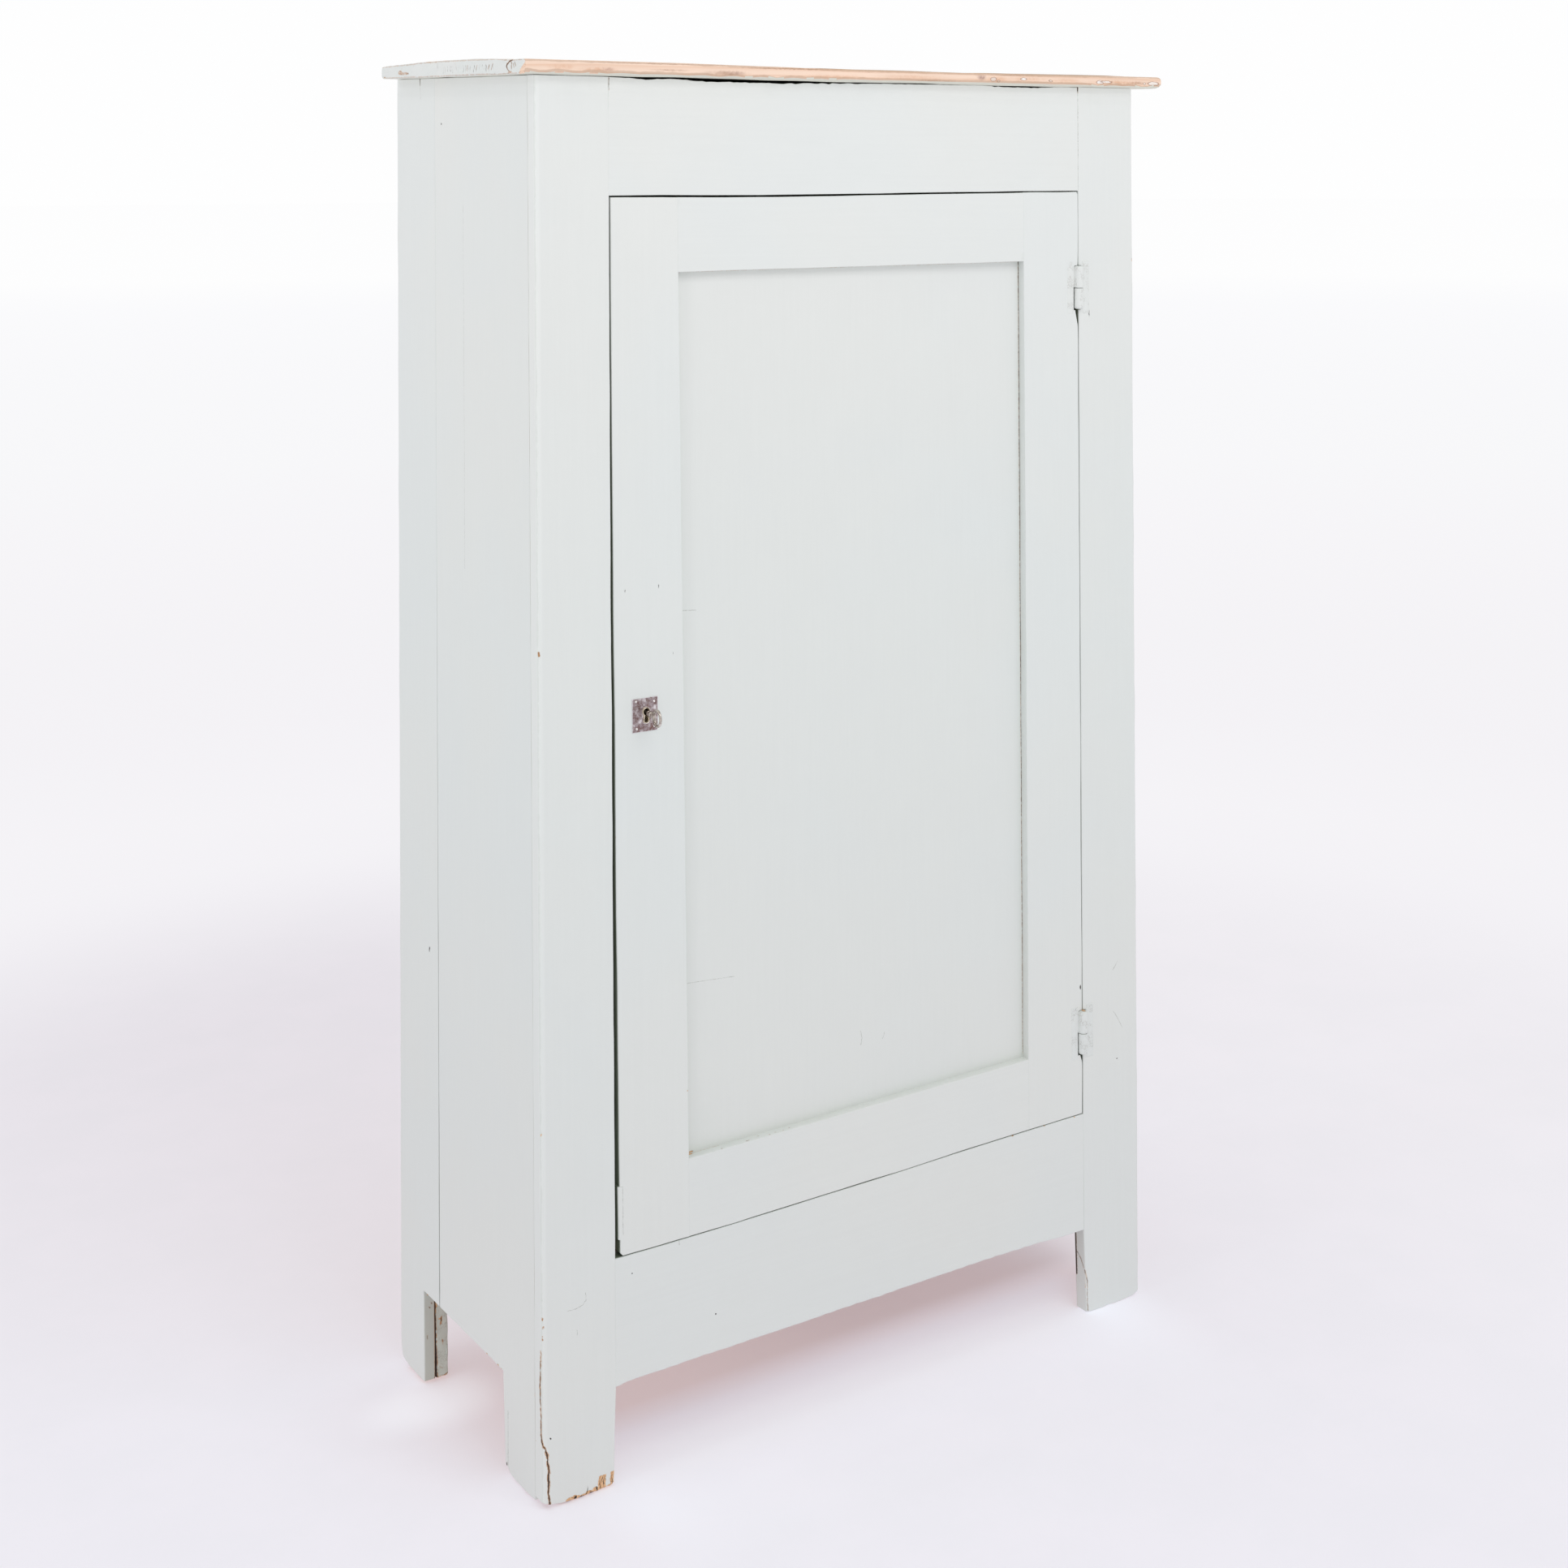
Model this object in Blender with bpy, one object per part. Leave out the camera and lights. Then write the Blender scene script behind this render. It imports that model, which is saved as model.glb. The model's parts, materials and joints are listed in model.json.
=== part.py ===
"""Painted pine single-door cupboard.

A tall, shallow cupboard: four legs cut from the ends of the side boards and
front stiles, a flush face frame, one framed door with a flat panel, a thin
overhanging top, plank back, floor board and three loose shelves on cleats.
The door hangs on two lift-off barrel hinges at the right and has a rim lock
at the left, worked by a loose key with an oval bow.

Units are metres, +Z is up and the cupboard faces -Y.  The origin is the
centre of the footprint's bounding box, at floor level.

All dimensions use a local layout: X from the left side, Y from the front
face towards the back, Z from the floor.  ORIGIN moves it into the world.
"""
import math

import bmesh
import bpy
from mathutils import Vector

# --------------------------------------------------------------------------
# Case dimensions
# --------------------------------------------------------------------------
GAP = 0.0003                # fitting gap between neighbouring pieces

CASE_W = 0.972              # over the side boards
CASE_D = 0.429              # front face to the rear edge of the sides
CASE_H = 1.762              # floor to the underside of the top
CASE_TOP = CASE_H - GAP     # upper end of the upright boards
FRAME_T = 0.021             # face-frame boards
FRAME_BACK = FRAME_T + GAP  # where pieces behind the face frame start
SIDE_T = 0.016              # side boards
BACK_T = 0.012              # back planks
BACK_Y = 0.4135             # front face of the back planks
BACK_FRONT = BACK_Y - GAP   # where pieces in front of the back end
INNER_L = SIDE_T + GAP      # clear inside of the case
INNER_R = CASE_W - SIDE_T - GAP

TOP_T = 0.0178
TOP_OVER_L = 0.026          # overhangs of the top
TOP_OVER_R = 0.038
TOP_OVER_F = 0.022
TOP_BACK_Y = 0.424          # rear edge of the top
TOP_JOINT_Y = 0.236         # joint between the two top boards

STILE_W = 0.103             # front stiles, also the front legs
FRIEZE_Z0 = 1.612           # underside of the frieze rail
RAIL_Z0 = 0.1184            # bottom rail
RAIL_Z1 = 0.2853
TENON_L = 0.050             # tenon length inside a stile
TENON_ROOT = 0.010          # overlap of a tenon with its own rail
FRAME_TENON_Y = (0.0060, 0.0135)

SEAM_Y = 0.301              # seam between wide and narrow side boards
ARCH_Z = 0.1195             # height of the cut-out between the legs
LEG_F_Y0 = 0.1035           # rear edge of the front leg at the floor
LEG_F_Y1 = 0.1093           # and under the cut-out
LEG_R_Y0 = 0.3505           # front edge of the rear leg at the floor
LEG_R_Y1 = 0.3535           # and under the cut-out

FLOOR_Z1 = 0.295            # top of the floor board
BOARD_T = 0.018             # floor board and shelves
CLEAT_W = 0.022
CLEAT_H = 0.030
SHELF_Z = (0.640, 0.990, 1.340)   # undersides of the shelves
SHELF_Y0 = 0.060
SHELF_END_GAP = 0.001
SHELF_BACK_GAP = 0.002
CLEAT_BACK_GAP = 0.010

PLANKS = 5
PLANK_GAP = 0.0004          # each plank's share of a joint
PLANK_LIFT = 0.012          # foot of the planks above the bottom rail's foot

STOP_X = (0.070, 0.1180)    # door stop
STOP_Y = (FRAME_BACK, 0.0345)
STOP_DROP = 0.012           # top of the stop below the upper end of the stiles
STRIKE_T = 0.0012
STRIKE_MARGIN = 0.012       # strike plate above and below the bolt

# --------------------------------------------------------------------------
# Door and hinge dimensions.  The door's free edge leans a little, so the
# left gap widens downwards; the bottom rail narrows towards the free side.
# --------------------------------------------------------------------------
DOOR_Z0 = 0.2865
DOOR_Z1 = 1.6098
DOOR_T = 0.0205
DOOR_X0_TOP = 0.1048
DOOR_X0_BOT = 0.1100
DOOR_X1 = 0.8670
OPEN_X0_TOP = 0.2031        # opening: inner edge of the left stile, at its top
OPEN_X0_BOT = 0.2107        # and at its bottom
OPEN_X1 = 0.7683
OPEN_Z1 = 1.5130
OPEN_Z0_L = 0.3782
OPEN_Z0_R = 0.3850
DOOR_TENON_Y = (0.0040, 0.0110)
PANEL_Y = 0.0120            # front face of the panel
PANEL_TONGUE = 0.0042       # thickness of the panel's edge
PANEL_T = 0.0080
PANEL_IN = 0.0065           # how far the panel enters its groove
PANEL_PLAY = 0.0004         # extra depth of the groove
PANEL_EDGE_W = 0.009        # flat margin at the back of the panel
PANEL_SLOPE_W = 0.034       # slope from the margin up to full thickness

AXIS_X = 0.8677             # hinge axis
AXIS_Y = -0.0015
KNUCKLE_R = 0.0070
KNUCKLE_SIDES = 28
KNUCKLE_PLAY = 0.0004       # each knuckle's share of the gap at the split
KNUCKLE_CLEAR = 0.0010      # room round the knuckles
PIN_R = 0.0030
PIN_SIDES = 20
LEAF_T = 0.0022
LEAF_W = 0.0205             # from the axis
LEAF_H = 0.076
HINGE_Z0 = {"upper": 1.4425, "lower": 0.3725}   # bottom of each barrel
BARREL_H = 0.0620
HINGE_SPLIT = 0.0302        # top of the lower knuckle above the barrel's bottom

# --------------------------------------------------------------------------
# Lock and key dimensions
# --------------------------------------------------------------------------
KEY_X = 0.1507              # key axis; the key hangs a little low in its hole
KEY_Z = 0.9573
KEY_REACH = 0.0387          # bow tip in front of the door face

HOLE_X = 0.1497             # centre of the keyhole's round head
HOLE_Z = 0.9582
HOLE_R = 0.0041
HEAD_STEPS = 20             # segments round the head
WAIST_W = 0.0034            # slot width where it leaves the round head
FOOT_W = 0.0062             # and at its flared bottom
FOOT_H = 0.0022             # height of the rounded foot
FOOT_CORNER = (0.72, 0.25)  # rounding point, as shares of half width and height
SLOT_DROP = 0.0135          # foot of the slot below the head's centre
LINER_T = 0.0015            # wall of the brass liner
LINER_PLAY = 0.0004
LINER_Y = (-0.0030, 0.0080)

PLATE_X, PLATE_Z = 0.1484, 0.9544   # centre of the escutcheon plate
PLATE_W, PLATE_H = 0.0370, 0.0430
PLATE_T = 0.0012

LOCK_PLATE_X = (0.1200, 0.1985)
LOCK_PLATE_Z = (KEY_Z - 0.0380, KEY_Z + 0.0290)
LOCK_PLATE_T = 0.0018
LOCK_Y0 = DOOR_T + GAP
LOCK_CASE_X = (0.1215, 0.1865)
LOCK_CASE_Y0 = LOCK_Y0 + LOCK_PLATE_T + GAP
LOCK_CASE_Y1 = LOCK_CASE_Y0 + 0.0110
LOCK_CASE_Z = (KEY_Z - 0.0300, KEY_Z + 0.0205)
LOCK_WALL = 0.0018
POST_R = 0.0011
POST_Y = (LOCK_CASE_Y1 - 0.0090, LOCK_CASE_Y1 - 0.0010)

BOLT_X = (0.1203, 0.1735)
BOLT_Y = (0.0250, 0.0292)
BOLT_Z = (KEY_Z - 0.0262, KEY_Z - 0.0060)
BOLT_NOTCH_X = (KEY_X - 0.0016, KEY_X + 0.0100)
BOLT_NOTCH_Z = KEY_Z - 0.0142       # floor of the notch
MOUTH_PLAY = 0.0004                 # round the bolt in the lock case
SLOT_PLAY_Y, SLOT_PLAY_Z = 0.0008, 0.0012   # round the bolt in stop and strike

SPRING_X = (KEY_X + 0.0118, LOCK_CASE_X[1] - LOCK_WALL - GAP)
SPRING_RISE = 0.0110
SPRING_T = 0.0008
SPRING_STEPS = 10

KEY_TIP = LOCK_CASE_Y1 - LOCK_WALL - 0.0010
BIT_T = 0.0022
BIT_Y = (LOCK_CASE_Y0 + 0.0010, KEY_TIP - 0.0006)
BIT_Z = (KEY_Z - 0.0125, KEY_Z - 0.0010)
KEY_BORE_R = 0.0014
KEY_BORE_Y = (LOCK_CASE_Y0 - 0.001, KEY_TIP + 0.004)
BOW_HALF_Y, BOW_HALF_Z = 0.00855, 0.0094    # centreline half-axes of the oval
BOW_TUBE_X, BOW_TUBE_R = 0.0018, 0.0022     # half-thickness across, in the plane
BOW_Y = -KEY_REACH + BOW_HALF_Y + BOW_TUBE_R
BOW_STEPS, BOW_TUBE_STEPS = 36, 12

TURNED_STEPS = {"key": 24, "fastener": 14}
SMALL_ROD_SIDES = 16        # lock post and key bore

# Turned profiles: (radius, y)
NAIL_PROFILE = [
    (0.0, -0.0026), (0.0009, -0.0024), (0.0015, -0.0019), (0.0016, -0.0017),
    (0.0006, -0.0017), (0.0006, 0.0100), (0.0, 0.0112)]
SCREW_SEAT = LOCK_CASE_Y0   # underside of the screw heads
SCREW_PROFILE = [
    (0.0, SCREW_SEAT + 0.0016), (0.0014, SCREW_SEAT + 0.0014),
    (0.0028, SCREW_SEAT + 0.0004), (0.0028, SCREW_SEAT), (0.0012, SCREW_SEAT),
    (0.0012, DOOR_T - 0.0105), (0.0, DOOR_T - 0.0120)]
KEY_PROFILE = [
    (0.0, -0.0190), (0.0022, -0.0185), (0.0026, -0.0160), (0.0026, -0.0140),
    (0.0036, -0.0132), (0.0042, -0.0112), (0.0036, -0.0092), (0.0026, -0.0084),
    (0.0025, 0.0), (0.0025, KEY_TIP - 0.0006), (0.0019, KEY_TIP), (0.0, KEY_TIP)]

NAIL_HOLE = dict(radius=0.0009, span=(-0.006, 0.0125), sides=10)
SCREW_HOLE = dict(radius=0.0016, span=(DOOR_T - 0.0130, 0.030), sides=12)

# Nails, driven by eye: side in X, side in Z, distances in from the plate's
# edges in X and Z
NAILS = ((-1, -1, 0.0060, 0.0050), (-1, 1, 0.0050, 0.0036),
         (1, -1, 0.0056, 0.0058), (1, 1, 0.0056, 0.0058))
SCREW_X = (LOCK_PLATE_X[0] + 0.0042, LOCK_PLATE_X[1] - 0.0050)
SCREW_Z = (LOCK_PLATE_Z[0] + 0.0040, LOCK_PLATE_Z[1] - 0.0040)

# World placement of the local layout
ORIGIN = Vector((-(CASE_W + TOP_OVER_L + TOP_OVER_R) / 2 + TOP_OVER_L,
                 -(CASE_D + KEY_REACH) / 2 + KEY_REACH,
                 0.0))

# --------------------------------------------------------------------------
# Materials: every visible piece has its own, in one of these finishes
# --------------------------------------------------------------------------
PAINT = (0.69, 0.74, 0.72)
FINISHES = {
    "paint": dict(colour=PAINT, roughness=0.48, metallic=0.0),
    "pine": dict(colour=(0.78, 0.55, 0.38), roughness=0.62, metallic=0.0),
    "iron": dict(colour=(0.20, 0.18, 0.16), roughness=0.55, metallic=0.9),
    "painted_iron": dict(colour=PAINT, roughness=0.40, metallic=0.0),
    "brass": dict(colour=(0.80, 0.58, 0.24), roughness=0.28, metallic=1.0),
    "steel": dict(colour=(0.62, 0.60, 0.57), roughness=0.25, metallic=1.0),
}


def make_material(name, colour, roughness, metallic):
    material = bpy.data.materials.new(name)
    material.use_nodes = True
    shader = material.node_tree.nodes["Principled BSDF"]
    shader.inputs["Base Color"].default_value = (*colour, 1.0)
    shader.inputs["Roughness"].default_value = roughness
    shader.inputs["Metallic"].default_value = metallic
    material.diffuse_color = (*colour, 1.0)
    return material


# --------------------------------------------------------------------------
# Modelling helpers.  They take local layout coordinates; a span is a
# (low, high) pair.  Pieces without a finish are tools for booleans.
# --------------------------------------------------------------------------
SMOOTH_ANGLE = math.radians(40)
BEVEL_ANGLE = math.radians(35)


def grown(span, margin=GAP):
    return (span[0] - margin, span[1] + margin)


def span_about(centre, size):
    return (centre - size / 2, centre + size / 2)


def both_sides(low, high, width):
    """X spans of a strip against the left and the right limit."""
    return (("left", (low, low + width)), ("right", (high - width, high)))


def empty(name, x, y, z):
    pivot = bpy.data.objects.new(name, None)
    pivot.empty_display_size = 0.05
    pivot.location = ORIGIN + Vector((x, y, z))
    bpy.context.collection.objects.link(pivot)
    return pivot


def place(mesh, name, centre, parent, finish, smooth=False):
    """Link a bmesh built around `centre`, parented to a pivot when given."""
    data = bpy.data.meshes.new(name)
    bmesh.ops.recalc_face_normals(mesh, faces=mesh.faces[:])
    mesh.to_mesh(data)
    mesh.free()
    piece = bpy.data.objects.new(name, data)
    bpy.context.collection.objects.link(piece)
    piece.location = ORIGIN + Vector(centre)
    if parent is not None:
        piece.parent = parent
        piece.location = ORIGIN + Vector(centre) - parent.location
    if finish is not None:
        data.materials.append(make_material(name, **FINISHES[finish]))
    if smooth:
        data.shade_smooth()
        data.set_sharp_from_angle(angle=SMOOTH_ANGLE)
    return piece


def soften(piece, width, segments=1):
    arris = piece.modifiers.new("Arris", "BEVEL")
    arris.width = width
    arris.segments = segments
    arris.limit_method = "ANGLE"
    arris.angle_limit = BEVEL_ANGLE


def on_axes(axis, first, second, along):
    """Point from its outline coordinates and its place along the axis."""
    return {"X": (along, first, second),
            "Y": (first, along, second),
            "Z": (first, second, along)}[axis]


def prism(name, outline, axis, span, finish=None, parent=None, bevel=0.0,
          segments=1, smooth=False):
    """Extrude a closed outline over a span of the X, Y or Z axis."""
    firsts = [point[0] for point in outline]
    seconds = [point[1] for point in outline]
    mid_first = (min(firsts) + max(firsts)) / 2
    mid_second = (min(seconds) + max(seconds)) / 2
    middle = (span[0] + span[1]) / 2

    mesh = bmesh.new()
    verts = [mesh.verts.new(on_axes(axis, first - mid_first, second - mid_second,
                                    span[0] - middle))
             for first, second in outline]
    face = mesh.faces.new(verts)
    extruded = bmesh.ops.extrude_face_region(mesh, geom=[face])
    moved = [item for item in extruded["geom"] if isinstance(item, bmesh.types.BMVert)]
    bmesh.ops.translate(mesh, verts=moved, vec=on_axes(axis, 0, 0, span[1] - span[0]))

    centre = on_axes(axis, mid_first, mid_second, middle)
    piece = place(mesh, name, centre, parent, finish, smooth)
    if bevel:
        soften(piece, bevel, segments)
    return piece


def rect(first, second):
    return [(first[0], second[0]), (first[1], second[0]),
            (first[1], second[1]), (first[0], second[1])]


def board(name, x, y, z, finish, parent=None, bevel=0.0012, segments=1):
    """A sawn board given by its X, Y and Z spans."""
    return prism(name, rect(x, z), "Y", y, finish, parent, bevel, segments)


def rod(name, axis, centre, radius, span, sides, parent=None):
    """A round tool about the axis through `centre`."""
    outline = [(centre[0] + radius * math.cos(2 * math.pi * i / sides),
                centre[1] + radius * math.sin(2 * math.pi * i / sides))
               for i in range(sides)]
    return prism(name, outline, axis, span, parent=parent, smooth=True)


def turned(name, profile, x, z, steps, finish, parent):
    """Spin a (radius, y) profile about the Y-parallel axis through x, z."""
    mesh = bmesh.new()
    verts = [mesh.verts.new((radius, y, 0.0)) for radius, y in profile]
    edges = [mesh.edges.new(pair) for pair in zip(verts, verts[1:])]
    bmesh.ops.spin(mesh, geom=verts + edges, cent=(0, 0, 0), axis=(0, 1, 0),
                   angle=2 * math.pi, steps=steps)
    bmesh.ops.remove_doubles(mesh, verts=mesh.verts[:], dist=0.00002)
    return place(mesh, name, (x, 0.0, z), parent, finish, smooth=True)


def combine(target, tool, label, operation):
    modifier = target.modifiers.new(label, "BOOLEAN")
    modifier.operation = operation
    modifier.solver = "EXACT"
    modifier.object = tool
    tool.hide_render = True
    tool.display_type = "WIRE"


def cut(target, tool):
    combine(target, tool, "Cut", "DIFFERENCE")


def join(target, tool):
    combine(target, tool, "Join", "UNION")


def cut_box(target, name, x, y, z, parent=None):
    cut(target, board(name, x, y, z, None, parent, bevel=0.0))


def add_box(target, name, x, y, z, parent=None):
    join(target, board(name, x, y, z, None, parent, bevel=0.0))


def tenon_rail(rail, stiles, label, x_spans, y, z, parent=None):
    """Blind tenons on both ends of a rail, in mortises of the stiles."""
    for side, stile, x in zip(("left", "right"), stiles, x_spans):
        add_box(rail, f"{label}_tenon_{side}", x, y, z, parent)
        cut_box(stile, f"{label}_mortise_{side}", grown(x), grown(y), grown(z), parent)


# --------------------------------------------------------------------------
# Carcass
# --------------------------------------------------------------------------
def build_face_frame():
    """Stiles and rails; returns the right stile, which carries the hinges."""
    stiles = [board(f"front_stile_{side}", x, (0.0, FRAME_T), (0.0, CASE_TOP), "paint")
              for side, x in both_sides(0.0, CASE_W, STILE_W)]
    tenon_x = ((STILE_W - TENON_L, STILE_W + TENON_ROOT),
               (CASE_W - STILE_W - TENON_ROOT, CASE_W - STILE_W + TENON_L))
    # piece, joint label, Z span, tenon's distance in from the rail's bottom and top
    rails = (("frieze_rail", "frieze", (FRIEZE_Z0, CASE_TOP), 0.025, 0.030),
             ("bottom_rail", "bottom", (RAIL_Z0, RAIL_Z1), 0.030, 0.025))
    for name, label, z, in_low, in_high in rails:
        rail = board(name, (STILE_W + GAP, CASE_W - STILE_W - GAP), (0.0, FRAME_T),
                     z, "paint")
        tenon_rail(rail, stiles, label, tenon_x, FRAME_TENON_Y,
                   (z[0] + in_low, z[1] - in_high))
    return stiles[1]


def build_sides():
    """A wide front and a narrow rear board each, with a leg on either."""
    front = [(FRAME_BACK, 0.0), (LEG_F_Y0, 0.0), (LEG_F_Y1, ARCH_Z),
             (SEAM_Y, ARCH_Z), (SEAM_Y, CASE_TOP), (FRAME_BACK, CASE_TOP)]
    rear = [(SEAM_Y + GAP, ARCH_Z), (LEG_R_Y1, ARCH_Z), (LEG_R_Y0, 0.0),
            (CASE_D, 0.0), (CASE_D, CASE_TOP), (SEAM_Y + GAP, CASE_TOP)]
    for side, x in both_sides(0.0, CASE_W, SIDE_T):
        prism(f"side_board_front_{side}", front, "X", x, "paint", bevel=0.0010)
        prism(f"side_board_rear_{side}", rear, "X", x, "paint", bevel=0.0010)


def build_supports():
    """Foot blocks, and the cleats inside the sides for floor, shelves and top."""
    bearer_z1 = FLOOR_Z1 - BOARD_T - GAP
    bearer_z0 = bearer_z1 - CLEAT_H
    block = [(LEG_R_Y0, 0.0), (BACK_FRONT, 0.0), (BACK_FRONT, bearer_z0 - GAP),
             (LEG_R_Y1, bearer_z0 - GAP)]
    for side, x in both_sides(INNER_L, INNER_R, SIDE_T):
        prism(f"rear_foot_block_{side}", block, "X", x, "paint", bevel=0.0012)

    full_depth = (FRAME_BACK, BACK_FRONT)
    for side, x in both_sides(INNER_L, INNER_R, CLEAT_W):
        board(f"floor_bearer_{side}", x, full_depth, (bearer_z0, bearer_z1), "pine")
        board(f"top_cleat_{side}", x, full_depth, (CASE_TOP - CLEAT_H, CASE_TOP), "pine")
        for number, z in enumerate(SHELF_Z, 1):
            board(f"shelf_cleat_{side}_{number}", x,
                  (SHELF_Y0, BACK_FRONT - CLEAT_BACK_GAP),
                  (z - GAP - CLEAT_H, z - GAP), "pine")


def build_floor_and_shelves():
    board("floor_board", (INNER_L, INNER_R), (FRAME_BACK, BACK_FRONT),
          (FLOOR_Z1 - BOARD_T, FLOOR_Z1), "pine")
    for number, z in enumerate(SHELF_Z, 1):
        board(f"shelf_{number}", (INNER_L + SHELF_END_GAP, INNER_R - SHELF_END_GAP),
              (SHELF_Y0, BACK_FRONT - SHELF_BACK_GAP), (z, z + BOARD_T), "pine")


def build_back():
    """Upright planks between the sides."""
    plank_w = (INNER_R - INNER_L) / PLANKS
    for i in range(PLANKS):
        left_gap = PLANK_GAP if i else 0.0
        right_gap = PLANK_GAP if i < PLANKS - 1 else 0.0
        board(f"back_plank_{i + 1}",
              (INNER_L + i * plank_w + left_gap,
               INNER_L + (i + 1) * plank_w - right_gap),
              (BACK_Y, BACK_Y + BACK_T), (RAIL_Z0 + PLANK_LIFT, CASE_TOP), "pine",
              bevel=0.0010)


def build_top():
    """Two boards with rounded edges."""
    for name, y in (("front", (-TOP_OVER_F, TOP_JOINT_Y - GAP / 2)),
                    ("rear", (TOP_JOINT_Y + GAP / 2, TOP_BACK_Y))):
        board(f"top_board_{name}", (-TOP_OVER_L, CASE_W + TOP_OVER_R), y,
              (CASE_H, CASE_H + TOP_T), "pine", bevel=0.0045, segments=3)


def build_door_stop():
    """Strip behind the left stile with a pocket for the bolt, and its strike."""
    face = STOP_X[1]
    slot_y, slot_z = grown(BOLT_Y, SLOT_PLAY_Y), grown(BOLT_Z, SLOT_PLAY_Z)
    stop = board("door_stop", STOP_X, STOP_Y, (FLOOR_Z1 + GAP, CASE_TOP - STOP_DROP),
                 "pine", bevel=0.0010)
    cut_box(stop, "stop_pocket", (face - 0.012, face + 0.004), slot_y, slot_z)
    strike = board("strike_plate", (face + GAP, face + STRIKE_T), STOP_Y,
                   grown(BOLT_Z, STRIKE_MARGIN), "iron", bevel=0.0)
    cut_box(strike, "strike_slot", (face - 0.004, face + 0.006), slot_y, slot_z)


# --------------------------------------------------------------------------
# Door
# --------------------------------------------------------------------------
def inner_left(z):
    """X of the left stile's leaning inner edge at height z."""
    share = (z - OPEN_Z0_L) / (OPEN_Z1 - OPEN_Z0_L)
    return OPEN_X0_BOT + (OPEN_X0_TOP - OPEN_X0_BOT) * share


def opening(margin):
    """Outline of the door's opening, grown all round by `margin`."""
    return [(OPEN_X0_BOT - margin, OPEN_Z0_L - margin),
            (OPEN_X1 + margin, OPEN_Z0_R - margin),
            (OPEN_X1 + margin, OPEN_Z1 + margin),
            (OPEN_X0_TOP - margin, OPEN_Z1 + margin)]


def build_door_frame(pivot):
    """The left stile, right stile, top rail and bottom rail."""
    rail_end = OPEN_X1 - GAP
    outlines = {
        "door_stile_left": [
            (DOOR_X0_BOT, DOOR_Z0), (inner_left(DOOR_Z0), DOOR_Z0),
            (inner_left(DOOR_Z1), DOOR_Z1), (DOOR_X0_TOP, DOOR_Z1)],
        "door_stile_right": rect((OPEN_X1, DOOR_X1), (DOOR_Z0, DOOR_Z1)),
        "door_top_rail": [
            (OPEN_X0_TOP + GAP, OPEN_Z1), (rail_end, OPEN_Z1),
            (rail_end, DOOR_Z1), (inner_left(DOOR_Z1) + GAP, DOOR_Z1)],
        "door_bottom_rail": [
            (inner_left(DOOR_Z0) + GAP, DOOR_Z0), (rail_end, DOOR_Z0),
            (rail_end, OPEN_Z0_R), (OPEN_X0_BOT + GAP, OPEN_Z0_L)],
    }
    members = [prism(name, outline, "Y", (0.0, DOOR_T), "paint", pivot, bevel=0.0010)
               for name, outline in outlines.items()]
    stiles, (top_rail, bottom_rail) = members[:2], members[2:]
    tenon_x = ((OPEN_X0_TOP - TENON_L, OPEN_X0_BOT + TENON_ROOT),
               (OPEN_X1 - TENON_ROOT, OPEN_X1 + TENON_L))
    tenon_rail(top_rail, stiles, "door_top", tenon_x, DOOR_TENON_Y,
               (OPEN_Z1 + 0.022, DOOR_Z1 - 0.020), pivot)
    tenon_rail(bottom_rail, stiles, "door_bottom", tenon_x, DOOR_TENON_Y,
               (DOOR_Z0 + 0.020, OPEN_Z0_L - 0.022), pivot)
    return members


def build_door_panel(pivot, members):
    """Panel, flat in front and thinned along its edges at the back."""
    tongue_y = (PANEL_Y, PANEL_Y + PANEL_TONGUE)
    panel = prism("door_panel", opening(PANEL_IN), "Y", tongue_y, "paint", pivot)
    mesh = bmesh.new()
    mesh.from_mesh(panel.data)
    back = max(mesh.faces, key=lambda face: face.calc_center_median().y)
    bmesh.ops.inset_individual(mesh, faces=[back], thickness=PANEL_EDGE_W, depth=0.0)
    bmesh.ops.inset_individual(mesh, faces=[back], thickness=PANEL_SLOPE_W,
                               depth=PANEL_T - PANEL_TONGUE)
    mesh.to_mesh(panel.data)
    mesh.free()

    for i, member in enumerate(members):
        cut(member, prism(f"panel_groove_{i}", opening(PANEL_IN + PANEL_PLAY), "Y",
                          grown(tongue_y), parent=pivot))


# --------------------------------------------------------------------------
# Lift-off hinges.  The lower knuckle and the pin belong to the frame leaf,
# the upper knuckle slips over the pin with the door.
# --------------------------------------------------------------------------
def barrel_rod(name, radius, z, sides, parent):
    return rod(name, "Z", (AXIS_X, AXIS_Y), radius, z, sides, parent)


def hinge_half(leaf_name, knuckle_name, outward, leaf_z, knuckle_z, parent):
    """Flush leaf, cut back beside the other half's knuckle, with its own.

    `outward` is 1 for a leaf to the right of the axis and -1 to the left.
    """
    outer = AXIS_X + outward * LEAF_W
    clear = AXIS_X + outward * (KNUCKLE_R + KNUCKLE_CLEAR)
    outline = [(outer, leaf_z[0]), (clear, leaf_z[0]),
               (clear, knuckle_z[0]), (AXIS_X, knuckle_z[0]),
               (AXIS_X, knuckle_z[1]), (clear, knuckle_z[1]),
               (clear, leaf_z[1]), (outer, leaf_z[1])]
    leaf = prism(leaf_name, outline, "Y", (0.0, LEAF_T), "painted_iron", parent)
    knuckle = barrel_rod(knuckle_name, KNUCKLE_R, knuckle_z, KNUCKLE_SIDES, parent)
    soften(knuckle, 0.0016, 2)
    join(leaf, knuckle)
    return leaf


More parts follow.
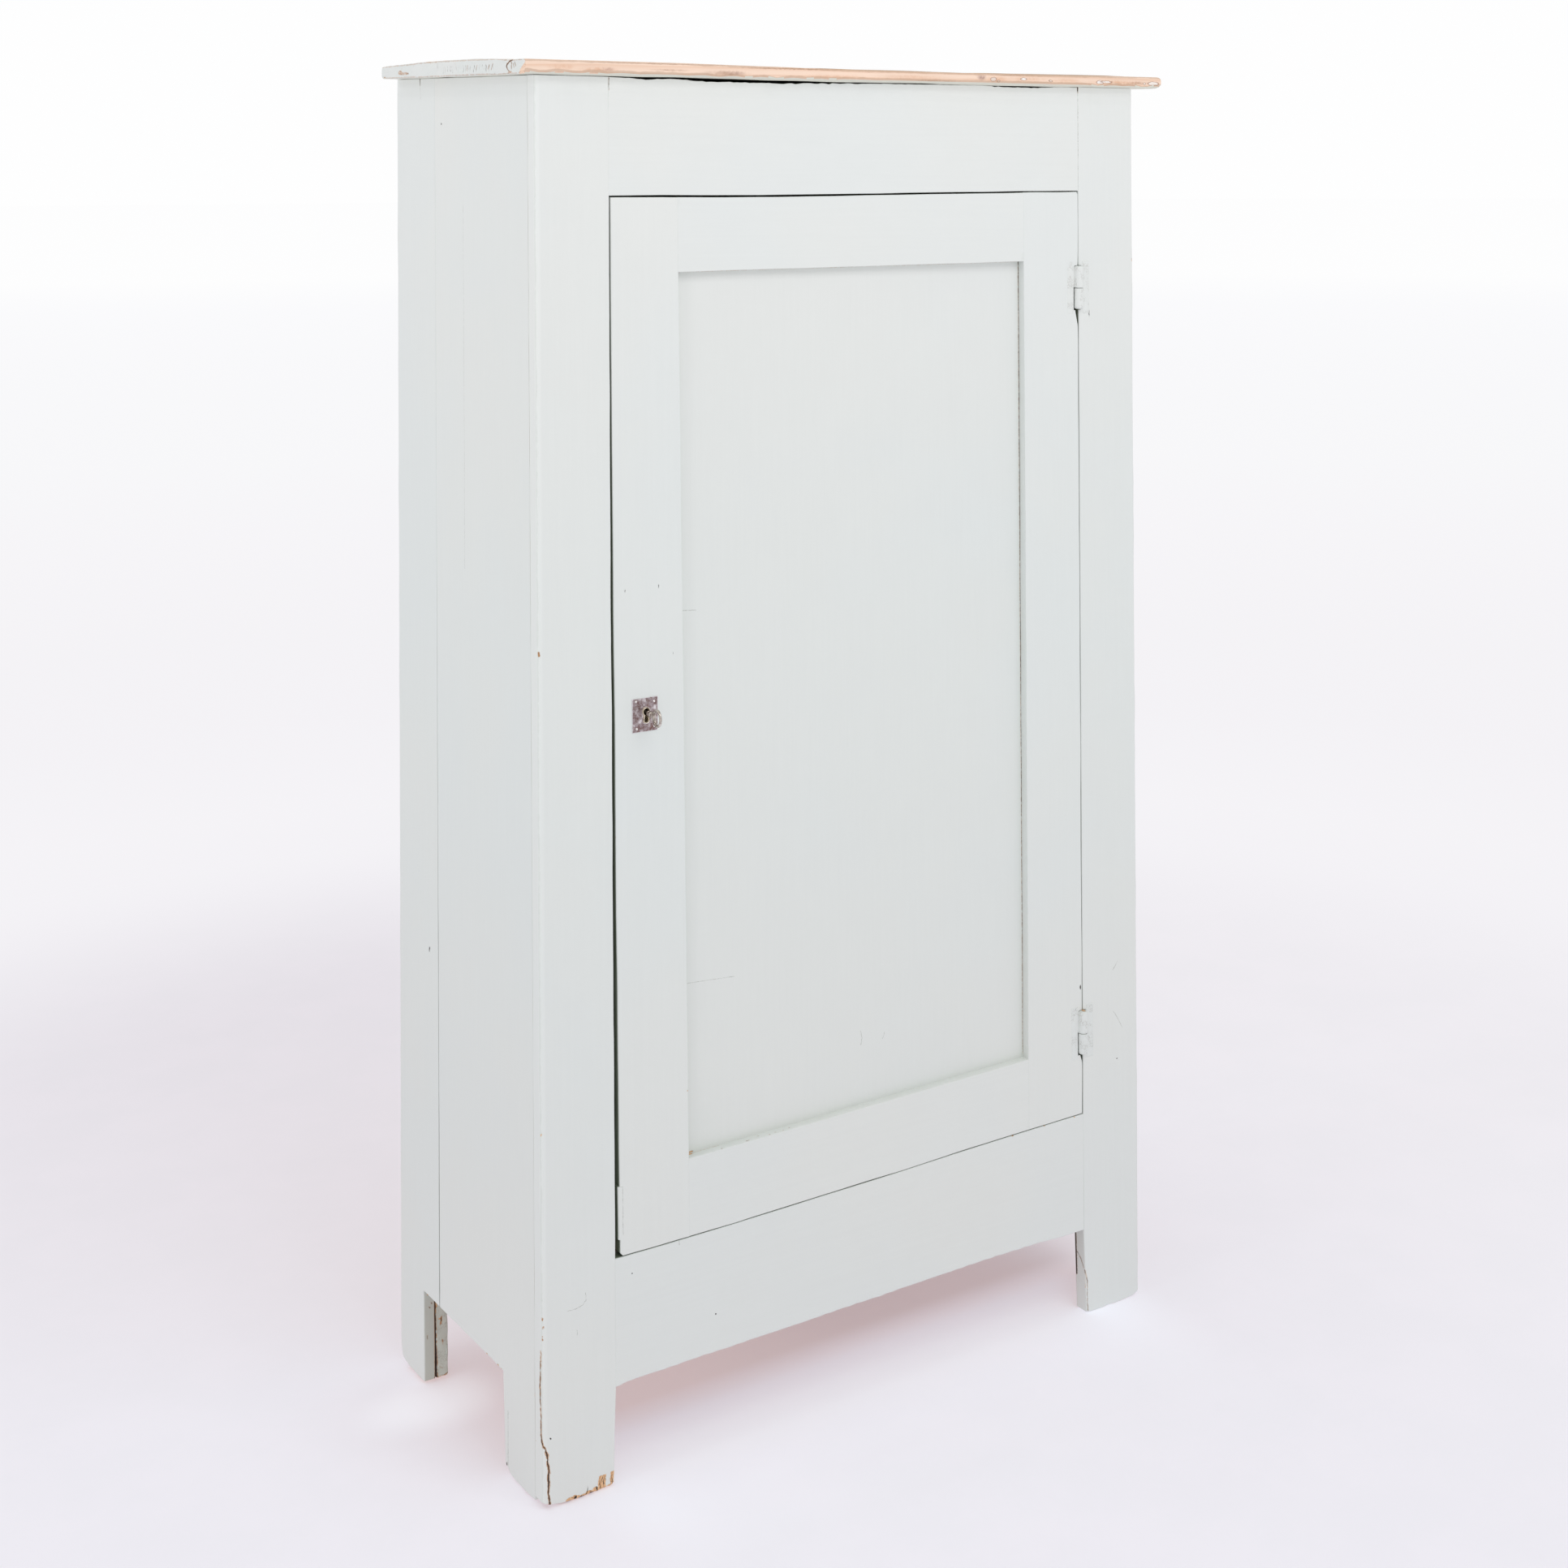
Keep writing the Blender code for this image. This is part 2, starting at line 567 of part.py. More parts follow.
def build_hinge(label, bottom, frame_stile, door_stile, pivot):
    prefix = f"hinge_{label}"
    split = bottom + HINGE_SPLIT
    top = bottom + BARREL_H
    leaf_z0 = bottom - (LEAF_H - BARREL_H) / 2
    leaf_z = (leaf_z0, leaf_z0 + LEAF_H)

    frame_leaf = hinge_half(f"{prefix}_frame_leaf", f"{prefix}_knuckle_low", 1,
                            leaf_z, (bottom, split - KNUCKLE_PLAY), None)
    join(frame_leaf, barrel_rod(f"{prefix}_pin", PIN_R, (split - 0.010, top - 0.008),
                                PIN_SIDES, None))
    door_leaf = hinge_half(f"{prefix}_door_leaf", f"{prefix}_knuckle_high", -1,
                           leaf_z, (split + KNUCKLE_PLAY, top), pivot)
    cut(door_leaf, barrel_rod(f"{prefix}_bore", PIN_R + 0.0003,
                              (split - 0.002, top - 0.0070), PIN_SIDES, pivot))

    # shallow beds for the leaves and notches for the knuckles
    for stile, outward, parent, tag in ((frame_stile, 1, None, "frame"),
                                        (door_stile, -1, pivot, "door")):
        bed_x = sorted((AXIS_X - outward * 0.004, AXIS_X + outward * (LEAF_W + GAP)))
        cut_box(stile, f"{prefix}_bed_{tag}", bed_x, (-0.005, LEAF_T + GAP),
                grown(leaf_z), parent)
        cut(stile, barrel_rod(f"{prefix}_notch_{tag}", KNUCKLE_R + KNUCKLE_CLEAR,
                              grown((bottom, top), 0.0015), KNUCKLE_SIDES, parent))


# --------------------------------------------------------------------------
# Lock furniture on the front of the door
# --------------------------------------------------------------------------
def keyhole(margin=0.0):
    """Round head over a slot that flares to a rounded foot."""
    radius = HOLE_R + margin
    half_waist = WAIST_W / 2 + margin
    half_foot = FOOT_W / 2 + margin
    low = HOLE_Z - SLOT_DROP - margin
    waist_angle = math.asin(half_waist / radius)
    sweep = 2 * math.pi - 2 * waist_angle
    points = []
    for i in range(HEAD_STEPS + 1):
        angle = -math.pi / 2 + waist_angle + sweep * i / HEAD_STEPS
        points.append((HOLE_X + radius * math.cos(angle),
                       HOLE_Z + radius * math.sin(angle)))
    corner_x = half_foot * FOOT_CORNER[0]
    corner_z = low + FOOT_H * FOOT_CORNER[1]
    points += [(HOLE_X - half_foot, low + FOOT_H), (HOLE_X - corner_x, corner_z),
               (HOLE_X, low),
               (HOLE_X + corner_x, corner_z), (HOLE_X + half_foot, low + FOOT_H)]
    return points


def cut_keyhole(target, name, margin, y, pivot):
    cut(target, prism(name, keyhole(margin), "Y", y, parent=pivot))


def drill(targets, label, number, x, z, hole, pivot):
    """The same hole through a plate and into the stile."""
    for target, tag in zip(targets, ("plate", "stile")):
        cut(target, rod(f"{label}_hole_{tag}_{number}", "Y", (x, z), parent=pivot, **hole))


def build_escutcheon(pivot, door_stile):
    """Iron plate with four nails, and the brass keyhole liner."""
    plate = prism("escutcheon_plate",
                  rect(span_about(PLATE_X, PLATE_W), span_about(PLATE_Z, PLATE_H)),
                  "Y", (-GAP - PLATE_T, -GAP), "iron", pivot, bevel=0.0003)
    liner = prism("keyhole_liner", keyhole(LINER_T), "Y", LINER_Y, "brass", pivot,
                  smooth=True)
    liner_fit = LINER_T + LINER_PLAY
    cut_keyhole(liner, "liner_bore", 0.0, (-0.010, 0.015), pivot)
    cut_keyhole(plate, "plate_keyhole", liner_fit, (-0.010, 0.005), pivot)
    cut_keyhole(door_stile, "stile_keyhole", liner_fit, (-0.010, 0.030), pivot)

    for number, (side_x, side_z, in_x, in_z) in enumerate(NAILS, 1):
        x = PLATE_X + side_x * (PLATE_W / 2 - in_x)
        z = PLATE_Z + side_z * (PLATE_H / 2 - in_z)
        turned(f"escutcheon_nail_{number}", NAIL_PROFILE, x, z,
               TURNED_STEPS["fastener"], "iron", pivot)
        drill((plate, door_stile), "nail", number, x, z, NAIL_HOLE, pivot)


# --------------------------------------------------------------------------
# Rim lock on the inside of the door
# --------------------------------------------------------------------------
def build_lock_plate(pivot, door_stile):
    """Plate against the back of the door, with a screw near each corner."""
    plate = prism("lock_plate", rect(LOCK_PLATE_X, LOCK_PLATE_Z), "Y",
                  (LOCK_Y0, LOCK_Y0 + LOCK_PLATE_T), "iron", pivot, bevel=0.0004)
    cut_keyhole(plate, "lock_plate_keyhole", 0.0, (0.010, 0.030), pivot)
    corners = [(x, z) for x in SCREW_X for z in SCREW_Z]
    for number, (x, z) in enumerate(corners, 1):
        turned(f"lock_screw_{number}", SCREW_PROFILE, x, z,
               TURNED_STEPS["fastener"], "steel", pivot)
        drill((plate, door_stile), "screw", number, x, z, SCREW_HOLE, pivot)


def build_lock_case(pivot):
    """Hollow box open to the plate, with a post that guides the key's end."""
    case = prism("lock_case", rect(LOCK_CASE_X, LOCK_CASE_Z), "Y",
                 (LOCK_CASE_Y0, LOCK_CASE_Y1), "iron", pivot, bevel=0.0006)
    cut_box(case, "case_hollow", grown(LOCK_CASE_X, -LOCK_WALL),
            (LOCK_CASE_Y0 - 0.002, LOCK_CASE_Y1 - LOCK_WALL),
            grown(LOCK_CASE_Z, -LOCK_WALL), pivot)
    cut_box(case, "case_mouth", (LOCK_CASE_X[0] - 0.004, LOCK_CASE_X[0] + 0.004),
            grown(BOLT_Y, MOUTH_PLAY), grown(BOLT_Z, MOUTH_PLAY), pivot)
    join(case, rod("lock_post", "Y", (KEY_X, KEY_Z), POST_R, POST_Y,
                   SMALL_ROD_SIDES, pivot))


def build_bolt(bolt_slide):
    """Flat bar, notched in its upper edge for the key's bit."""
    outline = [(BOLT_X[0], BOLT_Z[0]), (BOLT_X[1], BOLT_Z[0]),
               (BOLT_X[1], BOLT_Z[1]), (BOLT_NOTCH_X[1], BOLT_Z[1]),
               (BOLT_NOTCH_X[1], BOLT_NOTCH_Z), (BOLT_NOTCH_X[0], BOLT_NOTCH_Z),
               (BOLT_NOTCH_X[0], BOLT_Z[1]), (BOLT_X[0], BOLT_Z[1])]
    prism("lock_bolt", outline, "Y", BOLT_Y, "steel", bolt_slide, bevel=0.0003)


def build_spring(pivot):
    """Flat spring on the bolt, rising towards the right wall of the case."""
    lower = []
    for i in range(SPRING_STEPS + 1):
        share = i / SPRING_STEPS
        lower.append((SPRING_X[0] + (SPRING_X[1] - SPRING_X[0]) * share,
                      BOLT_Z[1] + GAP
                      + SPRING_RISE * math.sin(share * math.pi / 2) ** 2))
    upper = [(x, z + SPRING_T) for x, z in reversed(lower)]
    prism("lock_spring", lower + upper, "Y", BOLT_Y, "steel", pivot)


# --------------------------------------------------------------------------
# Key: oval bow, ball collar, hollow-ended shank and bit (bit down at rest)
# --------------------------------------------------------------------------
def build_bow(key_pivot):
    """Oval ring swept in the plane of the shank and the vertical."""
    mesh = bmesh.new()
    rings = []
    for i in range(BOW_STEPS):
        angle = 2 * math.pi * i / BOW_STEPS
        centre_y = BOW_Y + BOW_HALF_Y * math.cos(angle)
        centre_z = BOW_HALF_Z * math.sin(angle)
        normal_y = math.cos(angle) / BOW_HALF_Y
        normal_z = math.sin(angle) / BOW_HALF_Z
        length = math.hypot(normal_y, normal_z)
        normal_y, normal_z = normal_y / length, normal_z / length
        ring = []
        for j in range(BOW_TUBE_STEPS):
            turn = 2 * math.pi * j / BOW_TUBE_STEPS
            ring.append(mesh.verts.new((
                BOW_TUBE_X * math.sin(turn),
                centre_y + normal_y * BOW_TUBE_R * math.cos(turn),
                centre_z + normal_z * BOW_TUBE_R * math.cos(turn))))
        rings.append(ring)
    for i, ring in enumerate(rings):
        following = rings[(i + 1) % BOW_STEPS]
        for j in range(BOW_TUBE_STEPS):
            k = (j + 1) % BOW_TUBE_STEPS
            mesh.faces.new((ring[j], following[j], following[k], ring[k]))
    return place(mesh, "key_bow", (KEY_X, 0.0, KEY_Z), key_pivot, None, smooth=True)


def build_key(key_pivot):
    key = turned("key", KEY_PROFILE, KEY_X, KEY_Z, TURNED_STEPS["key"], "steel",
                 key_pivot)
    join(key, build_bow(key_pivot))
    add_box(key, "key_bit", span_about(KEY_X, BIT_T), BIT_Y, BIT_Z, key_pivot)
    cut(key, rod("key_pipe", "Y", (KEY_X, KEY_Z), KEY_BORE_R, KEY_BORE_Y,
                 SMALL_ROD_SIDES, key_pivot))


# --------------------------------------------------------------------------
# Assembly.  Both door stiles and the frame's right stile collect their cuts
# in this order.
# --------------------------------------------------------------------------
def build_cupboard():
    for old in list(bpy.data.objects):
        bpy.data.objects.remove(old, do_unlink=True)

    door_pivot = empty("door_pivot", AXIS_X, AXIS_Y, 0.0)
    key_pivot = empty("key_pivot", KEY_X, 0.0, KEY_Z)
    bolt_slide = empty("bolt_slide", KEY_X, 0.0, KEY_Z)

    frame_stile = build_face_frame()
    build_sides()
    build_supports()
    build_floor_and_shelves()
    build_back()
    build_top()
    build_door_stop()

    members = build_door_frame(door_pivot)
    build_door_panel(door_pivot, members)
    lock_stile, hinge_stile = members[:2]
    for label, bottom in HINGE_Z0.items():
        build_hinge(label, bottom, frame_stile, hinge_stile, door_pivot)

    build_escutcheon(door_pivot, lock_stile)
    build_lock_plate(door_pivot, lock_stile)
    build_lock_case(door_pivot)
    build_bolt(bolt_slide)
    build_spring(door_pivot)
    build_key(key_pivot)
    bpy.context.view_layer.update()


build_cupboard()
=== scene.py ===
import json
import math

import bmesh
import bpy
import numpy as np
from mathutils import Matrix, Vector


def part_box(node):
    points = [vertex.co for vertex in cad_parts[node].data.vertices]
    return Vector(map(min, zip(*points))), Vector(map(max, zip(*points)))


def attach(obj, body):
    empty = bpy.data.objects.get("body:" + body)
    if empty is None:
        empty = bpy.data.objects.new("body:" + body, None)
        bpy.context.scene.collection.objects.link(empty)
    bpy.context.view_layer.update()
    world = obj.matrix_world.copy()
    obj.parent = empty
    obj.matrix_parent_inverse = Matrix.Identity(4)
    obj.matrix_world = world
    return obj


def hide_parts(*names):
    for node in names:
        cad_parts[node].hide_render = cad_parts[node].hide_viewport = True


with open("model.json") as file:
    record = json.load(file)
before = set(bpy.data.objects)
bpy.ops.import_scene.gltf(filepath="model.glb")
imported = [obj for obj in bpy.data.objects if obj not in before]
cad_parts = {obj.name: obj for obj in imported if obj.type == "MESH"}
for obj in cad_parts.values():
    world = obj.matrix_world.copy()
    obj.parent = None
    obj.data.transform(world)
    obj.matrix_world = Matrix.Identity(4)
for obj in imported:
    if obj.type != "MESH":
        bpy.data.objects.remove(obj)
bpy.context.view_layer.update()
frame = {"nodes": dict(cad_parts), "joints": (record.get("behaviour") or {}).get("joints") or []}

# ---------------------------------------------------------------------------
# Local layout coordinates: X from the left side, Y from the front face to the
# back, Z from the floor.  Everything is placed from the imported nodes' boxes.
# ---------------------------------------------------------------------------
def lo(n):
    return np.array(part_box(n)[0], float) - O


def hi(n):
    return np.array(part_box(n)[1], float) - O


O = np.zeros(3)
_f = np.array(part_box("front_stile_left")[0], float)
O = np.array([_f[0], _f[1], 0.0])

W = hi("front_stile_right")[0]
D = hi("side_board_rear_left")[1]
H = lo("top_board_front")[2]
STILE_IN_L = hi("front_stile_left")[0]
STILE_IN_R = lo("front_stile_right")[0]
FRAME_T = hi("front_stile_left")[1]
SIDE_T = hi("side_board_front_left")[0]
HINGE = next(j for j in frame["joints"] if j["child"] == "door")
KEYC = (lo("keyhole_liner") + hi("keyhole_liner")) / 2


def front_rows(node, depth=0.0016):
    """CAD points of a node that lie on its front face."""
    co = np.array([v.co for v in frame["nodes"][node].data.vertices], float) - O
    return co[co[:, 1] < lo(node)[1] + depth]


def edge_of(node, pick, near_z):
    """Lowest or highest X of a node's front face near a height."""
    co = front_rows(node)
    away = np.abs(co[:, 2] - near_z)
    rows = co[away < max(0.012, away.min() + 0.004)]
    return pick(rows[:, 0])


DZ0, DZ1 = lo("door_stile_left")[2], hi("door_stile_left")[2]
FREE_B = edge_of("door_stile_left", min, DZ0)
FREE_T = edge_of("door_stile_left", min, DZ1)
INNER_B = edge_of("door_stile_left", max, DZ0)
INNER_T = edge_of("door_stile_left", max, DZ1)
DOOR_X1 = hi("door_stile_right")[0]
OPEN_X1 = front_rows("door_stile_right")[:, 0].min()
OPEN_Z1 = front_rows("door_top_rail")[:, 2].min()
_r = front_rows("door_bottom_rail")
SILL_L = _r[_r[:, 0] < INNER_B + 0.02][:, 2].max()
SILL_R = _r[_r[:, 0] > OPEN_X1 - 0.02][:, 2].max()
DOOR_T = hi("door_stile_left")[1]
PANEL_Y = lo("door_panel")[1]
RAIL_Z0, RAIL_Z1 = lo("bottom_rail")[2], hi("bottom_rail")[2]
FRIEZE_Z0 = lo("frieze_rail")[2]
ARCH_Z = lo("bottom_rail")[2] + 0.0011
AX_X = lo("hinge_upper_frame_leaf")[0] + 0.0070
AX_Y = -0.0015
PAINT_SLOT, IRON_SLOT = "painted_pine", "aged_iron"


# ---------------------------------------------------------------------------
# Seeded smooth noise for geometry
# ---------------------------------------------------------------------------
def wander(q, seed, wave, amp):
    """Smooth seeded noise of points q (N x k), by a sum of sines."""
    r = np.random.default_rng(seed)
    q = np.asarray(q, float)
    out = np.zeros(len(q))
    for _ in range(7):
        d = r.normal(size=q.shape[1])
        d /= np.linalg.norm(d)
        k = 2 * math.pi / (wave * r.uniform(0.55, 1.7))
        out += np.sin(q @ d * k + r.uniform(0, 2 * math.pi))
    return out * amp / 2.2


def bell(x, c, s):
    return np.exp(-((x - c) / s) ** 2)


def table(x, pairs):
    a = np.array(pairs, float)
    return np.interp(x, a[:, 0], a[:, 1])


def smooth01(x, a, b):
    t = np.clip((x - a) / (b - a), 0, 1)
    return t * t * (3 - 2 * t)


def sag(p):
    """The slight lean of an old cupboard: the back stands a little higher and
    the sides lean in, by less than 8 mm.  It fades out at the hinges and lock,
    so that moving pieces keep their true axes."""
    u, v, w = p[:, 0] / W, p[:, 1] / D, p[:, 2] / H
    hold = 1 - bell(p[:, 0], AX_X, 0.07) * bell(p[:, 1], 0, 0.08)
    hold *= 1 - bell(p[:, 0], KEYC[0], 0.05) * bell(p[:, 2], KEYC[2], 0.07) * bell(
        p[:, 1], 0, 0.08)
    dx = (-0.0024 * w + 0.0035 * u * w + 0.0010 * w * (1 - w)) * hold
    dy = (0.0017 * w - 0.0007 * w * (1 - w)) * hold - 0.0107 * v * w
    dz = (-0.0025 * u + 0.0038 * v - 0.0019 * u * w + 0.0036 * v * w)
    dz = dz - 0.0044 * np.clip(1 - p[:, 2] / 0.12, 0, 1) * (1 - 0.35 * u)
    return p + np.stack([dx, dy, dz], 1)


# ---------------------------------------------------------------------------
# Materials
# ---------------------------------------------------------------------------
class Tree:
    def __init__(self, name):
        self.mat = bpy.data.materials.new(name)
        self.mat.use_nodes = True
        self.t = self.mat.node_tree
        self.t.nodes.clear()
        self.out = self.t.nodes.new("ShaderNodeOutputMaterial")

    def put(self, sock, val):
        if isinstance(val, bpy.types.NodeSocket):
            self.t.links.new(val, sock)
        elif isinstance(val, (tuple, list, np.ndarray)):
            n = len(sock.default_value)
            sock.default_value = (list(val) + [1.0] * n)[:n]
        else:
            try:
                sock.default_value = val
            except TypeError:
                n = len(sock.default_value)
                sock.default_value = ([val] * 3 + [1.0])[:n]

    def m(self, op, a, b=None, c=None, clamp=False):
        n = self.t.nodes.new("ShaderNodeMath")
        n.operation = op
        n.use_clamp = clamp
        for i, val in enumerate((a, b, c)):
            if val is not None:
                self.put(n.inputs[i], val)
        return n.outputs[0]

    def v(self, op, a, b=None, scale=None):
        n = self.t.nodes.new("ShaderNodeVectorMath")
        n.operation = op
        self.put(n.inputs[0], a)
        if b is not None:
            self.put(n.inputs[1], b)
        if scale is not None:
            self.put(n.inputs["Scale"], scale)
        return n.outputs["Value"] if op in ("LENGTH", "DOT_PRODUCT",
                                            "DISTANCE") else n.outputs[0]

    def attr(self, name, out="Vector"):
        n = self.t.nodes.new("ShaderNodeAttribute")
        n.attribute_name = name
        return n.outputs[out]

    def where(self):
        """Object position: the frame sits at the origin, so it is in metres."""
        n = self.t.nodes.new("ShaderNodeTexCoord")
        return n.outputs["Object"]

    def noise(self, p, scale, detail=2.0, rough=0.5, dist=0.0, colour=False):
        n = self.t.nodes.new("ShaderNodeTexNoise")
        self.put(n.inputs["Vector"], p)
        self.put(n.inputs["Scale"], scale)
        n.inputs["Detail"].default_value = detail
        n.inputs["Roughness"].default_value = rough
        n.inputs["Distortion"].default_value = dist
        return n.outputs[1] if colour else n.outputs[0]

    def cells(self, p, scale, feature="F1", rand=1.0):
        n = self.t.nodes.new("ShaderNodeTexVoronoi")
        n.feature = feature
        self.put(n.inputs["Vector"], p)
        self.put(n.inputs["Scale"], scale)
        n.inputs["Randomness"].default_value = rand
        return n.outputs["Distance"]

    def map(self, val, a, b, c=0.0, d=1.0, soft=True):
        n = self.t.nodes.new("ShaderNodeMapRange")
        n.interpolation_type = "SMOOTHSTEP" if soft else "LINEAR"
        n.clamp = True
        for i, x in enumerate((val, a, b, c, d)):
            self.put(n.inputs[i], x)
        return n.outputs[0]

    def mix(self, f, a, b, blend="MIX"):
        n = self.t.nodes.new("ShaderNodeMix")
        n.data_type = "RGBA"
        n.blend_type = blend
        self.put(n.inputs[0], f)
        self.put(n.inputs[6], a)
        self.put(n.inputs[7], b)
        return n.outputs[2]

    def split(self, p):
        n = self.t.nodes.new("ShaderNodeSeparateXYZ")
        self.put(n.inputs[0], p)
        return n.outputs[0], n.outputs[1], n.outputs[2]

    def join(self, x, y, z):
        n = self.t.nodes.new("ShaderNodeCombineXYZ")
        for i, s in enumerate((x, y, z)):
            self.put(n.inputs[i], s)
        return n.outputs[0]

    # signed distances in metres
    def blob(self, p, centre, radii):
        q = self.v("DIVIDE", self.v("SUBTRACT", p, centre), radii)
        flat = [r for r in radii if r < 0.9]
        return self.m("MULTIPLY", self.m("SUBTRACT", self.v("LENGTH", q), 1.0),
                      min(flat))

    def stroke(self, p, a, b, wa, wb):
        a, b = np.array(a, float), np.array(b, float)
        ba = b - a
        pa = self.v("SUBTRACT", p, tuple(a))
        h = self.m("MULTIPLY", self.v("DOT_PRODUCT", pa, tuple(ba / (ba @ ba))), 1.0,
                   clamp=True)
        d = self.v("LENGTH", self.v("SUBTRACT", pa, self.v("SCALE", tuple(ba), None, h)))
        return self.m("SUBTRACT", d, self.m("MULTIPLY_ADD", h, wb - wa, wa))

    def least(self, items):
        """The least of the items. They may come from a generator: each is joined
        as it is made, so the shader never has to hold many at a time."""
        out = None
        for i in items:
            out = i if out is None else self.m("MINIMUM", out, i)
        return out

    def bsdf(self, colour, rough, height=None, metal=0.0, spec=0.5, distance=1.0,
             strength=1.0, coat=None):
        b = self.t.nodes.new("ShaderNodeBsdfPrincipled")
        self.put(b.inputs["Base Color"], colour)
        self.put(b.inputs["Roughness"], rough)
        self.put(b.inputs["Metallic"], metal)
        self.put(b.inputs["Specular IOR Level"], spec)
        if coat is not None:
            self.put(b.inputs["Coat Weight"], coat)
            self.put(b.inputs["Coat Roughness"], 0.3)
        if height is not None:
            n = self.t.nodes.new("ShaderNodeBump")
            n.inputs["Distance"].default_value = distance
            n.inputs["Strength"].default_value = strength
            self.put(n.inputs["Height"], height)
            self.t.links.new(n.outputs[0], b.inputs["Normal"])
        self.t.links.new(b.outputs[0], self.out.inputs["Surface"])
        return self.mat


COOL = (0.782, 0.814, 0.805)
WARM = (0.793, 0.815, 0.797)
OLDER = (0.560, 0.610, 0.560)
RECESS = (0.700, 0.735, 0.690)
# colour of the painted shade in gaps, seams and hollows
GAP_DARK = (0.190, 0.225, 0.165)
PLANES = {"y": (1.0, 0.0, 1.0), "x": (0.0, 1.0, 1.0), "z": (1.0, 1.0, 0.0)}
STREAK = {"X": (7.0, 240.0, 240.0), "Y": (240.0, 7.0, 240.0), "Z": (240.0, 240.0, 7.0)}


def at(plane, a, b):
    return {"y": (a, 0.0, b), "x": (0.0, a, b), "z": (a, b, 0.0)}[plane]


def radii(plane, a, b):
    return {"y": (a, 1.0, b), "x": (1.0, a, b), "z": (a, b, 1.0)}[plane]


def bare_wood(T, Q, grain, pale=(0.84, 0.53, 0.30), deep=(0.42, 0.18, 0.07)):
    s = {"X": (25, 500, 500), "Y": (500, 25, 500), "Z": (500, 500, 25)}[grain]
    f = T.noise(T.v("MULTIPLY", Q, s), 1.0, 3, 0.65)
    g = T.mix(T.map(f, 0.46, 0.76), pale, deep)
    dots = T.map(T.noise(Q, 560, 2, 0.6), 0.56, 0.64)
    return T.mix(T.m("MULTIPLY", dots, 0.75), g, (0.16, 0.07, 0.035))


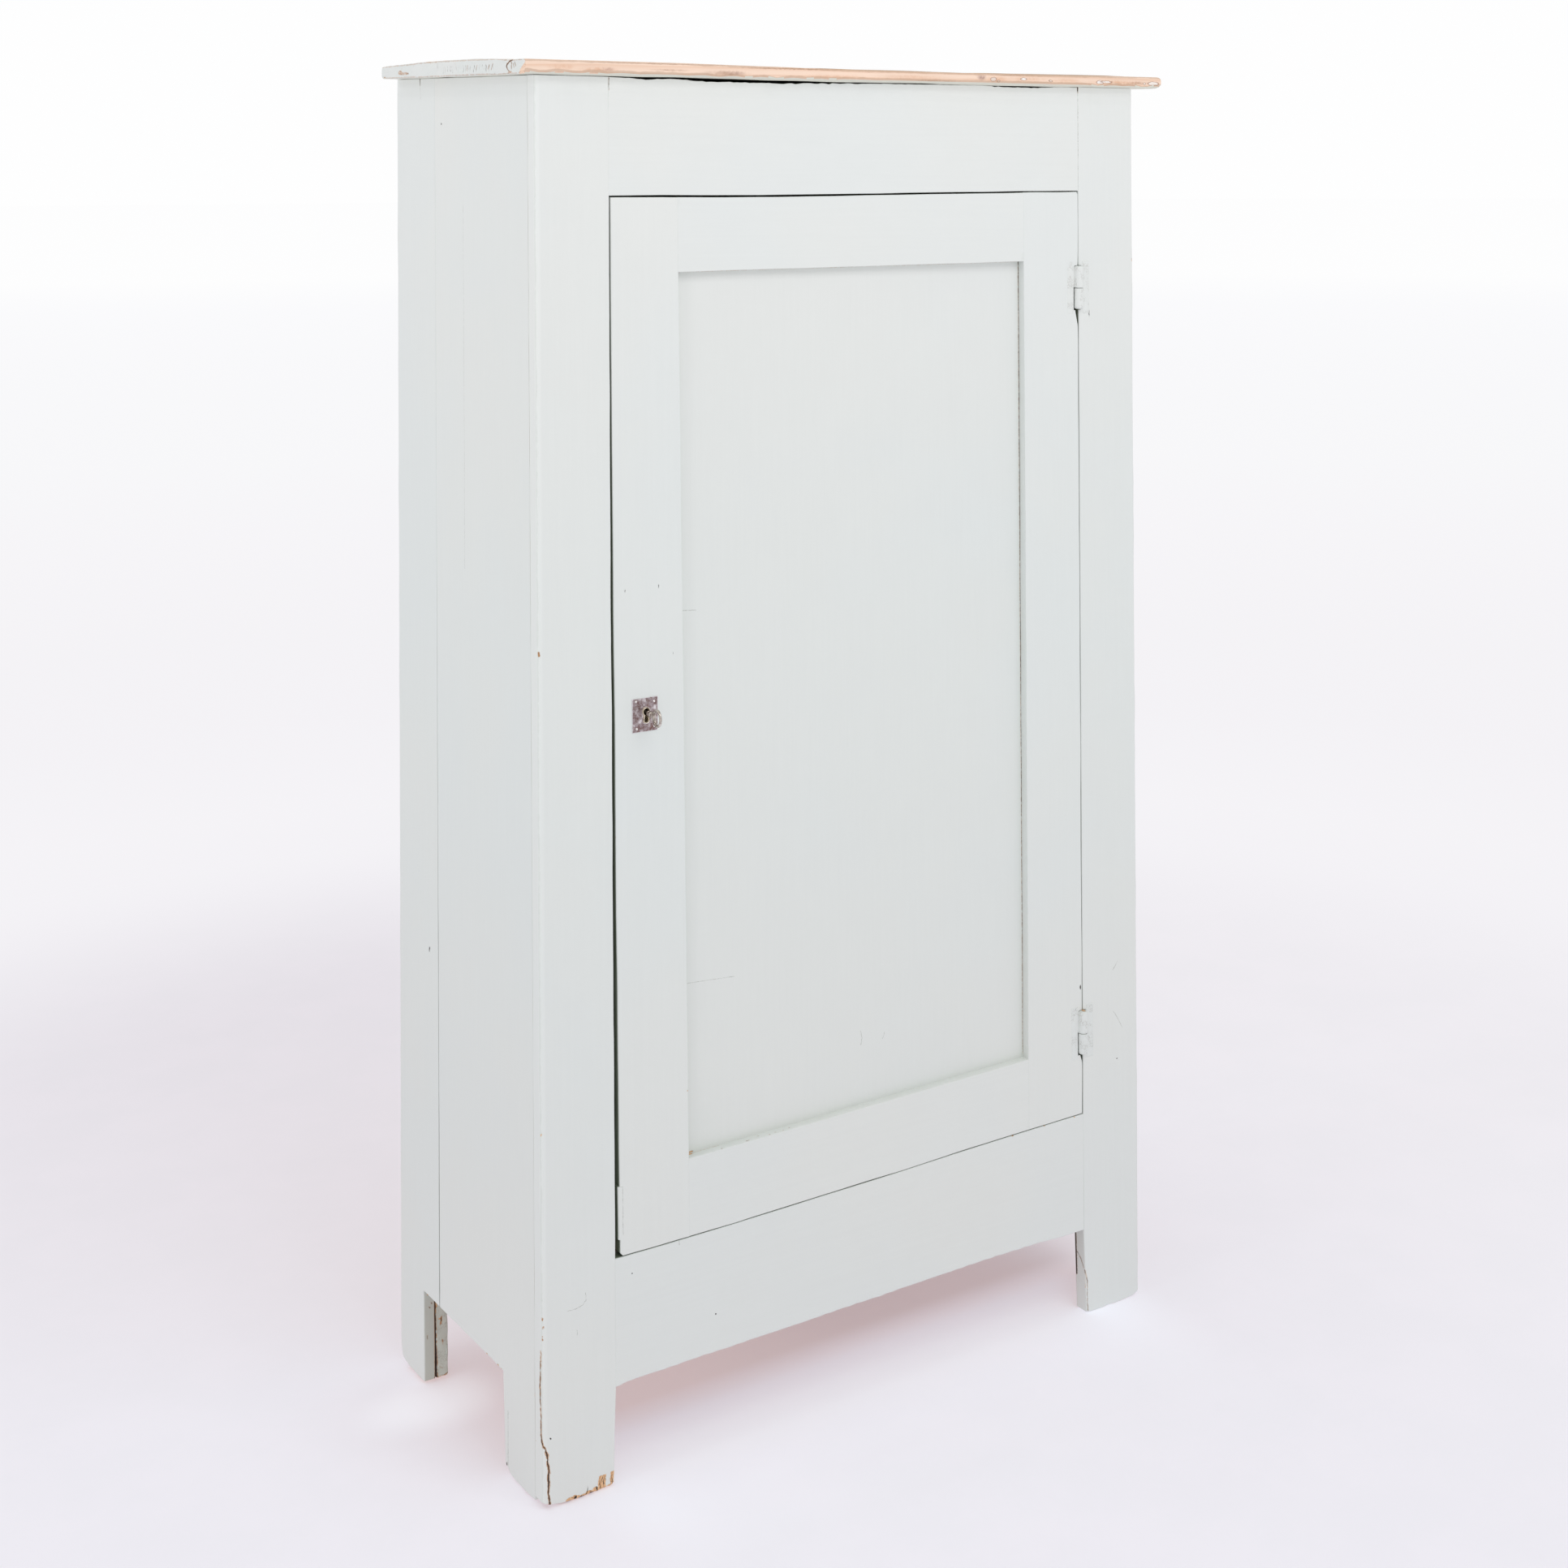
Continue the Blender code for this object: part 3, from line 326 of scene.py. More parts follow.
def paint(name, grain="Z", plane="y", seed=0, chips=(), cracks=(), marks=(),
          pits=(), tone=1.0, worn=0.5, gloss=0.0, foot=0.0, crackle=0.0,
          spots=(), deep_cracks=(), patches=(), dim=None, corner=0.0,
          tint=None, edge_cracks_and_joint_shade=(), halo=1.0, crooked=0.0, band=None, low=0.0,
          relief=True):
    """Old oil paint on pine: brush marks along the grain, slight colour drift,
    rubbed arrises with an older coat under them, chips down to the wood and
    drying cracks at given places. Without relief these are colour and gloss only,
    which keeps a piece that has very many of them within the shader's limits."""
    T = Tree(name)
    P = T.attr("rest")
    Q = T.v("ADD", P, (seed * 1.37 + 3.0, seed * 2.11 + 5.0, seed * 0.73 + 7.0))
    broad = T.noise(Q, 2.3, 3, 0.55)
    mott = T.noise(Q, 17, 4, 0.62)
    brush = T.noise(T.v("MULTIPLY", Q, STREAK[grain]), 1.0, 4, 0.6)
    speck = T.noise(Q, 520, 2, 0.5)
    col = T.mix(T.map(broad, 0.36, 0.64), COOL, WARM)
    k = T.m("MULTIPLY_ADD", mott, 0.022, 0.989 * tone)
    k = T.m("MULTIPLY_ADD", brush, 0.030, T.m("SUBTRACT", k, 0.015))
    k = T.m("MULTIPLY_ADD", speck, 0.016, T.m("SUBTRACT", k, 0.008))
    col = T.v("SCALE", col, None, k)
    if tint is not None:
        col = T.v("MULTIPLY", col, tint)
    # painted light: the colour shifts with height (less green and blue low down, a little warmer at
    # the top) to offset how light falls, and it is made up to 16 % lighter just under the top, which
    # cancels the shadow of the top
    px, py, pz = T.split(P)
    drift = T.mix(T.map(pz, 0.15, 0.95), (1.0, 0.990, 0.979), (1.0, 1.008, 1.005))
    drift = T.mix(T.map(pz, 0.95, 1.65), drift, (1.010, 1.003, 1.0))
    col = T.v("MULTIPLY", col, drift)
    col = T.v("SCALE", col, None, T.map(pz, UNDER - 0.024, UNDER - 0.004, 1.0, 1.16))
    # painted light: with low set, the lower part is made lighter
    if low:
        col = T.v("SCALE", col, None, T.map(pz, 0.05, 0.40, 1.0 + low, 1.0))
    if band is not None:
        col = T.v("SCALE", col, None, T.map(px, band[0], band[1], band[2], 1.0))
    if dim is not None:
        # thin old coat on the sawn edge of the rear leg
        ey, ez = T.split(P)[1], T.split(P)[2]
        inner = T.m("MULTIPLY", T.map(T.m("ABSOLUTE", T.m("SUBTRACT", ey, LEG_Y)),
                                      0.0045, 0.0052, 1.0, 0.0),
                    T.map(T.split(P)[0], 0.0006, 0.0016))
        inner = T.m("MULTIPLY", inner, T.map(ez, 0.118, 0.121, 1.0, 0.0))
        col = T.mix(inner, col, T.v("MULTIPLY", col, dim))
    # painted highlight: the paint is made lighter within a few millimetres of the front-left corner,
    # where its rounding catches the light
    if corner:
        cx, cy, _ = T.split(P)
        dd = T.m("SQRT", T.m("ADD", T.m("MULTIPLY", cx, cx), T.m("MULTIPLY", cy, cy)))
        col = T.v("SCALE", col, None, T.map(dd, 0.0025, 0.0080, 1.0 + corner, 1.0))
    # recess and joint grime, as an older greenish yellow coat
    grime = T.m("MULTIPLY", T.attr("grime", "Fac"),
                T.map(T.noise(Q, 60, 4, 0.7), 0.30, 0.62, 0.35, 1.0))
    col = T.mix(grime, col, RECESS)
    # rubbed arrises
    edge = T.attr("edge", "Fac")
    ragged = T.noise(Q, 95, 4, 0.65)
    near = T.m("MULTIPLY_ADD", ragged, -0.0030, T.m("ADD", edge, 0.0015))
    rub = T.m("MULTIPLY", T.map(near, 0.0002, 0.0011, 1.0, 0.0), worn)
    col = T.mix(T.m("MULTIPLY", rub, 0.30), col, OLDER)
    wood = bare_wood(T, Q, grain)
    rare = T.map(T.noise(Q, 38, 3, 0.6), 0.700, 0.735)
    bare = T.m("MULTIPLY", T.m("MULTIPLY", T.map(near, -0.0004, 0.0003, 1.0, 0.0),
                               rare), worn, clamp=True)
    rubbed = bare
    height = T.m("MULTIPLY", brush, 0.000030)
    height = T.m("MULTIPLY_ADD", speck, 0.000007, height)
    height = T.m("MULTIPLY_ADD", mott, 0.00009, height)
    jit = T.v("SCALE", T.v("SUBTRACT", T.noise(Q, 330, 3, 0.6, colour=True),
                           (0.5, 0.5, 0.5)), None, 0.0022)
    J = T.v("ADD", P, jit)
    if crooked:
        bend = T.v("SUBTRACT", T.noise(Q, 85, 2, 0.5, colour=True), (0.5, 0.5, 0.5))
        J = T.v("ADD", J, T.v("SCALE", bend, None, crooked))
    F = T.v("MULTIPLY", J, PLANES[plane])
    if chips or spots or patches:
        def bits():
            for a, b, ra, rb in chips:
                yield T.blob(F, at(plane, a, b), radii(plane, ra, rb))
            for a, b, c, ra, rb, rc in spots:
                yield T.blob(J, (a, b, c), (ra, rb, rc))
            for a, b, ha, hb in patches:
                q = T.v("SUBTRACT", T.v("ABSOLUTE", T.v("SUBTRACT", F,
                                                        at(plane, a, b))),
                        at(plane, ha, hb))
                i, j, l = T.split(q)
                pa, pb = {"y": (i, l), "x": (j, l), "z": (i, j)}[plane]
                yield T.m("MAXIMUM", pa, pb)
        d = T.least(bits())
        core = T.map(d, -0.00012, 0.00012, 1.0, 0.0)
        bare = T.m("MAXIMUM", bare, core)
        col = T.mix(T.m("MULTIPLY", T.map(d, 0.0001, 0.0009, 1.0, 0.0), 0.35), col,
                    OLDER)
    if foot:
        z = T.split(P)[2]
        lim = T.m("MULTIPLY_ADD", T.noise(Q, 140, 4, 0.7), 0.011 * foot,
                  -0.0035 * foot)
        scuff = T.map(T.m("SUBTRACT", z, lim), -0.0004, 0.0004, 1.0, 0.0)
        bare = T.m("MAXIMUM", bare, scuff)
    col = T.mix(bare, col, wood)
    if pits:
        d = T.least(T.blob(F, at(plane, a, b), radii(plane, ra, rb))
                    for a, b, ra, rb in pits)
        pit = T.map(d, -0.0002, 0.0003, 1.0, 0.0)
        col = T.mix(pit, col, (0.035, 0.024, 0.018))
        if relief:
            height = T.m("MULTIPLY_ADD", pit, -0.0007, height)
    if marks:
        d = T.least(T.stroke(F, at(plane, a0, b0), at(plane, a1, b1), w, w)
                    for pts, w in marks
                    for (a0, b0), (a1, b1) in zip(pts, pts[1:]))
        line = T.m("MULTIPLY", T.map(d, -0.00015, 0.0004, 1.0, 0.0),
                   T.map(T.noise(Q, 210, 2, 0.5), 0.30, 0.60, 0.25, 0.85))
        col = T.mix(line, col, (0.36, 0.37, 0.33))
        if relief:
            height = T.m("MULTIPLY_ADD", line, -0.00020, height)
    if cracks or deep_cracks or edge_cracks_and_joint_shade:
        def splits():
            for pts in cracks:
                for (a0, b0, w0), (a1, b1, w1) in zip(pts, pts[1:]):
                    yield T.stroke(F, at(plane, a0, b0), at(plane, a1, b1), w0, w1)
            for pts in deep_cracks:
                for p0, p1 in zip(pts, pts[1:]):
                    yield T.stroke(J, p0[:3], p1[:3], p0[3], p1[3])
            if edge_cracks_and_joint_shade:
                # lines on the narrow front edge of a rear leg, in X and Z: small cracks, and a
                # painted shade line where the outer board meets the foot block
                E = T.v("MULTIPLY", J, (1.0, 0.0, 1.0))
                off = T.m("SUBTRACT", T.m("ABSOLUTE", T.m("SUBTRACT", T.split(P)[1],
                                                          LEG_Y)), 0.0048)
                for pts in edge_cracks_and_joint_shade:
                    for (a0, b0, w0), (a1, b1, w1) in zip(pts, pts[1:]):
                        yield T.m("MAXIMUM", off, T.stroke(
                            E, (a0, 0.0, b0), (a1, 0.0, b1), w0, w1))
        d = T.least(splits())
        brown = T.map(d, 0.0003, 0.0015, halo, 0.0)
        brown = T.m("MULTIPLY", brown, T.map(T.noise(Q, 190, 3, 0.6), 0.34, 0.50))
        col = T.mix(brown, col, (0.50, 0.27, 0.13))
        dark = T.map(d, -0.00018, 0.00012, 1.0, 0.0)
        col = T.mix(dark, col, (0.030, 0.018, 0.012))
        if relief:
            height = T.m("MULTIPLY_ADD", dark, -0.0012, height)
    if crackle:
        net = T.cells(T.v("MULTIPLY", Q, (1, 1, 0.55)), 420, "DISTANCE_TO_EDGE")
        zone = T.map(T.noise(Q, 90, 2, 0.5), 0.46, 0.60)
        c = T.m("MULTIPLY", T.map(net, 0.02, 0.07, 1.0, 0.0), zone)
        col = T.mix(T.m("MULTIPLY", c, crackle), col, (0.30, 0.27, 0.22))
        height = T.m("MULTIPLY_ADD", c, -0.00008, height)
    # painted shade: where the shade attribute is set, the colour is darkened towards GAP_DARK
    col = T.mix(T.attr("shade", "Fac"), col, GAP_DARK)
    height = T.m("MULTIPLY_ADD", bare if relief else rubbed, -0.00035, height)
    rough = T.m("MULTIPLY_ADD", mott, 0.16, 0.36 - gloss)
    rough = T.m("MULTIPLY_ADD", bare, 0.30, rough)
    return T.bsdf(col, rough, height, spec=0.42)


def pine(name, grain="X", seed=0, early=(0.700, 0.455, 0.250),
         late=(0.420, 0.205, 0.085), pitch=0.0065, drift=0.035, depth=0.62,
         rough=0.60, grey=0.0, knots=1.0, stains=(), fillers=(), plane="y",
         saw=0.0, rubbed=0.35, source="rest", cracks=()):
    """Softwood: growth rings cut at a slant, fibres, and a few knots."""
    T = Tree(name)
    P = T.attr("rest") if source == "rest" else T.where()
    Q = T.v("ADD", P, (seed * 0.91 + 2.0, seed * 1.73 + 4.0, seed * 2.39 + 6.0))
    x, y, z = T.split(Q)
    x0, y0, z0 = T.split(P)
    along, a, b, fib, kn = {
        "X": (x, y0, z0, (6, 420, 420), (1.5, 7.5, 7.5)),
        "Y": (y, x0, z0, (420, 6, 420), (7.5, 1.5, 7.5)),
        "Z": (z, x0, y0, (420, 420, 6), (7.5, 7.5, 1.5)),
    }[grain]
    slow = T.noise(T.join(T.m("MULTIPLY", along, 1.6), T.m("MULTIPLY", a, 4.0),
                          T.m("MULTIPLY", b, 4.0)), 1.0, 3, 0.55, colour=True)
    s0, s1, _ = T.split(slow)
    cell = T.cells(T.v("MULTIPLY", Q, kn), 1.0)
    pull = T.map(cell, 0.05, 0.42, 1.0, 0.0)
    aa = T.m("MULTIPLY_ADD", T.m("SUBTRACT", s0, 0.5), drift * 2.4, a)
    bb = T.m("MULTIPLY_ADD", T.m("SUBTRACT", s1, 0.5), drift,
             T.m("ADD", b, 0.11 + 0.013 * (seed % 5)))
    r = T.m("SQRT", T.m("ADD", T.m("MULTIPLY", aa, aa), T.m("MULTIPLY", bb, bb)))
    if knots:
        r = T.m("MULTIPLY_ADD", pull, 0.016 * knots, r)
    ring = T.m("FRACT", T.m("MULTIPLY", r, 1.0 / pitch))
    lw = T.m("MULTIPLY", T.map(ring, 0.35, 0.86), T.map(ring, 0.90, 1.0, 1.0, 0.0))
    fibre = T.noise(T.v("MULTIPLY", Q, fib), 1.0, 3, 0.6)
    patch = T.noise(Q, 5.5, 3, 0.6)
    f = T.m("MULTIPLY_ADD", fibre, 0.34, T.m("MULTIPLY_ADD", lw, depth, -0.15),
            clamp=True)
    col = T.mix(f, early, late)
    col = T.v("SCALE", col, None, T.m("MULTIPLY_ADD", patch, 0.20, 0.90))
    height = T.m("MULTIPLY_ADD", fibre, 0.00005, T.m("MULTIPLY", lw, 0.00008))
    if knots:
        k = T.map(cell, 0.045, 0.075, 1.0, 0.0)
        halo = T.map(cell, 0.05, 0.20, 0.55, 0.0)
        col = T.mix(T.m("MULTIPLY", halo, knots, clamp=True), col,
                    tuple(c * 0.62 for c in late))
        col = T.mix(T.m("MULTIPLY", k, min(knots, 1.0)), col,
                    tuple(c * 0.28 for c in late))
    if saw:
        lines = T.noise(T.join(T.m("MULTIPLY", along, 260.0), T.m("MULTIPLY", a, 9.0),
                               T.m("MULTIPLY", b, 9.0)), 1.0, 2, 0.5)
        height = T.m("MULTIPLY_ADD", lines, 0.00012 * saw, height)
        col = T.v("SCALE", col, None, T.m("MULTIPLY_ADD", lines, 0.10 * saw,
                                          1.0 - 0.05 * saw))
    if grey:
        g = T.map(T.noise(Q, 3.4, 4, 0.65), 0.30, 0.70, 0.25, 1.0)
        col = T.mix(T.m("MULTIPLY", g, grey), col, (0.245, 0.205, 0.160))
    jit = T.v("SCALE", T.v("SUBTRACT", T.noise(Q, 260, 3, 0.6, colour=True),
                           (0.5, 0.5, 0.5)), None, 0.0026)
    F = T.v("MULTIPLY", T.v("ADD", P, jit), PLANES[plane])
    for a0, b0, ra, rb, c, strength in stains:
        d = T.blob(F, at(plane, a0, b0), radii(plane, ra, rb))
        soft = T.map(d, -min(ra, rb) * 0.9, min(ra, rb) * 0.35, strength, 0.0)
        soft = T.m("MULTIPLY", soft, T.map(T.noise(Q, 120, 3, 0.6), 0.3, 0.62, 0.35,
                                           1.0))
        col = T.mix(soft, col, c)
    for a0, b0, ra, rb, c in fillers:
        d = T.blob(F, at(plane, a0, b0), radii(plane, ra, rb))
        col = T.mix(T.map(d, 0.0002, 0.0009, 0.75, 0.0), col, (0.36, 0.19, 0.13))
        inside = T.map(d, -0.0003, 0.0001, 1.0, 0.0)
        col = T.mix(inside, col, c)
        height = T.m("MULTIPLY_ADD", inside, -0.00012, height)
    if cracks:
        items = []
        for pts in cracks:
            for (a0, b0, w0), (a1, b1, w1) in zip(pts, pts[1:]):
                items.append(T.stroke(F, at(plane, a0, b0), at(plane, a1, b1),
                                      w0, w1))
        dark = T.map(T.least(items), -0.0002, 0.0002, 1.0, 0.0)
        col = T.mix(dark, col, (0.06, 0.035, 0.022))
        height = T.m("MULTIPLY_ADD", dark, -0.0009, height)
    edge = T.attr("edge", "Fac") if source == "rest" else 0.02
    if source == "rest" and rubbed:
        e = T.map(T.m("MULTIPLY_ADD", T.noise(Q, 80, 3, 0.6), -0.003, edge),
                  -0.0012, 0.0004, rubbed, 0.0)
        col = T.mix(e, col, (0.30, 0.17, 0.09))
    return T.bsdf(col, T.m("MULTIPLY_ADD", fibre, 0.18, rough - 0.09), height,
                  spec=0.35)


def end_paint(name, seed, plane, cracks, chips, stains=()):
    """Thin worn paint over open end grain."""
    T = Tree(name)
    P = T.attr("rest")
    Q = T.v("ADD", P, (seed * 1.1 + 2.0, seed * 1.9 + 3.0, seed * 0.7 + 5.0))
    x, y, z = T.split(Q)
    arcs = T.noise(T.v("MULTIPLY", Q, (30, 190, 60)), 1.0, 4, 0.7)
    fine = T.noise(Q, 380, 4, 0.75)
    broad = T.noise(Q, 14, 3, 0.6)
    col = T.mix(T.map(broad, 0.35, 0.65), (0.745, 0.775, 0.760), (0.775, 0.790, 0.775))
    pitted = T.m("MULTIPLY", T.map(fine, 0.56, 0.70), T.map(arcs, 0.48, 0.64))
    col = T.mix(T.m("MULTIPLY", pitted, 0.55), col, (0.40, 0.34, 0.30))
    edge = T.attr("edge", "Fac")
    near = T.m("MULTIPLY_ADD", T.noise(Q, 170, 4, 0.7), -0.0030,
               T.m("ADD", edge, 0.0012))
    rub = T.map(near, -0.0003, 0.0004, 1.0, 0.0)
    wood = bare_wood(T, Q, "Y", (0.62, 0.42, 0.30), (0.30, 0.16, 0.09))
    high = T.map(z, TA[2] + 0.008, TA[2] + 0.013)
    col = T.mix(T.m("MULTIPLY", rub, T.m("MULTIPLY_ADD", high, 0.36, 0.15)), col, wood)
    jit = T.v("SCALE", T.v("SUBTRACT", T.noise(Q, 420, 3, 0.6, colour=True),
                           (0.5, 0.5, 0.5)), None, 0.0024)
    F = T.v("MULTIPLY", T.v("ADD", P, jit), PLANES[plane])
    # a row of short checks in the middle of the end
    _, ry, rz = T.split(P)
    ticks = T.noise(T.v("MULTIPLY", Q, (1, 330, 70)), 1.0, 2, 0.5)
    where = T.m("MULTIPLY", T.m("MULTIPLY", T.map(ry, 0.062, 0.080),
                                T.map(ry, 0.190, 0.240, 1.0, 0.0)),
                T.m("MULTIPLY", T.map(rz, 1.7655, 1.7675),
                    T.map(rz, 1.7745, 1.7765, 1.0, 0.0)))
    ticks = T.m("MULTIPLY", T.map(ticks, 0.60, 0.68), where)
    col = T.mix(T.m("MULTIPLY", ticks, 0.62), col, (0.22, 0.19, 0.16))
    if seed == 3:
        # bare wedge at the front corner
        lim = T.m("MULTIPLY_ADD", T.m("SUBTRACT", TB[2] - 0.0016, rz), 1.15, TA[1])
        lim = T.m("MULTIPLY_ADD", T.noise(Q, 120, 4, 0.6), 0.006,
                  T.m("SUBTRACT", lim, 0.003))
        wedge = T.map(T.m("SUBTRACT", ry, lim), -0.0004, 0.0004, 1.0, 0.0)
        col = T.mix(wedge, col, bare_wood(T, Q, "Y", (0.93, 0.70, 0.55),
                                          (0.76, 0.46, 0.30)))
    height = T.m("MULTIPLY_ADD", pitted, -0.00030,
                 T.m("MULTIPLY_ADD", fine, 0.00025, T.m("MULTIPLY", arcs, 0.0004)))
    d = T.least([T.blob(F, at(plane, a, b), radii(plane, ra, rb))
                 for a, b, ra, rb in chips])
    core = T.map(d, -0.0002, 0.0003, 1.0, 0.0)
    core = T.m("MULTIPLY", core, T.map(fine, 0.36, 0.52))
    col = T.mix(core, col, wood)
    items = []
    for pts in cracks:
        for (a0, b0, w0), (a1, b1, w1) in zip(pts, pts[1:]):
            items.append(T.stroke(F, at(plane, a0, b0), at(plane, a1, b1), w0, w1))
    d = T.least(items)
    col = T.mix(T.map(d, 0.0001, 0.0010, 0.8, 0.0), col, wood)
    dark = T.map(d, -0.00035, 0.00005, 1.0, 0.0)
    col = T.mix(dark, col, (0.13, 0.07, 0.04))
    height = T.m("MULTIPLY_ADD", dark, -0.0009, height)
    return T.bsdf(col, 0.62, height, spec=0.3)


def metal(name, dark, mid, bright, scale=1.0, rough=(0.30, 0.60), seed=0,
          source="rest", scratch=1.0, metallic=0.9, wear=0.6, rust=0.0):
    """Worn metal: cloudy patina, brighter rubbed edges, fine scratches."""
    T = Tree(name)
    P = T.attr("rest") if source == "rest" else T.where()
    Q = T.v("ADD", P, (seed + 1.0, seed * 1.7 + 2.0, seed * 2.3 + 3.0))
    cloud = T.noise(Q, 130 * scale, 5, 0.65)
    fine = T.noise(Q, 900 * scale, 3, 0.6)
    tint = T.noise(Q, 60 * scale, 2, 0.5)
    col = T.mix(T.map(cloud, 0.36, 0.62), dark, mid)
    col = T.mix(T.map(T.m("MULTIPLY_ADD", fine, 0.35, T.m("MULTIPLY", tint, 0.65)),
                      0.50, 0.68), col, bright)
    sc = T.noise(T.v("MULTIPLY", Q, (2600, 300, 120)), 1.0, 2, 0.5)
    col = T.mix(T.m("MULTIPLY", T.map(sc, 0.62, 0.74), 0.5 * scratch), col, bright)
    if source == "rest" and wear:
        e = T.map(T.m("MULTIPLY_ADD", fine, -0.0010, T.attr("edge", "Fac")),
                  -0.0004, 0.0003, wear, 0.0)
        col = T.mix(e, col, bright)
    if rust:
        r = T.m("MULTIPLY", T.map(T.noise(Q, 75, 4, 0.7), 0.54, 0.68), rust)
        col = T.mix(r, col, (0.17, 0.06, 0.025))
    height = T.m("MULTIPLY_ADD", cloud, 0.00022, T.m("MULTIPLY", fine, 0.00006))
    height = T.m("MULTIPLY_ADD", sc, 0.00003 * scratch, height)
    return T.bsdf(col, T.map(cloud, 0.3, 0.7, rough[0], rough[1]), height, metallic)


# ---------------------------------------------------------------------------
# Mesh building
# ---------------------------------------------------------------------------
def pair(r):
    return r if isinstance(r, tuple) else (r, r)


def grid_lines(hard, rings, step, zones):
    hard = sorted(set(round(float(h), 7) for h in hard))
    extra = list(rings)
    for a, b, d in zones:
        n = max(1, int(round((b - a) / d)))
        extra += [a + (b - a) * i / n for i in range(n + 1)]
    keep = [h for h in hard]
    for x in sorted(extra):
        if hard[0] < x < hard[-1] and min(abs(x - k) for k in keep) > 0.00007:
            keep.append(x)
    keep = sorted(keep)
    out = [keep[0]]
    for x in keep[1:]:
        gap = x - out[-1]
        n = max(1, int(math.ceil(gap / step - 1e-6)))
        base = out[-1]
        out += [base + gap * k / n for k in range(1, n + 1)]
    return np.array(out)


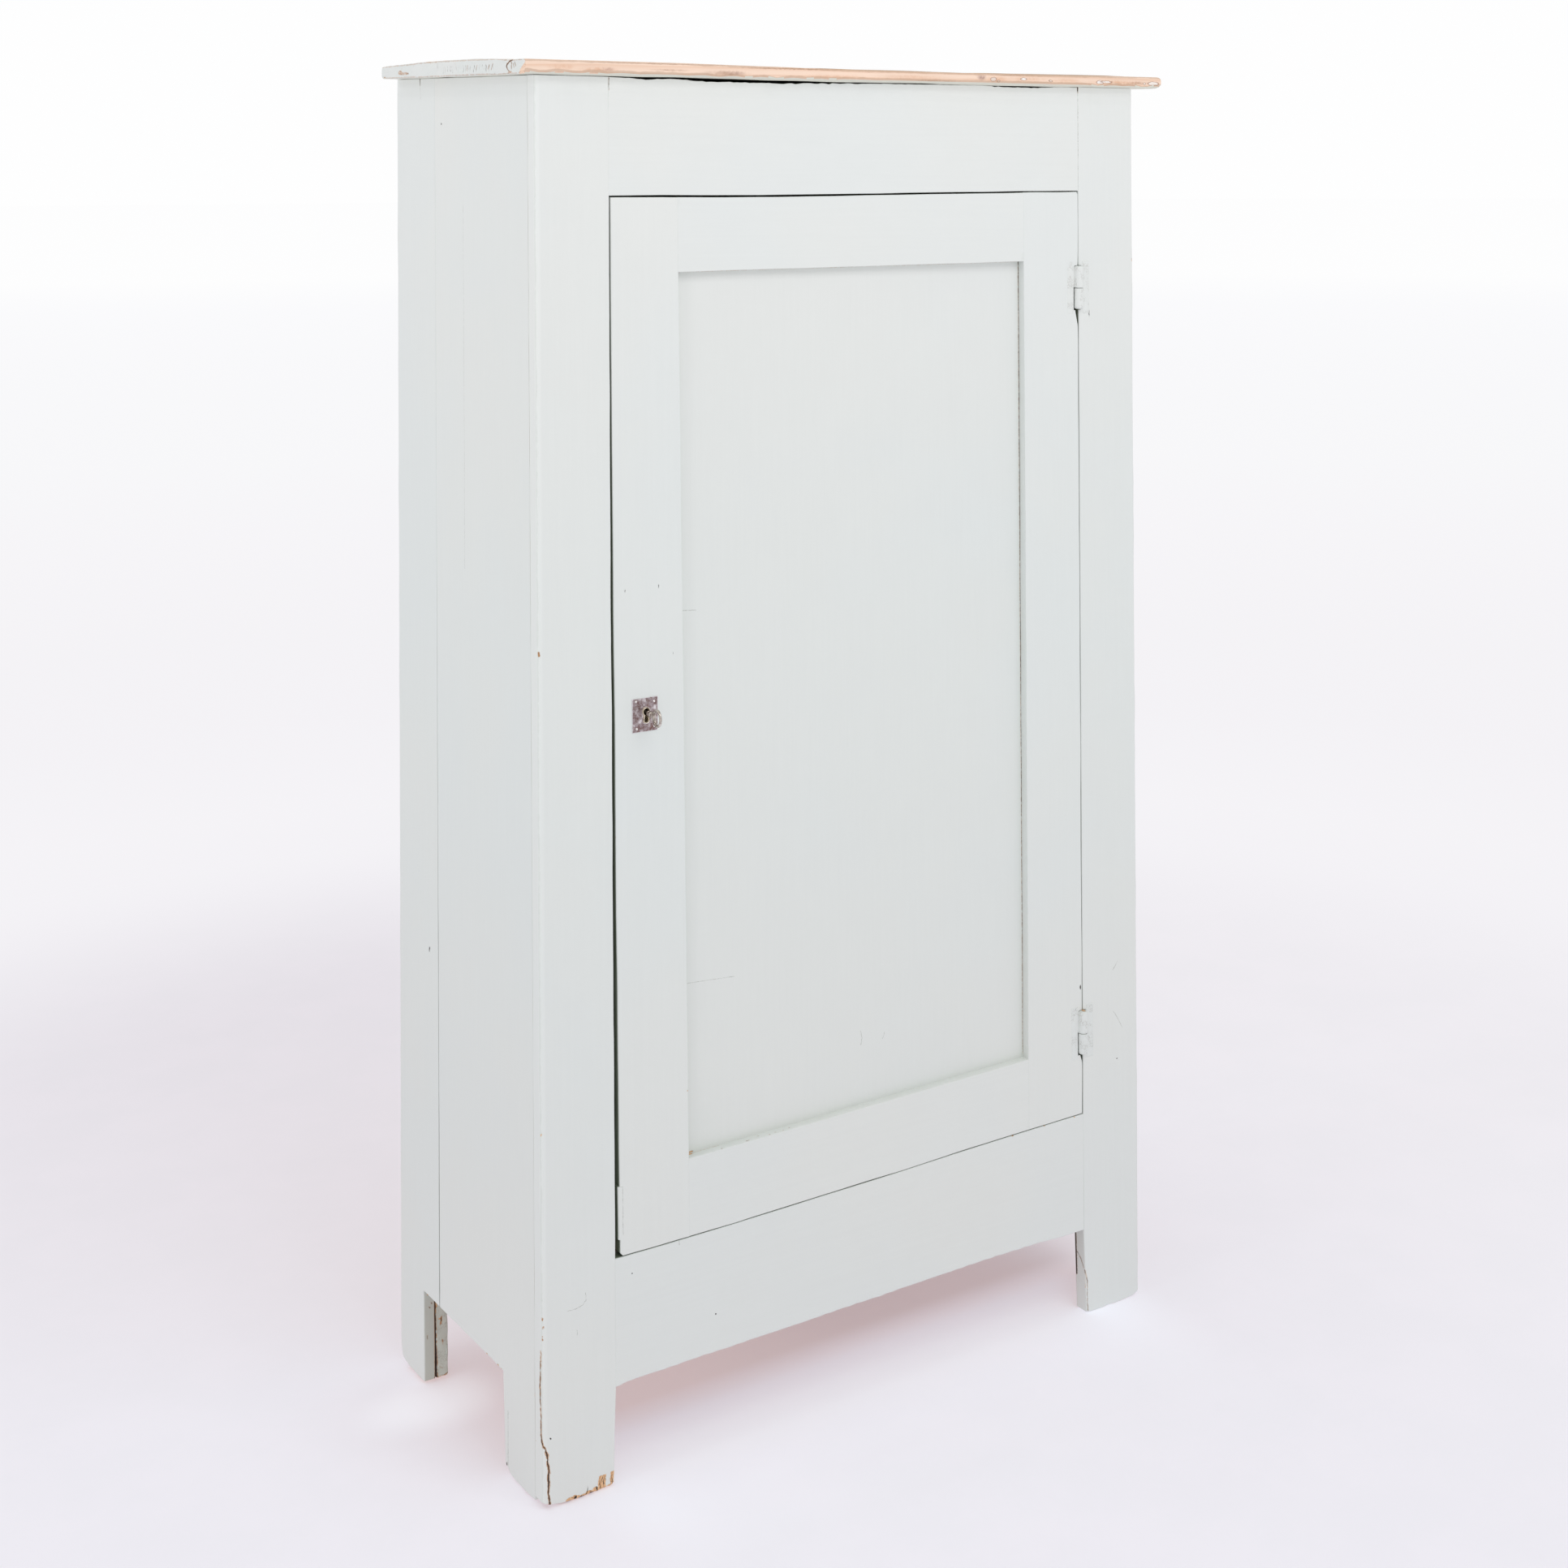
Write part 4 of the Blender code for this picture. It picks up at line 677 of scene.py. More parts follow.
def slab(poly, t, rad, rad_back=None, step=(0.016, 0.016), zones=((), ()),
         holes=(), dent=None, slide=None, seed=0, rows=(0.0, 0.10, 0.5, 0.90, 1.0),
         swell=0.00010, wobble=0.00012, arc=3):
    """A sawn board with rounded, slightly uneven arrises.

    poly: rectilinear outline in (u, v), anticlockwise; rad: arris radius per
    outline edge, or (in-plane, depth); t: outer and inner face.  Returns points
    (u, v, t), quads, edge distance, and each quad's region 0 front 1 rim 2 back.
    """
    n = len(poly)
    rad = [pair(r) for r in (rad if isinstance(rad, (list,)) else [rad] * n)]
    rb = rad if rad_back is None else [
        pair(r) for r in (rad_back if isinstance(rad_back, list) else [rad_back] * n)]
    segs = []
    for i in range(n):
        segs.append((poly[i], poly[(i + 1) % n], rad[i], rb[i]))
    small = (0.0004, 0.0004)
    for h in holes:
        (a, b), (c, d) = h
        q = [(a, b), (a, d), (c, d), (c, b)]
        for i in range(4):
            segs.append((q[i], q[(i + 1) % 4], small, small))
    hard_u = [p[0] for s in segs for p in s[:2]]
    hard_v = [p[1] for s in segs for p in s[:2]]
    ring_u, ring_v = [], []
    for (p, q, r1, r2) in segs:
        rr = max(r1[0], r2[0])
        offs = [rr * (1 - math.sin(math.pi / 2 * k / arc)) for k in range(arc)]
        offs += [rr + max(0.0005, rr * 0.25)]
        vertical = abs(p[0] - q[0]) < 1e-9
        if vertical:
            s = -1 if q[1] > p[1] else 1
            ring_u += [p[0] + s * o for o in offs if o > 1e-6]
        else:
            s = 1 if q[0] > p[0] else -1
            ring_v += [p[1] + s * o for o in offs if o > 1e-6]
    us = grid_lines(hard_u, ring_u, step[0], zones[0])
    vs = grid_lines(hard_v, ring_v, step[1], zones[1])
    cu, cv = (us[:-1] + us[1:]) / 2, (vs[:-1] + vs[1:]) / 2
    CU, CV = np.meshgrid(cu, cv, indexing="ij")
    inside = np.zeros(CU.shape, bool)
    for i in range(n):
        (a, b), (c, d) = poly[i], poly[(i + 1) % n]
        if abs(a - c) < 1e-9:
            inside ^= (CU < a) & (CV > min(b, d)) & (CV < max(b, d))
    for (a, b), (c, d) in holes:
        inside &= ~((CU > a) & (CU < c) & (CV > b) & (CV < d))
    nu, nv = len(us), len(vs)
    used = np.zeros((nu, nv), bool)
    for di in (0, 1):
        for dj in (0, 1):
            used[di:nu - 1 + di, dj:nv - 1 + dj] |= inside
    vid = -np.ones((nu, nv), int)
    vid[used] = np.arange(used.sum())
    N = int(used.sum())
    UU, VV = np.meshgrid(us, vs, indexing="ij")
    u, v = UU[used], VV[used]
    # distance to each outline edge, and the arris depth on both faces
    dist = np.full(N, 1e9)
    df, db = np.zeros(N), np.zeros(N)
    uneven = 1 + 0.28 * wander(np.stack([u, v], 1), seed + 11, 0.055, 1.0)
    uneven = np.clip(uneven, 0.45, 1.0)
    for (p, q, r1, r2) in segs:
        p, q = np.array(p), np.array(q)
        e = q - p
        h = np.clip(((u - p[0]) * e[0] + (v - p[1]) * e[1]) / (e @ e), 0, 1)
        d = np.hypot(u - p[0] - e[0] * h, v - p[1] - e[1] * h)
        dist = np.minimum(dist, d)
        for r, acc in ((r1, df), (r2, db)):
            ri, rd = r[0] * uneven, r[1] * uneven
            s = np.clip((ri - d) / np.maximum(ri, 1e-9), 0, 1)
            acc[:] = np.maximum(acc, rd * (1 - np.sqrt(np.clip(1 - s * s, 0, 1))))
    sgn = 1.0 if t[1] > t[0] else -1.0
    thick = abs(t[1] - t[0])
    if dent is not None:
        df = np.maximum(df, np.minimum(dent(u, v), thick * 0.6))
    surf = wander(np.stack([u, v], 1), seed + 5, 0.16, swell)
    inner = np.clip(dist / 0.02, 0, 1)
    tf = t[0] + sgn * (df + surf * inner)
    tb = t[1] - sgn * (db + surf * inner)
    pts = [np.stack([u, v, tf], 1), np.stack([u, v, tb], 1)]
    edge = [dist, dist]
    faces, region = [], []
    I, J = np.nonzero(inside)
    a, b, c, d = vid[I, J], vid[I + 1, J], vid[I + 1, J + 1], vid[I, J + 1]
    faces += np.stack([a, b, c, d], 1).tolist()
    region += [0] * len(I)
    faces += (np.stack([a, d, c, b], 1) + N).tolist()
    region += [2] * len(I)
    pad = np.zeros((nu + 1, nv + 1), bool)
    pad[1:nu, 1:nv] = inside
    rim_pairs = []
    for i, j in zip(I, J):
        if not pad[i + 1, j]:
            rim_pairs.append((vid[i, j], vid[i + 1, j]))
        if not pad[i + 2, j + 1]:
            rim_pairs.append((vid[i + 1, j], vid[i + 1, j + 1]))
        if not pad[i + 1, j + 2]:
            rim_pairs.append((vid[i + 1, j + 1], vid[i, j + 1]))
        if not pad[i, j + 1]:
            rim_pairs.append((vid[i, j + 1], vid[i, j]))
    rim_v = sorted(set(x for p in rim_pairs for x in p))
    where = {x: k for k, x in enumerate(rim_v)}
    rim_v = np.array(rim_v)
    mids = [r for r in rows if 0 < r < 1]
    for k, r in enumerate(mids):
        tm = tf[rim_v] + (tb[rim_v] - tf[rim_v]) * r
        pts.append(np.stack([u[rim_v], v[rim_v], tm], 1))
        edge.append(np.minimum(np.abs(tm - tf[rim_v]), np.abs(tb[rim_v] - tm)))
    M = len(rim_v)

    def ring(level, x):
        if level == 0:
            return x
        if level == len(mids) + 1:
            return x + N
        return 2 * N + (level - 1) * M + where[x]

    for x, y in rim_pairs:
        for level in range(len(mids) + 1):
            faces.append([ring(level, y), ring(level, x), ring(level + 1, x),
                          ring(level + 1, y)])
            region.append(1)
    P = np.concatenate(pts)
    E = np.concatenate(edge)
    P[:, 0] += wander(P[:, :2], seed + 21, 0.11, wobble)
    P[:, 1] += wander(P[:, :2], seed + 22, 0.11, wobble)
    if slide is not None:
        s = slide(P[:, 0], P[:, 1], P[:, 2])
        P = P + np.stack(s, 1)
    return P, faces, E, np.array(region)


ORDER = {"Y": (0, 2, 1), "X": (1, 2, 0), "Z": (0, 1, 2)}


def to_local(axis, P):
    """(u, v, t) to local X, Y, Z.  Y: u=X v=Z t=Y.  X: u=Y v=Z t=X.  Z: as is."""
    L = np.zeros_like(P)
    for i, k in enumerate(ORDER[axis]):
        L[:, k] = P[:, i]
    return L


ALL_PIECES = []


def make(name, body, slot_name, replaced, L, faces, mats, edge=None, region=None,
         grime=None, angle=40, warp=True, shade=None):
    world = (sag(L) if warp else L) + O
    vol = 0.0
    F = faces
    tri = np.array([[f[0], f[i], f[i + 1]] for f in F for i in range(1, len(f) - 1)])
    c = world.mean(0)
    A, B, C = (world[tri[:, k]] - c for k in range(3))
    vol = np.einsum("ij,ij->i", A, np.cross(B, C)).sum()
    if vol < 0:
        F = [list(reversed(f)) for f in F]
    me = bpy.data.meshes.new(name)
    me.from_pydata(world.tolist(), [], F)
    me.validate()
    a = me.attributes.new("rest", "FLOAT_VECTOR", "POINT")
    a.data.foreach_set("vector", L.astype(np.float32).ravel())
    e = edge if edge is not None else np.full(len(L), 0.02)
    a = me.attributes.new("edge", "FLOAT", "POINT")
    a.data.foreach_set("value", e.astype(np.float32))
    g = grime if grime is not None else np.zeros(len(L))
    a = me.attributes.new("grime", "FLOAT", "POINT")
    a.data.foreach_set("value", np.clip(g, 0, 1).astype(np.float32))
    sh = shade if shade is not None else np.zeros(len(L))
    a = me.attributes.new("shade", "FLOAT", "POINT")
    a.data.foreach_set("value", np.clip(sh, 0, 1).astype(np.float32))
    mats = mats if isinstance(mats, (list, tuple)) else [mats]
    slots = []
    for m in mats:
        if m not in slots:
            slots.append(m)
            me.materials.append(m)
    if region is not None and len(slots) > 1:
        idx = np.array([slots.index(m) for m in mats])[region]
        me.polygons.foreach_set("material_index", idx.astype(np.int32))
    me.shade_smooth()
    me.set_sharp_from_angle(angle=math.radians(angle))
    o = bpy.data.objects.new(name, me)
    bpy.context.scene.collection.objects.link(o)
    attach(o, body)
    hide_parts(*replaced)
    ALL_PIECES.append(o)
    return o


def rect(a0, a1, b0, b1):
    return [(a0, b0), (a1, b0), (a1, b1), (a0, b1)]


def board(node, axis, poly, t, rad, mats, slot_name=PAINT_SLOT, body="carcass",
          grime=None, pick=None, angle=40, name=None, also=(), shade=None, **kw):
    """A detailed board that stands for one CAD node."""
    P, F, E, R = slab(poly, t, rad, **kw)
    L = to_local(axis, P)
    g = grime(L) if grime is not None else None
    sh = shade(L) if shade is not None else None
    if pick is not None:
        cen = np.array([L[f].mean(0) for f in F])
        R = pick(cen, R)
    return make(name or node + "_detail", body, slot_name, [node, *also], L, F, mats,
                E, R, g, angle, shade=sh)


def lathe(profile, centre, axis, segs=40):
    """Closed solid of revolution. profile: (radius, along), from end to end."""
    pts, faces, edge = [], [], []
    rows = []
    for r, s in profile:
        if r < 1e-7:
            rows.append([len(pts)])
            pts.append((0, 0, s))
        else:
            row = []
            for k in range(segs):
                a = 2 * math.pi * k / segs
                row.append(len(pts))
                pts.append((r * math.cos(a), r * math.sin(a), s))
            rows.append(row)
    for r0, r1 in zip(rows, rows[1:]):
        for k in range(segs):
            k2 = (k + 1) % segs
            if len(r0) == 1 and len(r1) == 1:
                continue
            if len(r0) == 1:
                faces.append([r0[0], r1[k], r1[k2]])
            elif len(r1) == 1:
                faces.append([r0[k], r0[k2], r1[0]])
            else:
                faces.append([r0[k], r0[k2], r1[k2], r1[k]])
    P = np.array(pts, float)
    if axis == "Y":
        P = P[:, [0, 2, 1]]
    elif axis == "X":
        P = P[:, [2, 0, 1]]
    return P + np.array(centre), faces


def merge(*parts):
    """Joins (points, faces) shells, each turned outwards first."""
    P, F = [], []
    n = 0
    for p, f in parts:
        p = np.asarray(p, float)
        tri = np.array([[q[0], q[i], q[i + 1]] for q in f
                        for i in range(1, len(q) - 1)])
        c = p.mean(0)
        A, B, C = (p[tri[:, k]] - c for k in range(3))
        if np.einsum("ij,ij->i", A, np.cross(B, C)).sum() < 0:
            f = [list(reversed(q)) for q in f]
        P.append(p)
        F += [[x + n for x in q] for q in f]
        n += len(p)
    return np.concatenate(P), F


# ---------------------------------------------------------------------------
# Materials in use
# ---------------------------------------------------------------------------
PINE_IN = [pine(f"bare_pine_{k}", g, k, early=(0.640, 0.400, 0.205),
                late=(0.400, 0.195, 0.078), grey=0.30, saw=0.5)
           for k, g in enumerate(("X", "Z", "Y", "X", "Z"))]
CORNER_CRACK = [(0.0, 0.0046, 0.192, 0.00025), (0.0, 0.0050, 0.170, 0.00070),
                (0.0, 0.0064, 0.152, 0.00080), (0.0, 0.0066, 0.140, 0.00095),
                (0.0, 0.0056, 0.110, 0.00085), (0.0, 0.0046, 0.0900, 0.00090),
                (0.0, 0.0044, 0.0800, 0.00095), (0.0006, 0.0020, 0.0762, 0.00075),
                (0.0016, 0.0006, 0.0750, 0.00060),
                (0.0042, 0.0, 0.0728, 0.00055)]
FOOT_CRACK = [(0.0024, 0.0745, 0.00050), (0.0043, 0.0725, 0.00055),
              (0.0056, 0.0612, 0.00060), (0.0070, 0.0490, 0.00080),
              (0.0079, 0.0430, 0.00130), (0.0078, 0.0310, 0.00095),
              (0.0067, 0.0192, 0.00070), (0.0080, 0.0110, 0.00080),
              (0.0098, 0.0000, 0.00110)]


LEG_Y = 0.3520
UNDER = hi("front_stile_left")[2]
CORNER_LIGHT = 0.045


def near_line(u, v, pts):
    best = np.full(len(u), 1e9)
    for a, b in zip(pts, pts[1:]):
        p, q = np.array(a[:2]), np.array(b[:2])
        e = q - p
        h = np.clip(((u - p[0]) * e[0] + (v - p[1]) * e[1]) / (e @ e), 0, 1)
        d = np.hypot(u - p[0] - e[0] * h, v - p[1] - e[1] * h)
        w = a[2] + (b[2] - a[2]) * h
        best = np.minimum(best, d - w)
    return best


M_STILE_L = paint("painted_stile_left", "Z", "y", 1,
                  spots=[(0.0003, 0.0006, 1.0464, 0.0016, 0.0016, 0.0030),
                         (0.0003, 0.0008, 0.4570, 0.0013, 0.0014, 0.0022),
                         (0.0008, 0.0004, 0.2616, 0.0009, 0.0012, 0.0011),
                         (0.0008, 0.0004, 0.2526, 0.0007, 0.0010, 0.0009)],
                  deep_cracks=[CORNER_CRACK,
                               [(0.0006, 0.0006, 1.0485, 0.0005), (0.0006, 0.0006, 1.0450, 0.0005)],
                               [(0.0007, 0.0006, 0.2320, 0.0003), (0.0007, 0.0006, 0.2305, 0.0003)],
                               [(0.0006, 0.0006, 0.2215, 0.0003), (0.0006, 0.0006, 0.2200, 0.0003)],
                               [(0.0005, 0.0006, 0.2085, 0.0003), (0.0004, 0.0008, 0.2050, 0.0003)]],
                  patches=[(0.0822, 0.0080, 0.0050, 0.0108), (0.0965, 0.0105, 0.0022, 0.0082)],
                  chips=[(0.0790, 0.0010, 0.0100, 0.0050), (0.0905, 0.0005, 0.0075, 0.0034),
                         (0.0400, 0.0014, 0.0090, 0.0040), (0.0560, 0.0008, 0.0050, 0.0028),
                         (0.0640, 0.0016, 0.0060, 0.0040), (0.0720, 0.0030, 0.0038, 0.0052),
                         (0.0480, 0.0010, 0.0040, 0.0030)],
                  pits=[(0.0102, 0.0827, 0.0007, 0.0009), (0.0800, 0.0060, 0.0003, 0.0042),
                        (0.0845, 0.0110, 0.0003, 0.0035), (0.0822, 0.0140, 0.0003, 0.0030),
                        (0.0606, 0.0060, 0.0003, 0.0040), (0.0970, 0.0060, 0.0003, 0.0030),
                        (0.0445, 0.0026, 0.0020, 0.0014), (0.0350, 0.0006, 0.0040, 0.0014),
                        (0.0745, 0.0045, 0.0010, 0.0026), (0.0665, 0.0016, 0.0026, 0.0016),
                        (0.0540, 0.0006, 0.0040, 0.0012), (0.0880, 0.0004, 0.0060, 0.0010),
                        (0.0610, 0.0050, 0.0006, 0.0030), (0.0770, 0.0006, 0.0030, 0.0014),
                        (0.0100, 0.0030, 0.0060, 0.0014), (0.0240, 0.0010, 0.0080, 0.0010)],
                  cracks=[FOOT_CRACK],
                  marks=[([(0.0360, 0.2318), (0.0570, 0.2332), (0.0604, 0.2380),
                           (0.0604, 0.2470)], 0.00014),
                         ([(0.0480, 0.205), (0.0485, 0.198)], 0.0002)],
                  worn=0.75, foot=0.75, corner=CORNER_LIGHT, crooked=0.0060,
                  relief=False)
M_STILE_R = paint("painted_stile_right", "Z", "y", 2,
                  spots=[(W - 0.0004, 0.0, 1.5104, 0.0012, 0.0014, 0.0028)],
                  pits=[(0.9328, 0.3511, 0.0009, 0.0007),
                        (0.8885, 1.4355, 0.0004, 0.0036)],
                  marks=[([(0.9260, 0.4807), (0.9354, 0.4918)], 0.00018),
                         ([(0.9271, 0.4205), (0.9350, 0.4090), (0.9440, 0.3935)], 0.00012),
                         ([(0.8691, 1.7540), (0.8694, 1.7300), (0.8688, 1.6130)], 0.00014)],
                  cracks=[[(0.8690, 1.7610, 0.0012), (0.8692, 1.7540, 0.0002)]],
                  deep_cracks=[[(STILE_IN_R, FRAME_T, 0.122, 0.0034),
                                (STILE_IN_R + 0.002, FRAME_T, 0.052, 0.0034)],
                               [(STILE_IN_R + 0.0008, FRAME_T * 0.92, 0.0820, 0.0003),
                                (STILE_IN_R + 0.0012, FRAME_T * 0.74, 0.0815, 0.0004),
                                (STILE_IN_R + 0.0012, FRAME_T * 0.45, 0.0760, 0.0004),
                                (STILE_IN_R + 0.0022, 0.0006, 0.0600, 0.00035),
                                (STILE_IN_R + 0.0056, 0.0, 0.0460, 0.00030),
                                (STILE_IN_R + 0.0056, 0.0, 0.0220, 0.00020),
                                (STILE_IN_R + 0.0066, 0.0, 0.0030, 0.00026)]],
                  worn=0.6, foot=0.45, halo=0.45)
M_FRIEZE = paint("painted_frieze", "X", "y", 3, worn=0.35,
                 cracks=[[(0.1036, 1.7600, 0.0003), (0.1036, 1.7450, 0.00012)],
                         [(0.8688, 1.7610, 0.0010), (0.8690, 1.7540, 0.0002)]], halo=0.3)
M_RAIL = paint("painted_rail", "X", "y", 4,
               chips=[(0.7396, RAIL_Z1 - 0.0008, 0.0022, 0.0012),
                      (0.7970, RAIL_Z1 - 0.0006, 0.0014, 0.0010),
                      (0.8525, RAIL_Z1 - 0.0010, 0.0012, 0.0009)],
               pits=[(0.1269, 0.2540, 0.0008, 0.0008), (0.2497, 0.1692, 0.0009, 0.0008),
                     (0.7396, RAIL_Z1 - 0.0006, 0.0016, 0.0007)],
               marks=[([(0.1956, 0.2770), (0.1958, 0.2720)], 0.0004)], worn=0.55)
# tone 0.972 on the left side boards is painted shade, making them a little darker than the front;
# low lifts their lower part as painted light
M_SIDE_FL = paint("painted_side_wide", "Z", "x", 5,
                  pits=[(0.2799, 1.7006, 0.0010, 0.0012), (0.1000, 0.0101, 0.0010, 0.0022),
                        (0.0985, 0.0055, 0.0008, 0.0012)],
                  marks=[([(0.0959, 0.0765), (0.0963, 0.0420), (0.0966, 0.0087)], 0.0004),
                         ([(0.2120, 1.60), (0.2125, 1.12)], 0.00008)],
                  chips=[(0.1560, ARCH_Z + 0.0008, 0.0022, 0.0010),
                         (0.1240, ARCH_Z + 0.0006, 0.0026, 0.0012),
                         (0.1140, ARCH_Z - 0.0010, 0.0022, 0.0020)],
                  tone=0.972, worn=0.55, foot=0.45, low=0.022)
M_SIDE_RL = paint("painted_side_narrow", "Z", "x", 6,
                  spots=[(0.0065, LEG_Y, 0.1130, 0.0018, 0.004, 0.0014)],
                  dim=(0.755, 0.775, 0.725),
                  # the first line is painted shade in the joint of the outer board and the foot
                  # block; the short ones are cracks
                  edge_cracks_and_joint_shade=[[(0.0166, 0.1200, 0.0007), (0.0166, 0.0700, 0.0010),
                                (0.0168, 0.0300, 0.0013), (0.0170, 0.0000, 0.0020)],
                               [(0.0110, 0.1010, 0.0003), (0.0120, 0.1000, 0.0003)],
                               [(0.0080, 0.0960, 0.0003), (0.0092, 0.0950, 0.0003)],
                               [(0.0050, 0.0600, 0.0002), (0.0052, 0.0560, 0.0002)]],
                  pits=[(0.3301, 0.5882, 0.0009, 0.0034), (0.3285, 0.5905, 0.0006, 0.0016)],
                  cracks=[[(0.3495, 1.7650, 0.0010), (0.3490, 1.7530, 0.0004)]],
                  marks=[([(0.3490, 1.7530), (0.3481, 1.7333)], 0.00014)],
                  tone=0.972, worn=0.6, foot=0.45, halo=0.35, low=0.012)
M_SIDE_R = paint("painted_side_right", "Z", "x", 7, tone=0.99, worn=0.6, foot=0.4,
                 chips=[(0.415, 0.83, 0.0016, 0.0028), (0.120, 1.22, 0.0010, 0.0020)],
                 marks=[([(0.18, 0.92), (0.205, 0.905)], 0.00016)])
M_FOOT = paint("painted_foot_block", "Z", "x", 8, tone=0.84, worn=1.0, foot=1.5,
               crackle=0.45,
               tint=(0.955, 1.0, 0.930),
               # painted shade in the joint of the outer board and the foot block
               edge_cracks_and_joint_shade=[[(0.0162, 0.1200, 0.0009), (0.0162, 0.0700, 0.0012),
                             (0.0163, 0.0300, 0.0016), (0.0164, 0.0000, 0.0026)]],
               spots=[(0.0185, LEG_Y, 0.1050, 0.0022, 0.006, 0.0030),
                      (0.0180, LEG_Y, 0.0960, 0.0016, 0.006, 0.0030),
                      (0.0240, LEG_Y, 0.0770, 0.0024, 0.006, 0.0012)],
               deep_cracks=[[(0.0200, LEG_Y, 0.022, 0.0006), (0.0250, LEG_Y, 0.018, 0.0009)],
                            [(0.0230, LEG_Y, 0.015, 0.0008), (0.0290, LEG_Y, 0.012, 0.0006)],
                            [(0.0200, LEG_Y, 0.010, 0.0007), (0.0240, LEG_Y, 0.007, 0.0009)],
                            [(0.0260, LEG_Y, 0.0785, 0.0005), (0.0250, LEG_Y, 0.0700, 0.0006)],
                            [(0.0270, LEG_Y, 0.1040, 0.0007), (0.0280, LEG_Y, 0.1035, 0.0007)],
                            [(0.0270, LEG_Y, 0.0480, 0.0005), (0.0272, LEG_Y, 0.0440, 0.0005)]])
M_DSTILE_L = paint("painted_door_stile_left", "Z", "y", 9,
                   chips=[(0.2091, 0.4653, 0.0005, 0.0008)],
                   pits=[(0.1221, 1.1135, 0.0003, 0.0015), (0.1709, 1.1147, 0.0003, 0.0016),
                         (0.1913, 1.0267, 0.0002, 0.0008)],
                   marks=[([(FREE_B - 0.0002, 0.3665), (FREE_B + 0.0042, 0.3662)], 0.0002),
                          ([(FREE_B + 0.0036, 0.3660), (FREE_B + 0.0040, 0.3060)], 0.00010)],
                   worn=0.6)
M_DSTILE_R = paint("painted_door_stile_right", "Z", "y", 10, worn=0.5,
                   pits=[(0.8645, 0.4680, 0.0010, 0.0030)])
M_DRAIL_T = paint("painted_door_top_rail", "X", "y", 11, worn=0.5)
M_DRAIL_B = paint("painted_door_bottom_rail", "X", "y", 12, worn=0.6, halo=0.22,
                  deep_cracks=[[(x, y, SILL_L + (SILL_R - SILL_L) * (x - INNER_B)
                                 / (OPEN_X1 - INNER_B) - 0.0002, w),
                                (x + 0.0010, y, SILL_L + (SILL_R - SILL_L)
                                 * (x - INNER_B) / (OPEN_X1 - INNER_B), w)]
                               for x, y, w in ((0.2600, 0.0012, 0.00045),
                                               (0.2990, 0.0020, 0.00050),
                                               (0.3020, 0.0022, 0.00030),
                                               (0.3190, 0.0060, 0.00025),
                                               (0.3340, 0.0016, 0.00030),
                                               (0.3440, 0.0030, 0.00022),
                                               (0.3560, 0.0026, 0.00022),
                                               (0.3660, 0.0040, 0.00022))]
                  + [[(0.2220, 0.0112, SILL_L + 0.0008, 0.0003),
                      (0.2330, 0.0112, SILL_L + 0.0010, 0.00035),
                      (0.2500, 0.0112, SILL_L + 0.0012, 0.0002),
                      (0.2620, 0.0112, SILL_L + 0.0014, 0.0002)]],
                  spots=[(0.2185, 0.0104, SILL_L + 0.0004, 0.0036, 0.0016, 0.0010)])
M_PANEL = paint("painted_panel", "Z", "y", 13, tone=0.993, worn=0.0,
                band=(INNER_B + 0.010, INNER_B + 0.026, 0.974),
                halo=0.5, chips=[(0.2205, 0.3802, 0.0034, 0.0010)],
                marks=[([(0.2080, 1.0772), (0.2337, 1.0749)], 0.00015),
                       ([(0.2090, 0.5978), (0.2883, 0.5923)], 0.00008),
                       ([(0.4875, 0.4801), (0.4900, 0.4700), (0.4880, 0.4610)], 0.00016),
                       ([(0.5277, 0.4700), (0.5240, 0.4620)], 0.00010)],
                cracks=[[(OPEN_X1 - 0.0001, 1.512, 0.00055), (OPEN_X1 - 0.0001, 1.10, 0.00045),
                         (OPEN_X1 - 0.0001, 0.70, 0.00022), (OPEN_X1 - 0.0001, 0.39, 0.00016)],
                        [(0.2125, 0.3925, 0.0003), (0.2150, 0.3870, 0.0005)],
                        [(0.2140, 0.3868, 0.0003), (0.2148, 0.3805, 0.0003)],
                        # the line along the top of the opening is a painted shadow line under the
                        # top rail, not a crack
                        [(0.2080, OPEN_Z1, 0.00005), (OPEN_X1, OPEN_Z1, 0.00015)]])
M_HINGE = paint("painted_hinge", "Z", "y", 14, gloss=0.05, worn=0.4, crackle=0.4,
                chips=[(0.8680, 0.4350, 0.0030, 0.0008)])
M_INNER = pine("inside_pine", "Z", 7, early=(0.620, 0.385, 0.200),
               late=(0.390, 0.190, 0.078), grey=0.28)
M_INNER_X = pine("inside_pine_rail", "X", 8, early=(0.620, 0.385, 0.200),
                 late=(0.390, 0.190, 0.078), grey=0.28)

# ---------------------------------------------------------------------------
# Carcass
# ---------------------------------------------------------------------------
TOP_Z = hi("front_stile_left")[2]
R_CORNER = 0.0036


def leg_in(u, v, left=True):
    """Inner edge of a front leg narrows by about 4 mm at the floor."""
    k = np.clip(1 - v / RAIL_Z0, 0, 1)
    near = np.clip((u - 0.02) / (STILE_IN_L - 0.02), 0, 1)
    return -0.0038 * k * near


def worn_foot(u, v, pairs, seed, deep=0.045, rag=0.0007):
    """How far the bottom edge is worn up."""
    lift = table(u, pairs) * np.clip(1 - v / deep, 0, 1) ** 2
    lift += (np.abs(wander(np.stack([u, v * 0], 1), seed, 0.006, rag))
             + np.abs(wander(np.stack([u, v * 0], 1), seed + 1, 0.0026, rag * 0.5))
             ) * np.clip(1 - v / 0.010, 0, 1)
    return lift


